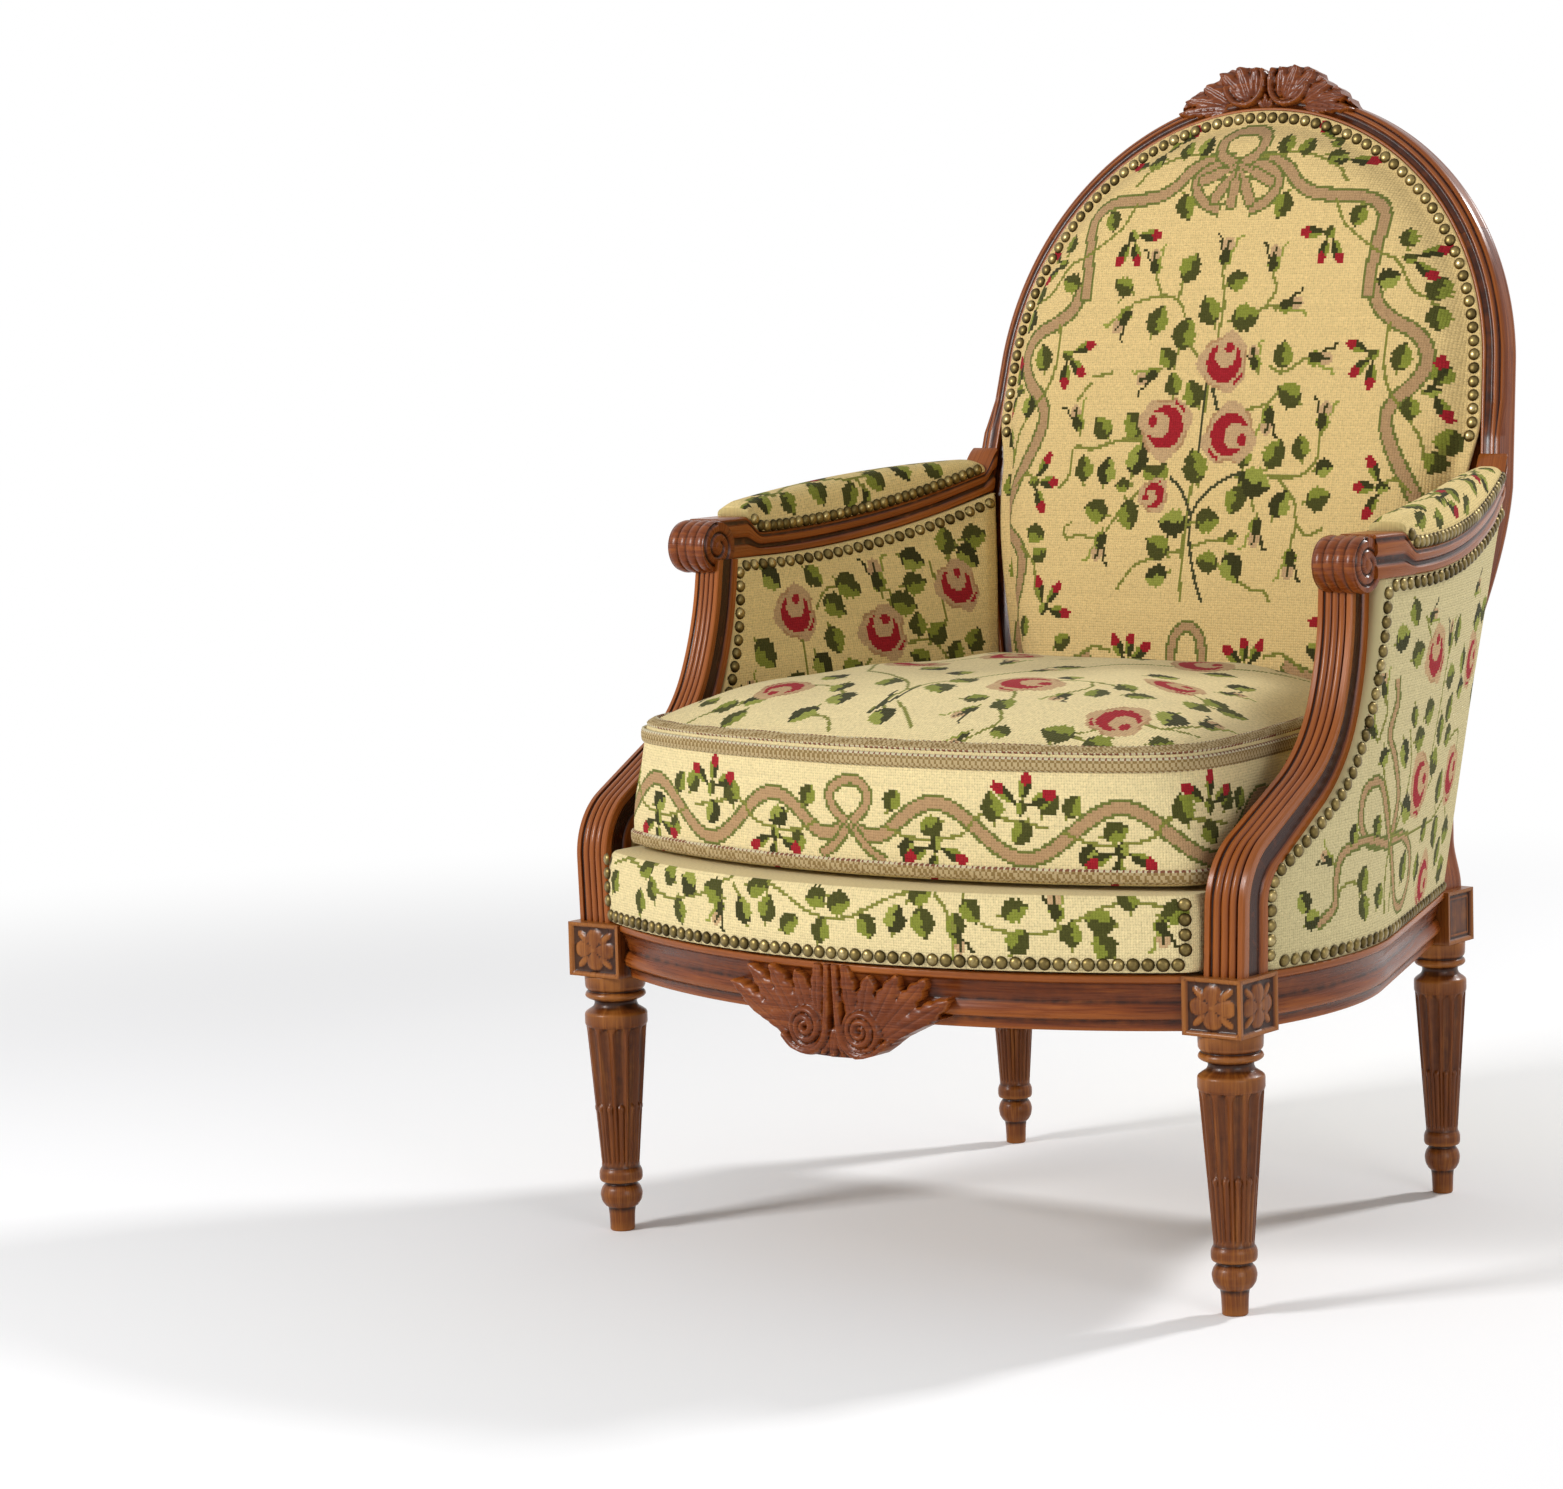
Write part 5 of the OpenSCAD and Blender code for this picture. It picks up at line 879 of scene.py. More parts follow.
    def rose_bud(self, x, y, angle, size=26):
        """An opening bud: a dark cup of sepals, pale petals out of it, and two or three sepals that curl away."""
        spot, a, b = self.field(x, y, size * 0.9)
        u, v = (a * cosd(angle) + b * sind(angle)) / size, (b * cosd(angle) - a * sind(angle)) / size
        self.dye[spot][((u - 0.16) / 0.3) ** 2 + (v / 0.21) ** 2 < 1] = threads["petal"]
        self.dye[spot][((u + 0.16) / 0.26) ** 2 + (v / 0.23) ** 2 < 1] = threads["leaf_light"]
        self.dye[spot][((u + 0.14) / 0.26) ** 2 + ((v - 0.05) / 0.17) ** 2 < 1] = threads["leaf_deep"]
        tip = lambda p, q: (x + size * (p * cosd(angle) - q * sind(angle)),
                            y + size * (p * sind(angle) + q * cosd(angle)))
        for side in (-1, 1):
            self.stroke([tip(-0.05, 0.12 * side), tip(0.2, 0.27 * side), tip(0.42, 0.30 * side),
                         tip(0.5, 0.44 * side)], 2.5, "leaf_deep" if side > 0 else "leaf_mid")
        self.stroke([tip(0.0, 0.0), tip(0.2, 0.03), tip(0.34, -0.02)], 2.6, "leaf_deep")
        self.stroke([tip(-0.36, 0.0), tip(-0.55, 0.0)], 2.8, "stem")

    def rose(self, x, y, r, gap_at=90):
        """A full rose: beige petals in a lobed ring, and a crimson heart whose crescent opens at an angle."""
        spot, a, b = self.field(x, y, r * 1.9)
        far, phi = np.hypot(a, b), np.degrees(np.arctan2(b, a)) - gap_at
        petals = r * (1.42 + 0.13 * cosd(3 * phi + 60) + 0.06 * cosd(7 * phi))
        self.dye[spot][far < petals] = threads["petal"]
        self.dye[spot][(far < petals) & (far > petals - 2.6) & (cosd(3 * phi + 60) < -0.2)] = threads["petal_edge"]
        du, dv = a * cosd(gap_at) + b * sind(gap_at), b * cosd(gap_at) - a * sind(gap_at)
        heart = (far < r) & (np.hypot(du - 0.34 * r, dv) > 0.6 * r) & ((du < 0.62 * r) | (np.abs(dv) > 0.55 * r))
        self.dye[spot][heart] = threads["red"]
        self.dye[spot][np.hypot(du - 0.74 * r, dv + 0.12 * r) < 0.27 * r] = threads["red"]
        self.dye[spot][(far > 1.16 * r) & (far < 1.3 * r) & (np.abs((phi + 140) % 360 - 20) < 17)] = threads["red"]


def smooth_line(points, step=1.0):
    """A curve through points, at places a step apart. Between two points it is the cubic that passes each of them
    along the line from the point before it to the point after it."""
    p = np.asarray(points, float)
    p = np.vstack([2 * p[0] - p[1], p, 2 * p[-1] - p[-2]])
    out = []
    for k in range(1, len(p) - 2):
        n = max(2, int(np.linalg.norm(p[k + 1] - p[k]) / step))
        t = (np.arange(n) / n)[:, None]
        out.append(0.5 * (2 * p[k] + (p[k + 1] - p[k - 1]) * t
                          + (2 * p[k - 1] - 5 * p[k] + 4 * p[k + 1] - p[k + 2]) * t ** 2
                          + (3 * p[k] - p[k - 1] - 3 * p[k + 1] + p[k + 2]) * t ** 3))
    return np.vstack(out + [p[-2:-1]])


def clipped_sheet(canvas, edge, lift, thick, hub=None, doubled=False):
    """The canvas's squares inside a closed edge, with the outermost corners moved onto it, lifted by lift(a, b) to
    points. A wall as deep as thick (a step, or a function of the rim) and a fan to a hub behind, or a second layer,
    close it. Returns the shape and the dye of each quad."""
    edge = np.asarray(edge, float)
    ia, ib = np.meshgrid(np.arange(canvas.cols + 1), np.arange(canvas.rows + 1))
    ca, cb = np.meshgrid(canvas.a, canvas.b)
    inside = within(ca, cb, edge)
    used = np.zeros((canvas.rows + 1, canvas.cols + 1), bool)
    count = np.zeros((canvas.rows + 1, canvas.cols + 1), int)
    for k, l in quad_corners:
        used[k:canvas.rows + k, l:canvas.cols + l] |= inside
        count[k:canvas.rows + k, l:canvas.cols + l] += inside
    a = (canvas.left + ia * canvas.size).astype(float)
    b = (canvas.bottom + ib * canvas.size).astype(float)
    rim = used & (count < 4)
    a[rim], b[rim] = to_edge(a[rim], b[rim], edge)
    number = np.full(used.shape, -1)
    number[used] = np.arange(used.sum())
    rows, cols = np.nonzero(inside)
    quads = np.stack([number[rows + k, cols + l] for k, l in quad_corners], 1)
    uv = canvas_corners(rows, cols)
    points = lift(a[used], b[used])
    sides = np.concatenate([quads[:, [k, (k + 1) % 4]] for k in range(4)])
    keys = sides.min(1).astype(np.int64) * len(points) + sides.max(1)
    _, first, seen = np.unique(keys, return_index=True, return_counts=True)
    rim_sides = sides[first[seen == 1]]
    rim_points = np.unique(rim_sides)
    lower = np.full(len(points), -1)
    lower[rim_points] = len(points) + np.arange(len(rim_points))
    dyes, plain = canvas.worked()[rows, cols], canvas.dye[0, 0]
    if doubled:
        n = len(points)
        wall = np.stack([rim_sides[:, 1], rim_sides[:, 0], rim_sides[:, 0] + n, rim_sides[:, 1] + n], 1)
        shape = blank(np.vstack([points, points + thick]), np.vstack([quads, quads[:, ::-1] + n, wall]),
                      quad_uv=np.concatenate([uv, uv[:, ::-1], np.zeros((len(wall), 4, 2))]))
        return outward(shape), np.concatenate([dyes, dyes, np.tile(plain, (len(wall), 1))])
    behind = points[rim_points] + (thick(points[rim_points]) if callable(thick) else thick)
    hub = behind.mean(0)[None] if hub is None else np.asarray(hub, float)[None]
    wall = np.stack([rim_sides[:, 1], rim_sides[:, 0], lower[rim_sides[:, 0]], lower[rim_sides[:, 1]]], 1)
    fan = np.stack([lower[rim_sides[:, 0]], np.full(len(rim_sides), len(points) + len(rim_points)),
                    lower[rim_sides[:, 1]]], 1)
    shape = blank(np.vstack([points, behind, hub]), np.vstack([quads, wall]), fan,
                  np.concatenate([uv, np.zeros((len(wall), 4, 2))]))
    return outward(shape), np.concatenate([dyes, np.tile(plain, (len(wall), 1))])


def within(a, b, edge):
    """Which places lie inside a closed edge, by counting the sides to their left."""
    odd = np.zeros(a.shape, bool)
    for (a0, b0), (a1, b1) in zip(edge, np.roll(edge, -1, 0)):
        if b0 == b1:
            continue
        crossing = (b0 > b) != (b1 > b)
        odd ^= crossing & (a < a0 + (b - b0) * (a1 - a0) / (b1 - b0))
    return odd


def to_edge(a, b, edge):
    """The nearest places on a closed edge."""
    p = np.stack([a, b], 1)[:, None]
    s, e = edge[None], np.roll(edge, -1, 0)[None]
    d = e - s
    t = np.clip(np.sum((p - s) * d, 2) / np.maximum(np.sum(d * d, 2), 1e-9), 0, 1)
    q = s + t[:, :, None] * d
    k = np.argmin(np.sum((q - p) ** 2, 2), 1)
    best = q[np.arange(len(k)), k]
    return best[:, 0], best[:, 1]


def edge_distance(a, b, edge):
    """Distance to a closed edge, worked in slices."""
    flat_a, flat_b = np.ravel(a), np.ravel(b)
    out = np.empty(len(flat_a))
    for k in range(0, len(flat_a), 4000):
        qa, qb = to_edge(flat_a[k:k + 4000], flat_b[k:k + 4000], edge)
        out[k:k + 4000] = np.hypot(qa - flat_a[k:k + 4000], qb - flat_b[k:k + 4000])
    return out.reshape(np.shape(a))


# The back

deck_base, deck_top = rail_top + 3, rail_top + deck_h
pad_foot_z = deck_top + 2


def pad_half(z):
    return lip_x(z) - gap - pad_tuck * ease((arm_under_z + arm_climb + 3.6 * arm_h - z) / 60)


def arched(half, foot_z, radius):
    """An outline seen from the front: up its right side at half(z), over the arch at a radius, and down its left."""
    z = np.linspace(foot_z, join_z, 60)
    turn = np.linspace(join_angle, 180 - join_angle, 120)[1:-1]
    right = np.stack([half(z), z], 1)
    arch = np.stack([radius * cosd(turn), arch_z + radius * sind(turn) * cosd(lean)], 1)
    return np.vstack([right, arch, right[::-1] * [-1, 1]])


back_edge = arched(pad_half, pad_foot_z, arch_r - gap)


def back_swell(z):
    up = lerp(back_puff, back_puff_top, clamp01((z - bend_z - 60) / (arch_z + arch_r - bend_z - 60)))
    return up * lerp(0.62, 1, ease((z - pad_foot_z) / (bend_z + 60 - pad_foot_z)))


def uneven(a, b, most):
    """The lumps of hand stuffing: three crossing waves 90 to 240 mm long."""
    return most * (0.45 * np.sin(a / 37 + 1.3) * np.sin(b / 29 + 0.4) + 0.35 * np.sin(a / 21 + b / 26 + 2.0)
                   + 0.2 * np.sin(b / 15 - a / 24))


def on_back(x, z, out_by):
    leaning = stile_lean(z)
    return np.stack([x, stile_y(z) - out_by * cosd(leaning), z + out_by * sind(leaning)], -1)


def back_face(x, z):
    """The stuffed back: flat for 11 mm under its nails, then a steep round rise to the swell, by the distance from
    the edge."""
    d = edge_distance(x, z, back_edge)
    rise = np.interp(d, [0, 3, 11, 14, 18, 24, 32, 44, 60, 80, 110],
                     [0.03, 0.05, 0.066, 0.13, 0.3, 0.52, 0.7, 0.84, 0.94, 0.99, 1.0])
    return on_back(x, z, rise * (back_swell(z) + uneven(x, z, 1.6)))


# Panels inside and outside the arms


def panel_v(y, z):
    return clamp01((z - rail_top) / (arm_under(y) - rail_top))


def inner_x(y, z):
    v = panel_v(y, z)
    puff = 13 * sind(180 * v ** 0.8) * sind(180 * clamp01((y - 40) / (plane_y(flare_z) + 180)))
    return lerp(side_x(y) - rail_w - 2, arm_out(y) - arm_width(y) - 7, v) - puff - uneven(y, z, 1.2) * puff / 13


def outer_x(y, z):
    return lerp(side_x(y) - 2.5, arm_out(y) - 4, panel_v(y, z))


def panel_outline(base):
    """Up the support, along under the arm, and down the stile."""
    zf = np.linspace(base, arm_under_z - gap, 50)
    front = np.stack([support_back(zf) + gap * 3.2, zf], 1)
    y_end, z_end = arm_end_y, 0.0
    for _ in range(8):
        z_end = arm_under(y_end) - gap
        y_end = stile_y(z_end) - gap * 2.2
    yt = np.linspace(front[-1, 0], y_end, 40)[1:]
    top = np.stack([yt, arm_under(yt) - gap], 1)
    zb = np.linspace(z_end, base, 40)[1:]
    rear = np.stack([stile_y(zb) - gap * 2.2, zb], 1)
    return np.vstack([front, top, rear])


inner_edge, cover_edge = panel_outline(rail_top + 3), panel_outline(rail_top + gap)


def inner_face(y, z):
    """The stuffed side, drawn down 2.5 mm along its nailed edge."""
    tuck = 2.5 * (1 - ease(edge_distance(y, z, inner_edge) / 14))
    return np.stack([inner_x(y, z) + tuck, y, z], -1)


def cover_face(y, z):
    tuck = 1.5 * (1 - ease(edge_distance(y, z, cover_edge) / 12))
    return np.stack([outer_x(y, z) + 2.0 - tuck, y, z], -1)


# Outlines in plan: the smooth least of the distances to a bow and lines


def side_line(p, q):
    n = np.array([q[1] - p[1], p[0] - q[0]], float)
    n /= np.hypot(*n)
    return n[0], n[1], float(n @ np.array(p))


def plan_reach(c, angle, lines, bow, sharp):
    """How far an outline is from c along an angle: (sum of distance^-sharp)^(-1/sharp) over its lines and bow."""
    d = np.stack([np.cos(angle), np.sin(angle)], -1)
    w = np.array([c[0], c[1] - bow[0]])
    b = d @ w
    reach = -b + np.sqrt(b * b + bow[1] ** 2 - w @ w)
    total = np.where(d[..., 1] < 0, reach ** -sharp, 0)
    for nx, ny, dist in lines:
        k = d[..., 0] * nx + d[..., 1] * ny
        far = (dist - c[0] * nx - c[1] * ny) / np.where(k > 0.02, k, 1)
        total = total + np.where(k > 0.02, far ** -sharp, 0)
    return total ** (-1 / sharp)


def mirrored(lines):
    return lines + [(-l[0], l[1], l[2]) for l in lines]


plan_center = np.array([0.0, 170.0])
deck_side = side_line((deck_front_half + 6, side_y0 + 130), (deck_back_half, side_y1 - 20))
deck_lines = mirrored([(1, 0, deck_front_half), deck_side]) + [(0, 1, side_y1 - 4)]
cushion_side = side_line((cushion_half, 120), (cushion_back_half, cushion_back))
cushion_lines = mirrored([(1, 0, cushion_half), cushion_side]) + [(0, 1, cushion_back)]
cushion_base = deck_top + 4
cushion_top = cushion_base + cushion_side_h + 8.5


def deck_plan(angle):
    return plan_reach(plan_center, angle, deck_lines, (bow_y, bow_r + deck_proud), 80)


def cushion_plan(angle, sharp):
    return plan_reach(plan_center, angle, cushion_lines, (cushion_bow_r - cushion_front, cushion_bow_r), sharp)


def even_angles(reach, size):
    """Angles round an outline whose places are a size apart, from the middle of the back round by the left to the
    back again, and each place's run from the middle of the front."""
    dense = np.linspace(np.pi / 2, np.pi / 2 + 2 * np.pi, 6001)
    r = reach(dense)
    p = np.stack([r * np.cos(dense), r * np.sin(dense)], 1)
    run = run_along(p)
    count = int(round(run[-1] / size))
    at = np.arange(count) / count * run[-1]
    return np.interp(at, run, dense), at - run[-1] / 2


def plan_points(angle, reach, z):
    return np.stack([plan_center[0] + reach * np.cos(angle), plan_center[1] + reach * np.sin(angle),
                     np.broadcast_to(z, np.shape(angle))], -1)


def walled(canvas_dye, rows):
    """A closed wall from rows of points, one quad for each stitch of the canvas."""
    quads, i, j = ring_quads(*rows.shape[:2])
    return blank(rows.reshape(-1, 3), quads, quad_uv=canvas_corners(i, j)), canvas_dye.reshape(-1, 3)


# Nails


def domes(places, faces):
    """A domed head at each place, looking along its face: rings at 0, 34, 62 and 90 degrees of a flattened sphere,
    over a foot drawn in to 0.96. Each is tipped, sized and toned a little by chance, as hand-driven nails are."""
    places, faces, around = np.asarray(places, float), np.asarray(faces, float), 12
    n = len(places)
    faces = unit(faces + chance.normal(0, 0.05, faces.shape))
    helper = np.where(np.abs(faces[:, 2:3]) < 0.9, [[0, 0, 1]], [[1, 0, 0]])
    u = unit(np.cross(helper, faces))
    v = np.cross(faces, u)
    theta = np.arange(around) / around * 2 * np.pi
    size = nail_r * 1.06 * (1 + chance.normal(0, 0.015, n))
    spoke = lambda r: r * np.cos(theta)[None, :, None] * u[:, None] + r * np.sin(theta)[None, :, None] * v[:, None]
    rows = [spoke(cosd(up)) * size[:, None, None] + faces[:, None] * (sind(up) * nail_h) for up in (0, 0, 34, 62)]
    rows[0] = rows[0] * 0.96
    middle = (faces * nail_h)[:, None]
    points = np.concatenate([np.stack(rows, 1).reshape(n, -1, 3), middle, np.zeros((n, 1, 3))], 1)
    points = points + places[:, None]
    quads = ring_quads(4, around)[0]
    k, top = np.arange(around), 4 * around
    tris = np.concatenate([np.stack([3 * around + k, 3 * around + (k + 1) % around, np.full(around, top)], 1),
                           np.stack([(k + 1) % around, k, np.full(around, top + 1)], 1)])
    start = (np.arange(n) * (top + 2))[:, None, None]
    tone = chance.uniform(-0.12, 0.3, n)[:, None]
    # Each head is lighter at its crown and darker towards its foot
    crown = np.concatenate([np.repeat([0.75, 0.65, 0.3, 0.08], around), [0.0, 0.8]])[None]
    return outward(blank(points.reshape(-1, 3), (quads[None] + start).reshape(-1, 4),
                         (tris[None] + start).reshape(-1, 3), hollow=np.clip(tone + crown, -0.2, 1)))


def spaced(line, pitch=nail_pitch):
    """Even places along a line of points, half a step in from its ends."""
    line = np.asarray(line, float)
    run = run_along(line)
    count = max(1, int(round(run[-1] / pitch)))
    at = (np.arange(count) + 0.5) * run[-1] / count
    return np.stack([np.interp(at, run, line[:, k]) for k in range(line.shape[1])], 1)


def face_of(surface, a, b, sign):
    """The way a surface looks at places a and b, from its slopes."""
    p = surface(a, b)
    return p, unit(np.cross(surface(a + 0.5, b) - p, surface(a, b + 0.5) - p) * sign)


def nail_rows(surface, lines, sign, lift_by=0.3):
    at = np.vstack([spaced(line) for line in lines])
    p, n = face_of(surface, at[:, 0], at[:, 1], sign)
    return domes(p + n * lift_by, n)


def spread(canvas, ribbons=(), stems=(), dark_stems=(), leaves=(), sprigs=(), roses=(), buds=(), sides=(1,)):
    """Works a list of motifs, and with sides (1, -1) their mirror too. Leaves, sprigs and buds carry an angle."""
    turn = lambda angle, side: angle if side > 0 else 180 - angle
    for side in sides:
        m = np.array([side, 1])
        for width, *points in ribbons:
            canvas.stroke(np.array(points) * m, width, "ribbon", "ribbon_edge")
        for points in stems:
            canvas.stroke(np.array(points) * m, 2.9, "stem")
        for points in dark_stems:
            canvas.stroke(np.array(points) * m, 3.2, "dark_stem")
        for k, (x, y, length, angle) in enumerate(leaves):
            canvas.leaf(x * side, y, length, turn(angle, side), flip=bool(k % 3 == 1) ^ (side < 0))
        for x, y, angles in sprigs:
            canvas.sprig(x * side, y, [turn(a, side) for a in angles])
        for x, y, angle, size in buds:
            canvas.rose_bud(x * side, y, turn(angle, side), size)
        for x, y, r, angle in roses:
            canvas.rose(x * side, y, r, turn(angle, side))


# Motifs, measured on the photograph in millimetres of each panel

back_canvas = Canvas(-264, 264, 326, 946, ground_back)
spread(back_canvas, sides=(1, -1),
    ribbons=[(12, (178, 440), (150, 436), (112, 445), (100, 452)),
        (13, (222, 566), (208, 556), (194, 546), (188, 530), (192, 510), (200, 492), (204, 470), (196, 452),
        (176, 440)),
        (13, (151, 776), (160, 757), (176, 745), (195, 736), (207, 722), (208, 705), (199, 690), (184, 676),
        (178, 660), (184, 640), (194, 622), (206, 602), (216, 582), (220, 560)),
        (12, (6, 889), (30, 889), (50, 880), (62, 867), (78, 858), (96, 855), (120, 854), (140, 850), (151, 838),
        (150, 812), (148, 788), (148, 764)), (11, (2, 886), (30, 881), (42, 868), (34, 852), (14, 843))],
    stems=[[(22, 891), (60, 894), (95, 883), (110, 868)],
        [(105, 850), (118, 828), (150, 806), (172, 796), (188, 772), (207, 764)],
        [(172, 742), (170, 716), (176, 690), (192, 668), (208, 648), (216, 622)],
        [(206, 600), (192, 610), (180, 604)], [(190, 545), (172, 530), (166, 505), (155, 492)],
        [(120, 446), (100, 458), (80, 456)]],
    leaves=[(42, 903, 20, 95), (63, 901, 19, 85), (94, 891, 19, 350), (50, 846, 25, 250), (128, 836, 21, 260),
        (166, 781, 23, 15), (208, 775, 23, 80), (212, 748, 23, 285), (187, 714, 25, 75), (199, 671, 21, 100),
        (229, 646, 23, 75), (220, 626, 20, 250), (232, 604, 20, 80), (172, 556, 22, 200), (166, 538, 18, 150),
        (216, 530, 20, 60), (182, 476, 20, 110), (132, 462, 20, 150), (112, 428, 20, 200), (86, 436, 20, 170),
        (222, 700, 18, 60), (176, 818, 19, 100)],
    sprigs=[(103, 822, (180, 252, 297)), (182, 799, (30, 325)), (160, 716, (160, 222, 268)), (216, 686, (82, 300)),
        (182, 602, (122, 180, 240)), (155, 490, (70, 127, 188)), (62, 444, (58, 98, 140)), (86, 905, (140,)),
        (98, 888, (2,))])
for width, *points in ((11, (-5, 884), (-21, 893), (-24, 907), (-11, 917), (8, 917), (20, 907), (14, 893), (0, 884)),
                       (10, (-13, 424), (-16, 448), (-13, 470), (0, 479), (13, 470), (16, 448), (13, 424))):
    back_canvas.stroke(points, width, "ribbon", "ribbon_edge")
for tip in ((-36, 870), (-21, 853), (-4, 849), (15, 851), (34, 868)):
    for width, name in ((12.5, "ribbon_edge"), (8.5, "ribbon")):
        back_canvas.stroke([(0, 884), (tip[0] * 0.55, 884 + (tip[1] - 884) * 0.6)], width * 0.5, name)
        back_canvas.stroke([(tip[0] * 0.5, 884 + (tip[1] - 884) * 0.5), tip], width, name)
spread(back_canvas,
    stems=[[(-10, 502), (-13, 540), (-12, 580), (-10, 612)], [(-8, 650), (-5, 690), (-1, 735), (2, 762), (-3, 788)],
        [(-38, 750), (-47, 764), (-66, 768), (-94, 762)], [(-47, 764), (-44, 786)], [(-66, 768), (-74, 786)],
        [(62, 757), (45, 757), (28, 748), (16, 738)], [(45, 757), (54, 772), (50, 784)],
        [(-20, 715), (-32, 728), (-36, 738)],
        [(-45, 655), (-62, 642), (-92, 640), (-120, 632), (-140, 633), (-143, 608), (-152, 598)],
        [(5, 668), (32, 668), (56, 673), (72, 686)], [(45, 612), (75, 610), (101, 612), (114, 626), (116, 645)],
        [(75, 610), (86, 600), (96, 588), (101, 570), (112, 560), (126, 566)], [(101, 570), (98, 553)],
        [(-45, 603), (-66, 595), (-85, 575), (-96, 561)],
        [(-12, 545), (-34, 540), (-60, 531), (-70, 520), (-77, 510)], [(-5, 548), (12, 553), (34, 556)],
        [(44, 522), (60, 513), (74, 512), (82, 503)],
        [(-110, 553), (-126, 556), (-138, 553), (-142, 562), (-136, 566)], [(56, 580), (52, 596)],
        [(-112, 762), (-104, 770)], [(92, 712), (70, 700), (56, 706)], [(-130, 690), (-142, 676)],
        [(-108, 700), (-128, 696)]],
    dark_stems=[[(12, 501), (-1, 530), (-8, 560), (-6, 580), (10, 598), (30, 610), (46, 613)],
        [(-8, 575), (-20, 595), (-34, 608)], [(-8, 612), (-8, 690)], [(8, 664), (-2, 690)]],
    leaves=[(-107, 777, 22, 150), (-38, 793, 28, 60), (14, 781, 23, 20), (-13, 755, 28, 118), (26, 748, 30, 8),
        (-66, 747, 28, 70), (-36, 735, 30, 75), (-51, 713, 22, 130), (69, 716, 25, 90), (-42, 690, 22, 100),
        (-20, 682, 26, 120), (79, 681, 28, 150), (-112, 651, 24, 130), (-79, 655, 27, 130), (-127, 615, 24, 95),
        (-102, 613, 25, 80), (-71, 624, 29, 75), (-10, 618, 32, 110), (40, 627, 20, 95), (71, 630, 28, 65),
        (97, 636, 23, 100), (123, 618, 20, 10), (54, 604, 34, 345), (36, 588, 26, 255), (82, 587, 26, 65),
        (120, 592, 26, 15), (-27, 568, 30, 175), (10, 571, 27, 8), (-110, 578, 26, 165), (-74, 574, 28, 290),
        (-40, 547, 27, 150), (-38, 522, 24, 195), (13, 535, 24, 170), (40, 530, 29, 300), (-84, 600, 16, 185),
        (36, 557, 15, 15), (-45, 612, 20, 60), (-57, 612, 18, 160)],
    roses=[(8, 709, 18, 80), (-46, 652, 19, 170), (22, 646, 19, 350)],
    buds=[(-76, 798, 100, 26), (-1, 806, 85, 30), (49, 799, 90, 28), (-105, 747, 235, 30), (70, 759, 15, 28),
        (40, 712, 110, 26), (106, 712, 0, 30), (-70, 697, 205, 28), (-140, 659, 110, 28), (59, 659, 270, 30),
        (118, 662, 85, 30), (-102, 547, 262, 30), (60, 562, 268, 30), (98, 536, 270, 30)])
back_canvas.rose(-50, 592, 11, 200)
inner_canvas = Canvas(10, 504, 266, 604, ground_side)
spread(inner_canvas,
    stems=[[(247, 490), (249, 455), (240, 420), (250, 380)], [(300, 526), (284, 522), (270, 508)],
        [(318, 458), (300, 440), (290, 410)], [(340, 465), (352, 512), (344, 520)],
        [(400, 478), (405, 495), (400, 540)], [(425, 525), (422, 545), (440, 553)],
        [(355, 470), (385, 470), (400, 452), (420, 450)], [(250, 380), (220, 350), (180, 330), (150, 320)],
        [(250, 380), (300, 350), (360, 340), (410, 330)], [(150, 320), (120, 300), (90, 296)]],
    leaves=[(222, 537, 28, 320), (273, 535, 24, 320), (310, 524, 29, 330), (291, 508, 27, 320), (284, 478, 27, 285),
        (204, 472, 32, 310), (267, 457, 26, 300), (298, 452, 24, 20), (364, 505, 28, 345), (374, 486, 22, 80),
        (393, 477, 24, 40), (383, 543, 27, 340), (380, 522, 26, 5), (422, 558, 26, 80), (453, 560, 27, 10),
        (442, 542, 26, 310), (431, 468, 24, 60), (370, 456, 22, 150), (408, 459, 22, 60), (236, 444, 26, 160),
        (330, 444, 22, 20), (220, 400, 26, 200), (270, 395, 26, 20), (190, 350, 26, 100), (150, 340, 26, 120),
        (210, 320, 26, 250), (300, 372, 26, 80), (350, 360, 26, 60), (330, 320, 26, 270), (400, 350, 26, 60),
        (390, 310, 26, 290), (110, 320, 24, 100), (100, 282, 24, 250), (60, 300, 24, 180)],
    roses=[(245, 505, 17, 85), (337, 481, 17, 80), (424, 517, 16, 85), (250, 345, 17, 60)],
    buds=[(342, 531, 95, 34), (185, 440, 120, 28), (440, 420, 60, 28), (300, 300, 250, 26)])
outer_canvas = Canvas(10, 504, 264, 604, ground_outer)
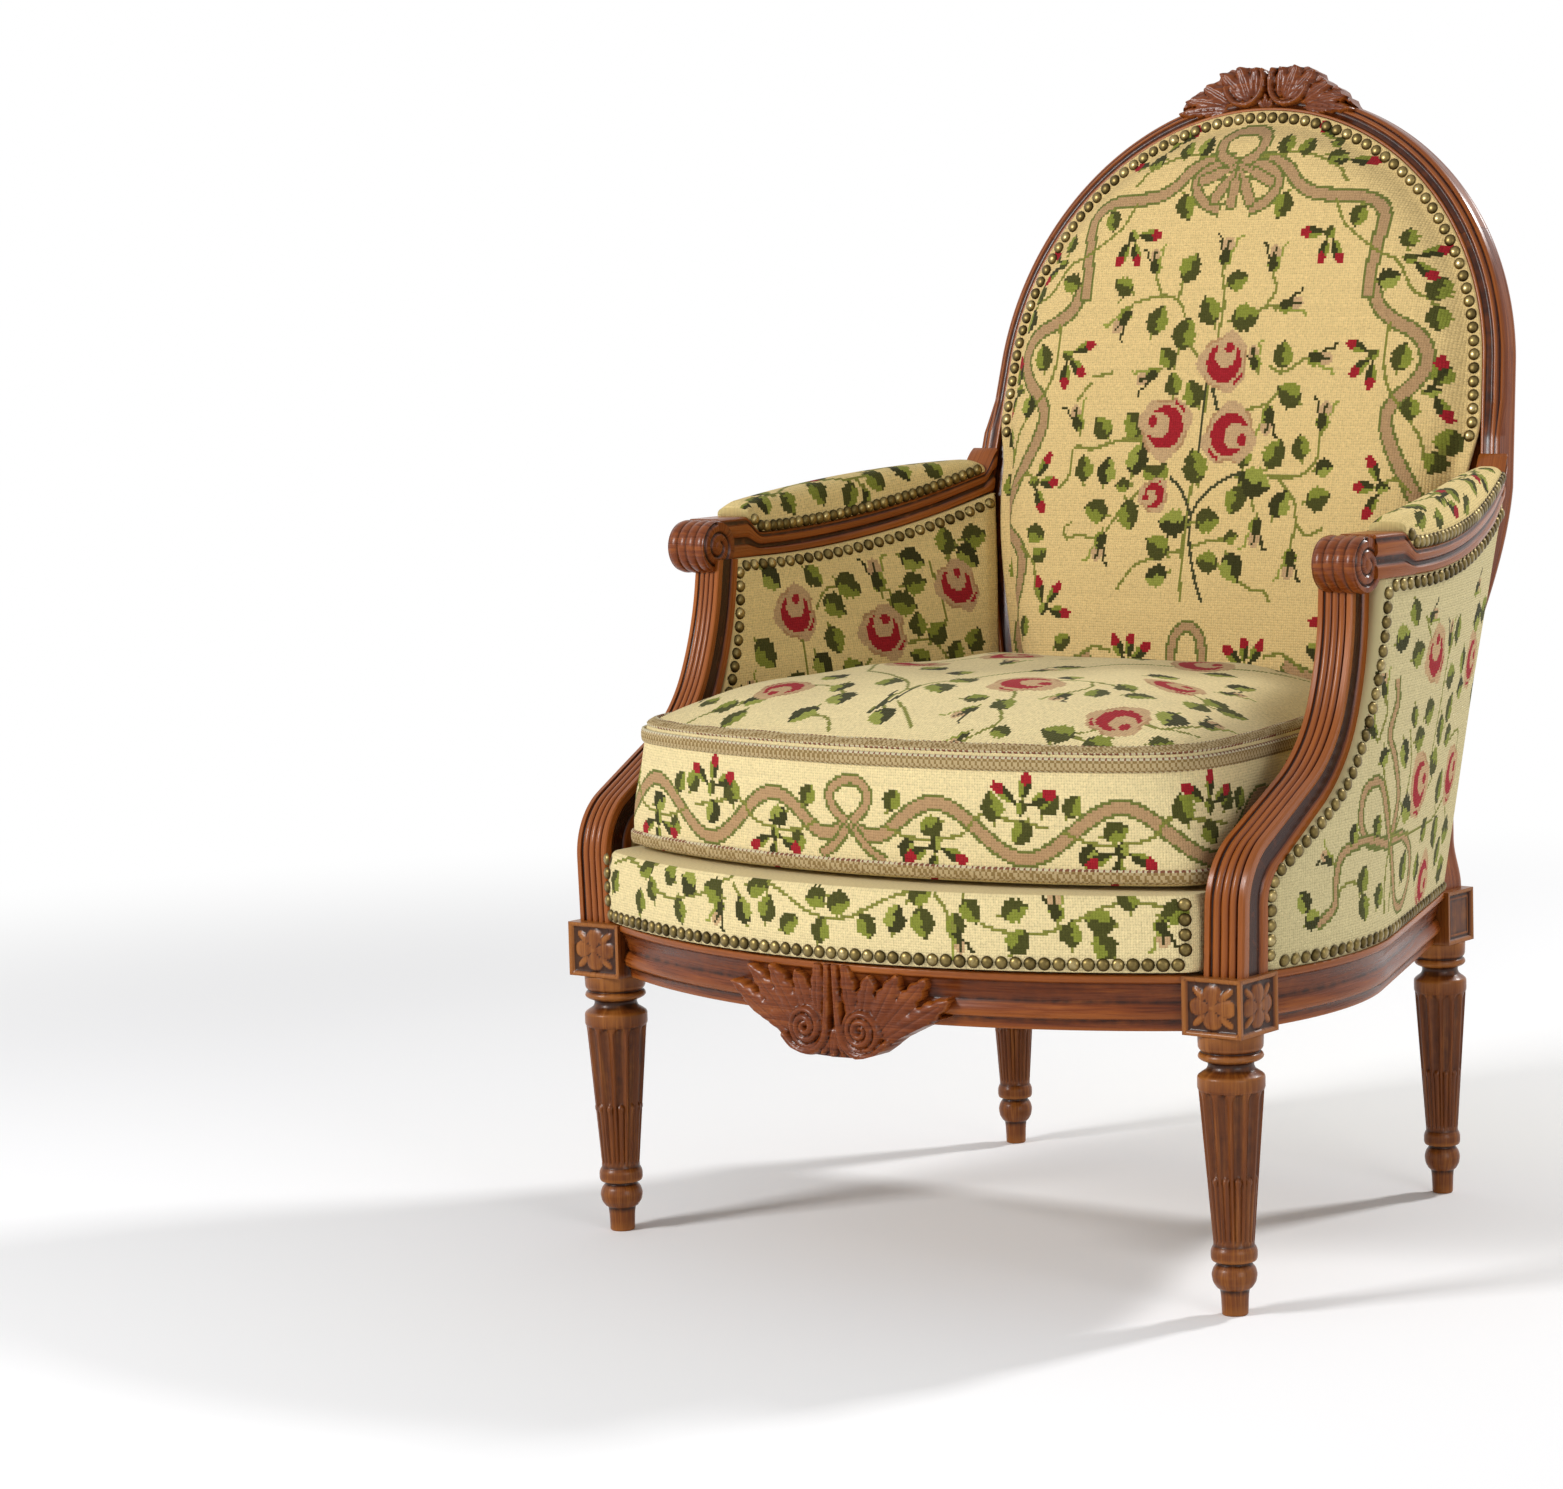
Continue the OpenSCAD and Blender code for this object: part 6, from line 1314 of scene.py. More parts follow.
spread(outer_canvas,
    ribbons=[(9, (198, 345), (228, 346), (256, 330), (262, 306), (242, 287), (217, 292), (206, 315), (197, 342)),
        (9, (193, 345), (154, 350), (141, 370), (150, 392), (174, 395), (186, 370), (194, 347)),
        (9, (192, 343), (150, 352), (112, 346), (101, 326), (98, 306), (74, 294)),
        (9, (200, 350), (211, 380), (201, 410), (189, 432), (201, 456), (200, 476))],
    stems=[[(195, 350), (250, 345), (330, 345), (376, 360)], [(195, 345), (186, 318), (186, 290)],
        [(196, 345), (192, 372), (180, 400), (178, 425)], [(197, 345), (228, 372), (240, 400), (232, 430)],
        [(270, 360), (292, 372), (312, 382)], [(150, 318), (120, 322), (106, 318)],
        [(300, 400), (310, 440), (318, 480), (330, 500)], [(250, 520), (262, 505), (280, 480)],
        [(360, 408), (398, 412), (404, 392)], [(376, 360), (400, 330)], [(194, 345), (200, 318), (198, 290)],
        [(178, 470), (182, 450), (170, 430)]],
    leaves=[(228, 525, 24, 290), (207, 507, 27, 15), (239, 492, 27, 20), (340, 503, 24, 80), (335, 464, 27, 10),
        (375, 472, 24, 280), (280, 441, 27, 20), (241, 440, 20, 280), (222, 412, 26, 290), (259, 421, 26, 10),
        (321, 420, 27, 280), (345, 437, 27, 60), (354, 413, 24, 20), (312, 395, 29, 340), (236, 366, 30, 340),
        (345, 371, 30, 70), (350, 331, 32, 290), (303, 341, 24, 40), (238, 320, 28, 60), (289, 312, 25, 85),
        (376, 312, 27, 60), (402, 326, 29, 350), (402, 293, 30, 20), (169, 362, 20, 60), (144, 322, 24, 60),
        (145, 299, 24, 280), (173, 306, 22, 60), (420, 505, 32, 10), (448, 510, 28, 20), (380, 450, 24, 10),
        (130, 360, 18, 60), (60, 315, 20, 120), (180, 415, 18, 30), (450, 440, 26, 60), (70, 300, 20, 20)],
    roses=[(281, 486, 17, 95), (270, 382, 19, 20), (414, 470, 17, 20), (389, 376, 18, 30), (322, 295, 17, 350)],
    buds=[(318, 500, 90, 26), (265, 520, 20, 24), (178, 472, 95, 24), (160, 440, 120, 24), (90, 345, 150, 22),
        (400, 532, 20, 26)])

shape, dyes = clipped_sheet(back_canvas, back_edge, back_face, np.array([0, 3.0, -0.6]),
                            hub=on_back(0.0, bend_z, -3.0))
stuffed("back_pad", shape, dyes, "back_stuffing")
shape, dyes = clipped_sheet(inner_canvas, inner_edge, inner_face, np.array([8.0, 0, 0]))
stuffed_pair("inside_arm_pad", shape, dyes, "inside_arm_panel")
by_stile = lambda p: clamp01((p[:, 1] - stile_y(p[:, 2]) + 6) / 4)
by_support = lambda p: clamp01((support_back(p[:, 2]) + gap * 3.2 + 3 - p[:, 1]) / 2)
turned_in = lambda p: np.outer(-4 - 10 * np.maximum(by_stile(p), by_support(p)), [1, 0, 0])
shape, dyes = clipped_sheet(outer_canvas, cover_edge, cover_face, turned_in)
stuffed_pair("outside_arm_pad", shape, dyes, "outside_arm_cover")
cover_reach = frame_w - 6


def back_cover_half(z):
    s = (z - arch_z) / cosd(lean)
    return np.where(z < join_z, lip_x(z) + cover_reach, np.sqrt(np.maximum(0, (arch_r + cover_reach) ** 2 - s * s)))


def outside_back_face(x, z):
    leaning = stile_lean(z)
    b = stile_d(z) + 2 * gap + 2
    return np.stack([x, stile_y(z) + b * cosd(leaning), z - b * sind(leaning)], -1)


cover_foot_z = rail_top + 6
outside_edge = arched(back_cover_half, cover_foot_z, arch_r + cover_reach)
outside_canvas = Canvas(-275, 275, 268, 958, ground_outer, 2.8)
for row, z in enumerate(range(310, 930, 88)):
    for col in range(-2, 3):
        x = col * 104 + (52 if row % 2 else 0)
        spread(outside_canvas, stems=[[(x, z - 22), (x + 4, z), (x, z + 20)]],
               leaves=[(x - 10, z - 4, 22, 140), (x + 14, z + 4, 22, 40)], sprigs=[(x, z + 14, (60, 105))])
shape, dyes = clipped_sheet(outside_canvas, outside_edge, outside_back_face, np.array([0, -1.8, 0]), doubled=True)
stuffed("outside_back", shape, dyes, "outside_back_cover", "needlepoint_pale")

# Seat deck

deck_angle, deck_run = even_angles(deck_plan, stitch)
deck_reach = deck_plan(deck_angle)
deck_rows = 27
deck_canvas = Canvas(deck_run[0], deck_run[0] + len(deck_run) * stitch, deck_base, deck_base + deck_rows * stitch,
                     ground_cushion)
spread(deck_canvas,
    stems=[[(0, 302), (-20, 308), (-42, 319), (-64, 327)], [(0, 302), (25, 305), (46, 315), (70, 325), (96, 328)],
        [(128, 314), (142, 304), (160, 299), (186, 298), (210, 306), (232, 317), (256, 323), (286, 320)],
        [(-286, 320), (-262, 326), (-236, 322), (-212, 312), (-198, 305), (-178, 303), (-156, 307), (-138, 311),
        (-122, 320), (-104, 327)], [(-60, 322), (-60, 306)], [(-100, 322), (-88, 308)],
        [(100, 326), (110, 314), (114, 300)]],
    leaves=[(-282, 306, 22, 60), (-225, 322, 24, 200), (-212, 307, 22, 110), (-233, 295, 22, 80),
        (-168, 293, 22, 280), (-158, 317, 24, 150), (-186, 321, 20, 150), (-124, 314, 26, 160), (-88, 302, 24, 110),
        (-72, 322, 24, 0), (-60, 306, 24, 80), (-36, 296, 22, 30), (-4, 293, 22, 75), (-10, 318, 22, 190),
        (14, 315, 24, 10), (40, 298, 22, 290), (66, 306, 24, 80), (90, 303, 26, 280), (88, 326, 22, 30),
        (118, 304, 20, 100), (131, 314, 22, 300), (167, 316, 24, 20), (170, 292, 24, 60), (212, 299, 22, 90),
        (234, 308, 24, 170), (237, 290, 24, 130), (257, 326, 20, 100), (294, 316, 24, 20)],
    buds=[(-118, 298, 250, 26), (120, 291, 290, 24), (200, 319, 100, 26), (282, 300, 280, 26)])
deck_t = np.linspace(0, 1, deck_rows + 1)
deck_inset = np.interp(deck_t, [0, 0.04, 0.3, 0.6, 0.85, 0.96, 1], [1.8, 0, -0.6, -0.6, 0.6, 2.6, 5])
deck_wall = np.stack([plan_points(deck_angle, deck_reach - i + uneven(deck_run, t * 60, 1.0) * sind(180 * t),
                                  lerp(deck_base, deck_top, t)) for t, i in zip(deck_t, deck_inset)])
wall_shape, wall_dye = walled(deck_canvas.worked()[:, :len(deck_angle)], deck_wall)
deck_foot = laid_flat(tube(np.stack([plan_points(deck_angle, r, deck_base)
                                     for r in (deck_reach * 0.2, deck_reach - 1.8)]), capped="first"))
deck_lid = laid_flat(tube(np.stack([plan_points(deck_angle, (deck_reach - 5) * k, deck_top + 2 * (1 - k))
                                    for k in (1, 0.94, 0.8, 0.5, 0.2)]), capped="last"))
plain = deck_canvas.dye[0, 0]
deck_dyes = np.concatenate([np.tile(plain, (len(deck_foot[1]), 1)), wall_dye, np.tile(plain, (len(deck_lid[1]), 1))])
stuffed("seat_deck", outward(joined(deck_foot, wall_shape, deck_lid)), deck_dyes, "seat_stuffing")

# Loose cushion


def box_drawn_in(t):
    """How far the boxing is drawn in at a share of its height: most along its two seams."""
    return 4 * np.interp(t, [0, 0.06, 0.2, 0.5, 0.8, 0.94, 1], [1.6, 0.5, 0.25, 0, 0.25, 0.6, 1])


box_angle, box_run = even_angles(lambda a: cushion_plan(a, 20), stitch)
low_reach, high_reach = cushion_plan(box_angle, 30), cushion_plan(box_angle, 13)
box_rows = 46
box_canvas = Canvas(box_run[0], box_run[0] + len(box_run) * stitch, cushion_base, cushion_base + box_rows * stitch,
                    ground_cushion)
first_spray, spray_pitch = 80, 155
wave = lambda a: (a, 372 + 21 * cosd((abs(a) - first_spray) / spray_pitch * 360) * min(1.0, abs(a) / 40))
far_end = int(-box_run[0]) - 2
for side in (1, -1):
    box_canvas.stroke([wave(side * a) for a in range(0, far_end, 12)], 12, "ribbon", "ribbon_edge")
    for k, middle in enumerate(range(first_spray, far_end, spray_pitch)):
        m = middle * side
        spread(box_canvas,
            stems=[[(m - 45 * side, 372), (m - 25 * side, 365), (m, 364), (m + 25 * side, 370), (m + 38 * side, 384),
                (m + 62 * side, 382), (m + 95 * side, 376)]],
            leaves=[(m - 4 * side, 374, 22, 20 if k % 2 else 200), (m - 26 * side, 354, 20, 250),
                (m + 50 * side, 392, 24, 100), (m + 74 * side, 371, 22, 300 if k % 2 else 240),
                (m + 98 * side, 396, 22, 60), (m - 38 * side, 394, 20, 60)],
            sprigs=[(m, 360, (205, 262, 335)), (m + 75 * side, 391, (142, 80, 25))])
for width, *points in ((9, (-2, 370), (-13, 357), (-30, 346)), (8, (4, 370), (16, 355), (34, 344)),
                       (9, (-2, 374), (-16, 385), (-19, 398), (-6, 407), (8, 407), (18, 397), (14, 385), (2, 374))):
    box_canvas.stroke(points, width, "ribbon", "ribbon_edge")
box_t = np.linspace(0, 1, box_rows + 1)
box_inset = box_drawn_in(box_t)
box_wall = np.stack([plan_points(box_angle, lerp(low_reach, high_reach, ease(t)) - i
                                 + uneven(box_run, t * 90, 1.5) * sind(180 * t), lerp(cushion_base, cushion_top, t))
                     for t, i in zip(box_t, box_inset)])
top_canvas = Canvas(-296, 296, -84, 416, ground_cushion)
spread(top_canvas,
    stems=[[(-15, -18), (-8, 20), (0, 60), (20, 100), (40, 140)], [(-8, 20), (-30, 50), (-60, 70), (-100, 90)],
        [(-60, 5), (-85, 30), (-110, 40), (-138, 30)], [(-78, -28), (-50, -32), (-35, -50)],
        [(0, -4), (20, -20), (40, -40)], [(75, 50), (90, 30), (95, 12)], [(98, 0), (110, -20), (100, -40), (92, -55)],
        [(75, 80), (110, 95), (150, 90), (180, 76)], [(125, 60), (130, 80), (120, 95)],
        [(200, 5), (185, -12), (165, -25), (175, -45)], [(200, 0), (210, -10)],
        [(215, 20), (235, 22), (245, 50), (246, 70)], [(235, 22), (258, 40)], [(170, 130), (200, 130), (215, 120)],
        [(-138, 20), (-150, 0), (-190, -15), (-200, -25)], [(-232, 140), (-250, 110), (-255, 80)],
        [(40, 140), (60, 200), (110, 250)], [(-100, 90), (-130, 160), (-100, 220), (-60, 240)],
        [(110, 250), (150, 280), (180, 330)]],
    dark_stems=[[(-14, -20), (-6, 0), (-4, 30)], [(-16, 15), (-12, -8), (-15, -24)]],
    leaves=[(2, -28, 28, 300), (-78, -28, 28, 250), (-62, 3, 32, 300), (-86, 34, 26, 280), (-46, 48, 28, 110),
        (15, 33, 32, 310), (14, 68, 32, 320), (95, 8, 26, 320), (120, -32, 20, 340), (166, -20, 30, 180),
        (205, -22, 28, 355), (246, 4, 20, 50), (229, 44, 32, 285), (145, 66, 26, 120), (181, 74, 26, 25),
        (155, 92, 24, 150), (213, 134, 24, 160), (232, 128, 26, 30), (215, 102, 28, 280), (62, 18, 22, 20),
        (-175, -6, 24, 200), (-148, 2, 24, 10), (-150, -28, 26, 255), (-206, 12, 22, 150), (-252, 68, 22, 30),
        (-262, 100, 24, 120), (-250, 142, 26, 80), (-200, 90, 28, 60), (-120, 70, 28, 160), (90, 110, 26, 130),
        (-20, 110, 28, 120), (-60, 130, 28, 80), (40, 180, 28, 30), (140, 170, 28, 60), (-140, 190, 28, 150),
        (-180, 220, 26, 110), (-90, 270, 28, 60), (60, 260, 28, 120), (150, 240, 28, 20), (190, 210, 26, 60),
        (0, 240, 28, 270), (-30, 300, 28, 80), (90, 310, 28, 250), (150, 330, 26, 120), (-150, 310, 28, 30),
        (-200, 290, 24, 100), (20, 360, 26, 10), (-90, 360, 26, 190), (180, 370, 24, 80)],
    roses=[(76, 68, 21, 20), (199, 16, 18, 330), (-140, 28, 17, 270), (172, 137, 17, 80), (-233, 150, 18, 180),
        (-95, 150, 19, 40), (-60, 240, 19, 90), (115, 265, 19, 60), (30, 310, 18, 130), (-150, 350, 17, 20)],
    buds=[(70, -10, 250, 28), (125, 44, 275, 30), (247, 74, 90, 32), (-225, 38, 240, 30), (40, 145, 80, 30),
        (-150, 120, 100, 30), (200, 180, 60, 28), (-20, 180, 100, 30), (-200, 330, 120, 26), (210, 330, 60, 26),
        (90, -45, 250, 20)])
top_angle = np.linspace(0, 2 * np.pi, 721)[:-1]
top_edge = plan_points(top_angle, cushion_plan(top_angle, 13) - 4, 0)[:, :2]


def cushion_face(x, y):
    """The crown: height 44 (1 - rho^3.7), with rho the share of the way from the middle to the edge."""
    v = np.stack([x, y], -1) - plan_center
    angle = np.arctan2(v[..., 1], v[..., 0])
    rho = np.clip(np.hypot(v[..., 0], v[..., 1]) / (cushion_plan(angle, 13) - 4), 0, 1)
    return np.stack([x, y, cushion_top + cushion_crown * (1 - rho ** 3.7) + uneven(x, y, 2.6) * (1 - rho ** 5)], -1)


top_shape, top_dye = clipped_sheet(top_canvas, top_edge, cushion_face, np.array([0, 0, -2.0]))
box_shape, box_dye = walled(box_canvas.worked()[:, :len(box_angle)], box_wall)
foot = laid_flat(tube(np.stack([plan_points(box_angle, r, cushion_base)
                                for r in (low_reach * 0.2, low_reach * 0.6, low_reach - 6.4)]), capped="first"))
lid_rings = [plan_points(box_angle, high_reach * k, cushion_top - 5) for k in (0.9, 0.2)]
lid = laid_flat(tube(np.stack([box_wall[-1]] + lid_rings), capped="last"))
plain = box_canvas.dye[0, 0]
cushion_shape = joined(top_shape, outward(joined(foot, box_shape, lid)))
cushion_dyes = np.concatenate([top_dye, np.tile(plain, (len(foot[1]), 1)), box_dye, np.tile(plain, (len(lid[1]), 1))])
stuffed("seat_cushion_stuffed", cushion_shape, cushion_dyes, "seat_cushion", body="cushion")

# Braids on the cushion


def gimp(centre, normal, across, half_w, thick):
    """A flat braid along a closed line: an oval section, its edges scalloped every 5 mm, and its crown ribbed."""
    n = len(centre)
    run = np.arange(n) * np.linalg.norm(np.roll(centre, -1, 0) - centre, axis=1).mean()
    t = np.arange(14) / 14 * 2 * np.pi
    w = half_w * (0.9 + 0.16 * np.abs(np.sin(np.pi * run / 5.0)))[:, None]
    flat = np.sign(np.cos(t)) * np.abs(np.cos(t)) ** 0.8
    up = np.sign(np.sin(t)) * np.abs(np.sin(t)) ** 0.6 * thick
    ribs = 0.5 * np.sin(2 * np.pi * (run[:, None] / 2.5 + flat[None] * 1.2)) * (np.sin(t) > 0.3)
    sideways, raised = (flat[None] * w)[:, :, None], (up[None] + ribs)[:, :, None]
    ring = centre[:, None] + across[:, None] * sideways + normal[:, None] * raised
    shape = tube(np.concatenate([ring, ring[:1]]), capped=False)
    i, j = np.meshgrid(np.arange(n), np.arange(len(t)), indexing="ij")
    edge = np.abs(flat[j]) > 0.72
    loop = ((run[i] / 5.0) % 1) < 0.5
    slant = ((run[i] / 2.5 + flat[j] * 1.2) % 1) < 0.5
    light, tan, rose, pale = (np.array(hex_colour(c)[:3]) for c in ("#cdb586", "#9d8150", "#8f5a45", "#e6dab4"))
    dye = np.where(slant[..., None], light, tan)
    dye = np.where((edge & loop)[..., None], rose, np.where((edge & ~loop)[..., None], pale, dye))
    return shape, dye.reshape(-1, 3)


def along(points):
    return unit(np.roll(points, -1, 0) - np.roll(points, 1, 0))


braid_angle, _ = even_angles(lambda a: cushion_plan(a, 20), 1.7)


def round_box(z, proud):
    t = (z - cushion_base) / (cushion_top - cushion_base)
    reach = lerp(cushion_plan(braid_angle, 30), cushion_plan(braid_angle, 13), ease(t))
    return plan_points(braid_angle, reach - box_drawn_in(t) + proud, z)


def wall_frame(centre):
    up = np.tile([0.0, 0.0, 1.0], (len(centre), 1))
    normal = np.cross(up, along(centre))
    normal *= np.sign(np.sum(normal * (centre - [*plan_center, 0]), 1))[:, None]
    return unit(normal), up


low_line = round_box(cushion_base + 7.5, 0.9)
n_low, up_low = wall_frame(low_line)
shape, dyes = gimp(low_line, n_low, up_low, 5.4, 2.0)
piece("cushion_bottom_gimp", shape, gimp_finish, body="cushion", slot="braid", stands_for=["cushion_bottom_braid"],
      dye=dyes, sharp=180)
top_line = round_box(cushion_top - 7.0, 0.9)
n_top, up_top = wall_frame(top_line)
one, dye_one = gimp(top_line, n_top, up_top, 5.6, 2.0)
crown_line = plan_points(braid_angle, cushion_plan(braid_angle, 13) - 9.5, 0)
crown_line = cushion_face(crown_line[:, 0], crown_line[:, 1])
step_in = crown_line[:, :2] + unit(plan_center - crown_line[:, :2]) * 4
slope_in = unit(cushion_face(step_in[:, 0], step_in[:, 1]) - crown_line)
crown_normal = np.cross(along(crown_line), slope_in)
crown_normal *= np.sign(crown_normal[:, 2:3])
two, dye_two = gimp(crown_line + crown_normal * 0.8, crown_normal, slope_in, 5.4, 2.0)
piece("cushion_top_gimp", joined(one, two), gimp_finish, body="cushion", slot="braid",
      stands_for=["cushion_top_braid"], dye=np.concatenate([dye_one, dye_two]), sharp=180)

# Arm pads


def arm_pad_rings(rows, cols):
    """Over an arm: across, half width |cos|^0.55; up, height sin^0.7, with both ends rounded down over 16 mm."""
    y = pad_y0 + gap + (pad_y1 - pad_y0 - 2 * gap) * np.linspace(0, 1, rows)
    t = clamp01((y - pad_y0) / (pad_y1 - pad_y0))
    end = np.minimum(y - pad_y0, pad_y1 - y)
    rounded = np.sqrt(np.maximum(0, 1 - (1 - clamp01((end + 3) / 16)) ** 2))
    rise = (arm_under(pad_y0) + arm_h + pad_h + pad_climb * sind(90 * t) - arm_top(y) - gap) * rounded
    a = np.linspace(0, np.pi, 181)
    across = np.abs(np.cos(a)) ** 0.55 * np.sign(np.cos(a))
    up = np.clip(np.sin(a), 0, 1) ** 0.7
    rings = []
    for yy, h in zip(y, rise):
        w, mid, z0 = arm_width(yy) - 2, arm_out(yy) - arm_width(yy) / 2, arm_top(yy) + 2.7 * gap
        p = np.stack([mid + w / 2 * across, z0 + h * up], 1)
        run = run_along(p)
        at = np.linspace(0, run[-1], cols + 1)
        rings.append(np.stack([np.interp(at, run, p[:, 0]), np.full(cols + 1, yy), np.interp(at, run, p[:, 1])], 1))
    return np.array(rings)


pad_rows, pad_cols = 128, 34
pad_rings = arm_pad_rings(pad_rows + 1, pad_cols)
pad_canvas = Canvas(pad_y0, pad_y0 + pad_rows * stitch, 0, pad_cols * stitch, ground_side)
spread(pad_canvas,
    stems=[[(222, 40), (250, 46), (280, 36), (310, 40), (345, 48), (380, 38), (410, 34), (440, 42)],
        [(280, 36), (292, 24)], [(345, 48), (352, 62)]],
    leaves=[(232, 52, 22, 80), (246, 34, 22, 300), (262, 56, 22, 60), (236, 20, 20, 20), (300, 52, 24, 70),
        (318, 30, 22, 290), (334, 60, 22, 110), (366, 52, 24, 60), (372, 26, 22, 280), (398, 48, 24, 70),
        (410, 20, 20, 300), (432, 54, 24, 60), (452, 30, 22, 300), (270, 16, 18, 340), (340, 16, 18, 20)],
    sprigs=[(288, 28, (330, 20)), (222, 46, (150,)), (420, 36, (200,))],
    buds=[(352, 66, 90, 22)])
pad_shape = tube(pad_rings)
pad_shape = pad_shape[:3] + (pad_shape[3] / stitch,) + pad_shape[4:]
pad_dye = np.zeros((pad_rows, pad_cols + 1, 3))
pad_dye[:, :pad_cols] = np.transpose(pad_canvas.worked(), (1, 0, 2))[:pad_rows]
pad_dye[:, pad_cols] = pad_canvas.dye[0, 0]
stuffed_pair("arm_pad_stuffed", pad_shape, pad_dye.reshape(-1, 3), "arm_pad")

# Rows of nails

back_line = back_edge[back_edge[:, 1] > arm_under_z + arm_climb + 2.2 * arm_h]
back_line = back_line + unit([0, 650.0] - back_line) * nail_edge
piece("back_row_nails", nail_rows(back_face, [back_line], 1), brass, slot="brass", stands_for=["back_nails"])
arm_line = np.stack([np.linspace(support_back(np.array(arm_under_z - nail_edge)) + 2 * nail_r,
                                 arm_end_y - nail_edge * 1.6, 60)] * 2, 1)
arm_line[:, 1] = arm_under(arm_line[:, 0]) - gap - nail_edge


def support_line(z0):
    z = np.linspace(z0, arm_under_z - nail_edge, 60)
    return np.stack([support_back(z) + nail_edge, z], 1)


panel_front_z = cushion_base + cushion_side_h * 0.6
both("inside_arm_row_nails", nail_rows(inner_face, [arm_line, support_line(panel_front_z)], -1), brass, "brass",
     ["inside_arm_nails"])
yr = np.linspace(float(support_back(np.array(rail_top + nail_edge))) + 3 * nail_r,
                 float(stile_y(np.array(rail_top))) - nail_edge, 40)
rail_line = np.stack([yr, np.full(40, rail_top + nail_edge)], 1)
both("outside_arm_row_nails", nail_rows(cover_face, [arm_line, support_line(rail_top + nail_edge), rail_line], 1),
     brass, "brass", ["outside_arm_nails"])
yp = spaced(np.stack([np.linspace(pad_y0 + nail_r, pad_y1 - nail_r, 60)] * 2, 1))[:, 0]
slope = arm_out(yp + 1) - arm_out(yp)
slope_in = slope - arm_width(yp + 1) + arm_width(yp)
zp = arm_top(yp) + gap + nail_r
outer_nails = domes(np.stack([arm_out(yp) - 0.6, yp, zp], 1), np.stack([np.ones_like(yp), -slope, 0 * yp], 1))
inner_nails = domes(np.stack([arm_out(yp) - arm_width(yp) + 0.6, yp, zp], 1),
                    np.stack([-np.ones_like(yp), slope_in, 0 * yp], 1))
both("arm_pad_row_nails", joined(outer_nails, inner_nails), brass, "brass", ["arm_pad_nails"])
r_nail = bow_r + deck_proud + 1.0
turn_nail = math.asin((deck_front_half - 1.1 * nail_r) / r_nail)
a_nail = np.linspace(-turn_nail, turn_nail, 400)
arc = spaced(np.stack([r_nail * np.sin(a_nail), bow_y - r_nail * np.cos(a_nail)], 1))
front_nails = domes(np.column_stack([arc, np.full(len(arc), deck_base + nail_edge)]),
                    np.column_stack([arc - [0, bow_y], np.zeros(len(arc))]))
end = np.array([r_nail * math.sin(turn_nail), bow_y - r_nail * math.cos(turn_nail)])
ups = deck_base + nail_edge + np.arange(1, int((deck_h - 2 * nail_r) / nail_pitch) + 1) * nail_pitch
side_nails = [domes(np.column_stack([np.full(len(ups), s * end[0]), np.full(len(ups), end[1]), ups]),
                    np.tile([s * end[0], end[1] - bow_y, 0.0], (len(ups), 1))) for s in (-1, 1)]
piece("seat_row_nails", joined(front_nails, *side_nails), brass, slot="brass", stands_for=["seat_nails"])
outside_line = arched(lambda z: back_cover_half(z) - nail_r - 1, cover_foot_z + nail_r,
                      arch_r + cover_reach - nail_r - 1)
piece("outside_back_row_nails", nail_rows(outside_back_face, [outside_line], -1), brass, slot="brass",
      stands_for=["outside_back_nails"])

# Carvings: forms give their height at places, and no_form beside themselves; the highest form shows

no_form = -99


def leaf_lobe(a, b, root, tip, width, height):
    """One lobe of an acanthus leaf: half width sin(pi t^0.85)^0.5 with three or four rounded teeth, a round back and
    a cut vein."""
    run = np.subtract(tip, root)
    long = float(np.hypot(*run))
    t = ((a - root[0]) * run[0] + (b - root[1]) * run[1]) / long ** 2
    v = ((b - root[1]) * run[0] - (a - root[0]) * run[1]) / long
    k = clamp01(t)
    half = np.maximum(0.56 * width * np.sin(np.pi * k ** 0.85) ** 0.5 * (0.8 + 0.26 * np.abs(np.sin(k * long / 3.6))),
                      0.05)
    back = height * (0.4 + 0.6 * k ** 0.7) * np.sqrt(np.clip(1 - (v / half) ** 2, 0, 1)) ** 0.8
    rise = back - 1.3 * np.exp(-(v / 1.0) ** 2) * (k < 0.86)
    return np.where((np.abs(v) < half) & (t > 0) & (t < 1), np.maximum(rise, 0.3), no_form)


def ridge(a, b, points, width, height):
    """A round bead along a curve, with a quirk cut beside its middle."""
    line = smooth_line(points, 1.5)
    d = np.sqrt(np.min([(a - x) ** 2 + (b - y) ** 2 for x, y in line], axis=0))
    return np.where(d < width / 2, height * np.sqrt(np.clip(1 - (2 * d / width) ** 2, 0, 1)) ** 0.7
                    - 0.8 * np.exp(-(d / 0.7) ** 2), no_form)


def volute(a, b, centre, r, height):
    """A rolled scroll: a dome cut by a spiral groove whose radius falls by 0.34 of the whole each turn, with a sunk
    eye."""
    far = np.hypot(a - centre[0], b - centre[1])
    turns = (np.arctan2(b - centre[1], a - centre[0]) / (2 * np.pi)) % 1
    grooves = [np.exp(-((far - r * 0.93 * (1 - 0.34 * (turns + k))) / 1.3) ** 2) for k in range(3)]
    dome = height * np.sqrt(np.clip(1 - (far / r) ** 3, 0, 1))
    rise = dome - 2.9 * np.max(grooves, axis=0) - 4.5 * np.exp(-(far / 2.4) ** 2)
    return np.where(far < r, rise, no_form)


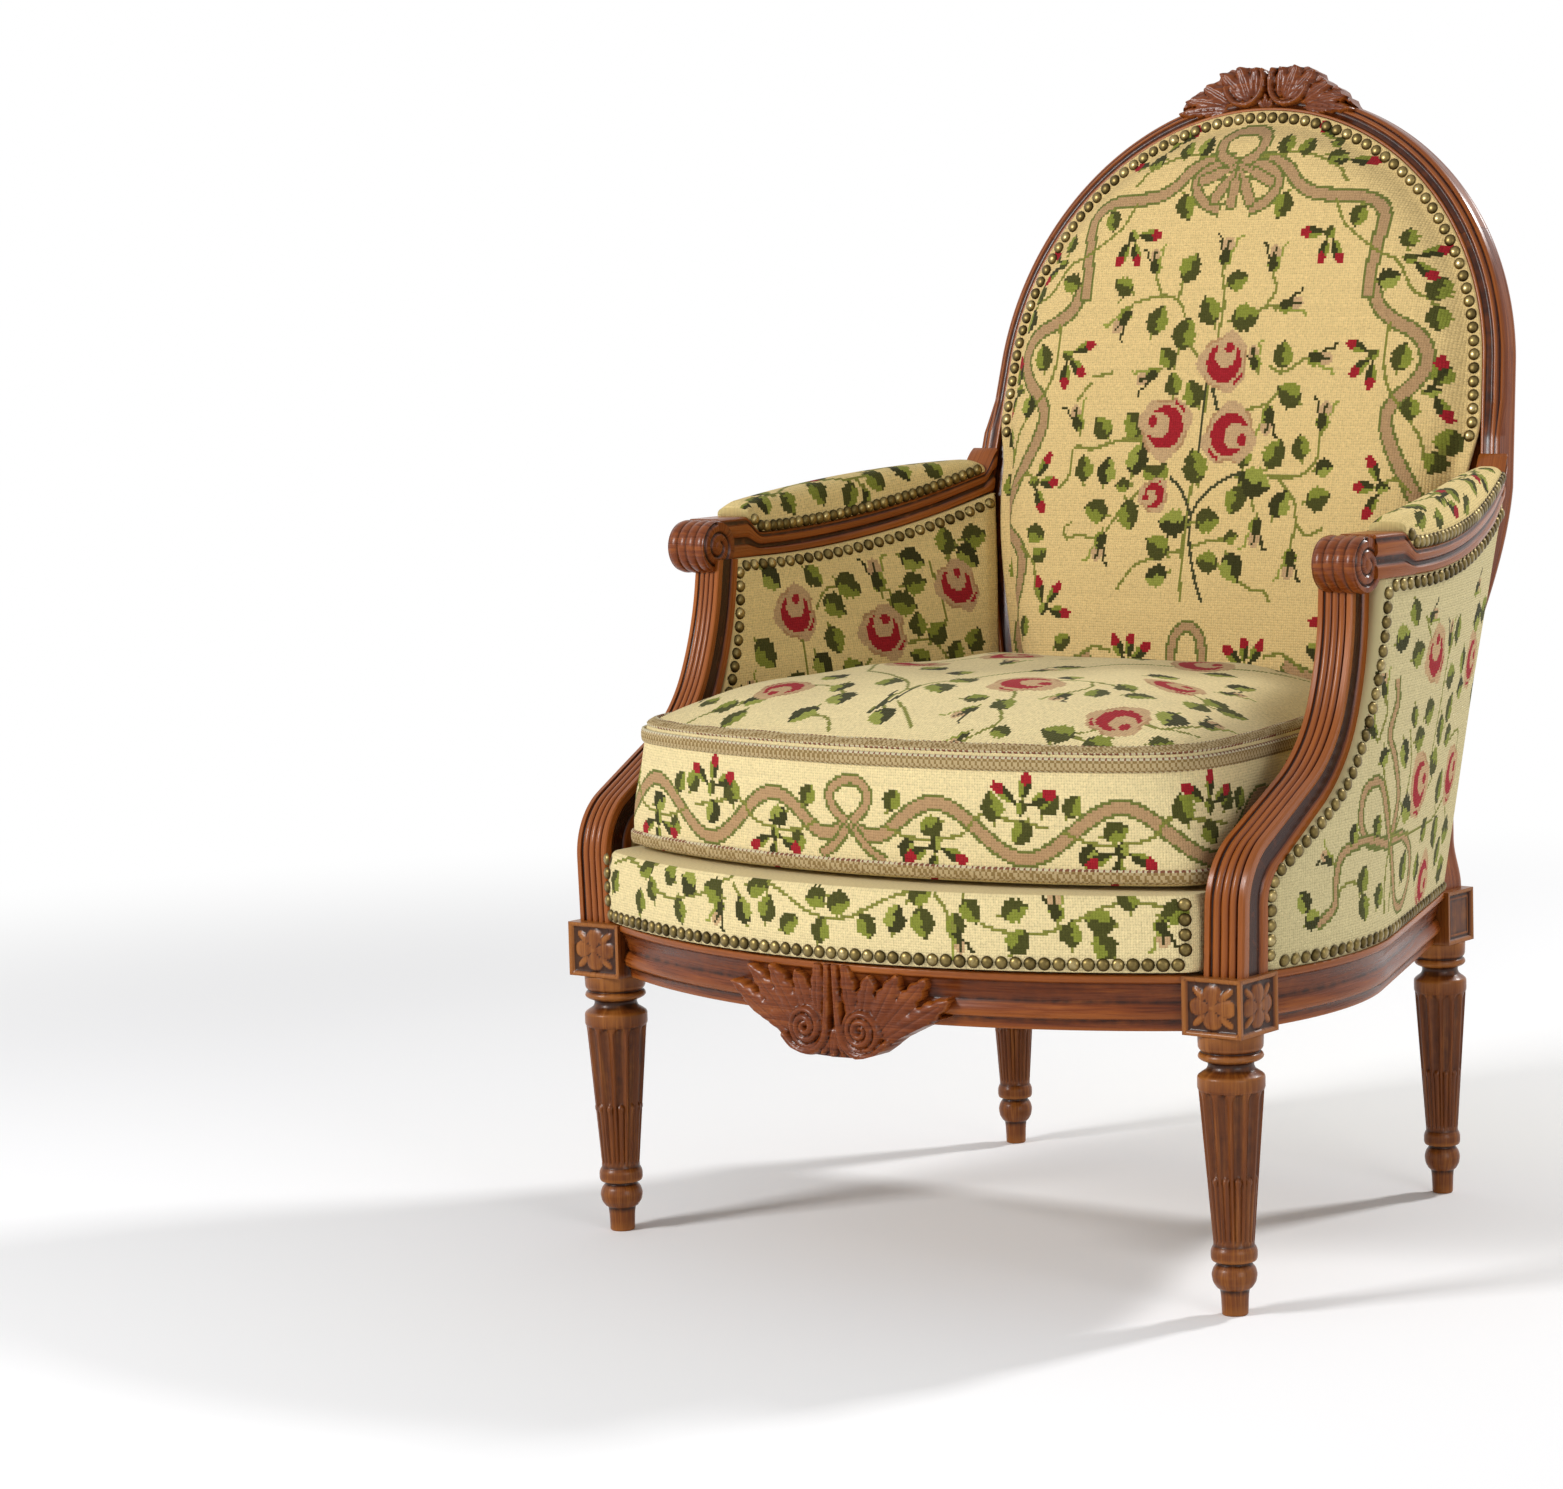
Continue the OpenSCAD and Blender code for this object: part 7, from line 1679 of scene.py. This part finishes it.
def apron_relief(s, z):
    """Heights of the carving under the front rail: two scrolls with leaves that climb outwards, and a small fan
    between."""
    a = np.abs(s)
    ground = lerp(0.5, -15, ease((z - 222 - 0.05 * a) / 5))
    rib = [(3.5, 266), (4.5, 244), (5.5, 224), (8, 206), (16, 196), (28, 192.5), (40, 196), (50, 204)]
    forms = [volute(a, z, (27, 213), 20, 9), ridge(a, z, rib, 6.5, 8)]
    forms += [leaf_lobe(a, z, root, tip, width, height) for root, tip, width, height in (
        ((17, 222), (13, 268), 14, 8), ((27, 224), (36, 258), 17, 6.5), ((36, 216), (63, 260), 19, 7.5),
        ((42, 212), (88, 258), 18, 6.5),
        ((46, 207), (108, 243), 17, 7.5), ((46, 200), (92, 227), 10, 5.5), ((0, 214), (0, 190), 9, 7),
        ((1, 213), (11, 192), 8, 6))]
    return np.maximum(np.max(forms, axis=0), ground)


def crest_relief(s, h):
    """Heights of the carving on the crest: two C scrolls filled with leaves, sprays that run out along the arch, and
    a small fan."""
    a = np.abs(s)
    ground = lerp(-9, 1.2, ease((h - 17) / 4))
    forms = [ridge(a, h, [(5, 37), (3.6, 28), (6, 16), (13, 9), (22, 7), (33, 10), (40, 18), (42, 25)], 5.5, 8.5)]
    forms += [leaf_lobe(a, h, root, tip, width, height) for root, tip, width, height in (
        ((14, 13), (13, 42), 13, 6), ((19, 12), (29, 44), 15, 7.5), ((24, 12), (47, 41), 15, 6.5),
        ((17, 11), (35, 22), 9, 5),
        ((38, 11), (66, 34), 14, 7), ((42, 9), (86, 26), 13, 6), ((44, 6), (94, 15), 11, 7), ((40, 4), (70, 6), 7, 5),
        ((0, 2), (0, 16), 7, 6.5), ((1, 2), (9, 12), 6, 5.5))]
    return np.maximum(np.max(forms, axis=0), ground)


def carved(half_edge, relief, place, thick, pitch=1.25):
    """A carving over a closed outline that is the same on both sides. It is hollow where it lies below its
    surroundings, which the wood's finish darkens as painted shade."""
    edge = np.vstack([half_edge, np.array(half_edge)[::-1] * [-1, 1]])
    field = Canvas(edge[:, 0].min() - pitch, edge[:, 0].max() + pitch, edge[:, 1].min() - pitch,
                   edge[:, 1].max() + pitch, "#808080", pitch)
    kept = []

    def lift(a, b):
        # Painted shade: points lower than the mean of their neighbours 1.8 mm away are darkened, higher ones
        # lightened as wear
        kept.append(np.clip((sum(relief(a + p, b + q) for p, q in ((1.8, 0), (-1.8, 0), (0, 1.8), (0, -1.8))) / 4
                             - relief(a, b)) * 0.45, -1, 1))
        return place(a, b, relief(a, b))

    shape, _ = clipped_sheet(field, edge, lift, thick)
    hollow = np.zeros(len(shape[0]))
    hollow[:len(kept[0])] = kept[0]
    return shape[:3] + (shape[3] * pitch, shape[4], hollow)


def on_apron(s, z, up):
    out = bow_r - 3 + up
    return np.stack([out * np.sin(s / bow_r), bow_y - out * np.cos(s / bow_r), z], -1)


def on_crest(s, h, up):
    turn = 90 - np.degrees(s / (arch_r + 20))
    z = arch_z + arch_r * sind(turn) * cosd(lean)
    back = 5.5 - up
    return np.stack([(arch_r + h) * cosd(turn), plane_y(z) + h * sind(turn) * sind(lean) + back * cosd(lean),
                     z + h * sind(turn) * cosd(lean) - back * sind(lean)], -1)


apron_edge = [(0, 190), (20, 190.5), (31, 192), (41, 195), (50, 201), (61, 209), (77, 217), (93, 224.5), (106, 229),
              (111, 236), (108, 245), (98, 253), (82, 260), (60, 262), (46, 256), (34, 260), (16, 264.5), (0, 264.5)]
crest_edge = [(0, 34), (4, 38.5), (10, 40.5), (14, 39.5), (20, 41.5), (27, 42), (31, 40.5), (37, 42.5), (42, 40),
              (47, 39.5), (50, 35), (55, 34), (60, 32.5), (64, 29), (70, 30), (75, 28.5), (79, 24.5), (86, 24),
              (90, 20.5), (95, 18), (94, 12), (84, 6), (60, 3), (0, 2)]
leaning_out = np.array([0, cosd(lean), -sind(lean)])
crest_back = leaning_out @ [0, arch_y, arch_z] + 0.75 * frame_d
behind_rail = lambda p: np.outer(bow_y + 16 - np.sqrt(bow_r ** 2 - p[:, 0] ** 2) - p[:, 1], [0, 1, 0])
apron = carved(apron_edge, apron_relief, on_apron, behind_rail)
crest_top = carved(crest_edge, crest_relief, on_crest, lambda p: np.outer(crest_back - p @ leaning_out, leaning_out))
piece("apron_carving", apron, frame_wood, slot="show_wood", sharp=60)
piece("crest_carving", crest_top, frame_wood, slot="show_wood", sharp=60)

# Parts of the frame that stay as they are

for names, finish in ((["back_rail"], rail_wood), (["corner_blocks", "arm_dowels", "lower_back_rail"], block_wood),
                      (["corner_block_screws"], steel), (["seat_webbing", "seat_hessian", "back_webbing"], jute)):
    for name in names:
        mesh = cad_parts[name].data
        mesh.materials.clear()
        mesh.materials.append(finish)

# Floor, light and camera


def looked_at(tree):
    """1 for rays of the camera, of gloss and through glass, and 0 for those that carry light."""
    rays = add(tree, "LightPath")
    glossy = add(tree, "Math", {0: rays.outputs["Is Glossy Ray"], 1: rays.outputs["Is Transmission Ray"]},
                 operation="ADD")
    return add(tree, "Math", {0: rays.outputs["Is Camera Ray"], 1: glossy}, operation="ADD", use_clamp=True)


floor_finish, tree = new_finish("pale_floor")
floor_shader = add(tree, "BsdfDiffuse", {"Color": hex_colour("#fbfbfc")})
# The floor runs out into plain white 1.3 to 2.6 m away, for the camera and for gloss alone
far_off = add(tree, "VectorMath", {0: add(tree, "TexCoord").outputs["Object"]}, operation="LENGTH")
fading = add(tree, "MapRange", {"Value": far_off.outputs["Value"], "From Min": 1.3, "From Max": 2.6},
             interpolation_type="SMOOTHSTEP")
whitened = add(tree, "Math", {0: fading, 1: looked_at(tree)}, operation="MULTIPLY", use_clamp=True)
plain_white = add(tree, "Emission", {"Color": (1, 1, 1, 1), "Strength": 1.0})
floor_mix = add(tree, "MixShader", {0: whitened, 1: floor_shader, 2: plain_white})
add(tree, "OutputMaterial", {"Surface": floor_mix})
floor_mesh = bpy.data.meshes.new("floor")
floor_mesh.from_pydata([(-9, -9, 0), (9, -9, 0), (9, 9, 0), (-9, 9, 0)], [], [(0, 1, 2, 3)])
floor_mesh.materials.append(floor_finish)
floor = bpy.data.objects.new("floor", floor_mesh)
bpy.context.scene.collection.objects.link(floor)

world = bpy.data.worlds.new("studio")
bpy.context.scene.world = world
world.use_nodes = True
tree = world.node_tree
tree.nodes.clear()
soft = add(tree, "Background", {"Color": (1, 1, 1, 1), "Strength": 0.36})
seen = add(tree, "Background", {"Color": (1, 1, 1, 1), "Strength": 1.0})
add(tree, "OutputWorld", {"Surface": add(tree, "MixShader", {0: looked_at(tree), 1: soft, 2: seen})})


def soft_light(name, place, target, size, power):
    data = bpy.data.lights.new(name, "AREA")
    data.shape, data.size, data.size_y, data.energy = "RECTANGLE", size[0], size[1], power
    obj = bpy.data.objects.new(name, data)
    bpy.context.scene.collection.objects.link(obj)
    obj.location = place
    obj.rotation_mode = "QUATERNION"
    obj.rotation_quaternion = (Vector(target) - Vector(place)).to_track_quat("-Z", "Y")


soft_light("key_left", (-1.5, -3.1, 2.0), (0, 0, 0.5), (0.9, 0.9), 94)
soft_light("fill_right", (3.2, -1.4, 1.2), (0, 0, 0.45), (1.4, 1.4), 24)
soft_light("back_right", (1.25, 2.7, 2.8), (0, 0, 0.3), (0.45, 0.45), 80)


def photo_camera():
    """The photograph's view: 3.8 m away, 34.4 degrees round to the right and 5.7 degrees up, rolled by -1.2 degrees.
    Its width, height, focal length and centre are in its own pixels."""
    azimuth, elevation, roll = (math.radians(a) for a in (34.43, 5.67, -1.17))
    away, sensor, wide, high, focal, centre_x, centre_y = 3.80066, 36, 1563, 1489, 4497.59, 1077.37, 687.64
    backward = Vector((math.sin(azimuth) * math.cos(elevation), -math.cos(azimuth) * math.cos(elevation),
                       math.sin(elevation)))
    level = Vector((math.cos(azimuth), math.sin(azimuth), 0))
    upright = level.cross(-backward)
    right = level * math.cos(roll) + upright * math.sin(roll)
    up = upright * math.cos(roll) - level * math.sin(roll)
    data = bpy.data.cameras.new("photo_view")
    data.sensor_width = sensor
    data.lens = focal / wide * sensor
    data.shift_x = (wide / 2 - centre_x) / wide
    data.shift_y = (centre_y - high / 2) / wide
    data.clip_end = 60
    camera = bpy.data.objects.new("photo_view", data)
    bpy.context.scene.collection.objects.link(camera)
    camera.rotation_mode = "QUATERNION"
    camera.rotation_quaternion = Matrix((right, up, backward)).transposed().to_quaternion()
    camera.location = Vector((0, 0.25 + middle_y / 1000, 0.45)) + backward * away
    bpy.context.scene.camera = camera


photo_camera()
bpy.context.scene.view_settings.view_transform = "Standard"
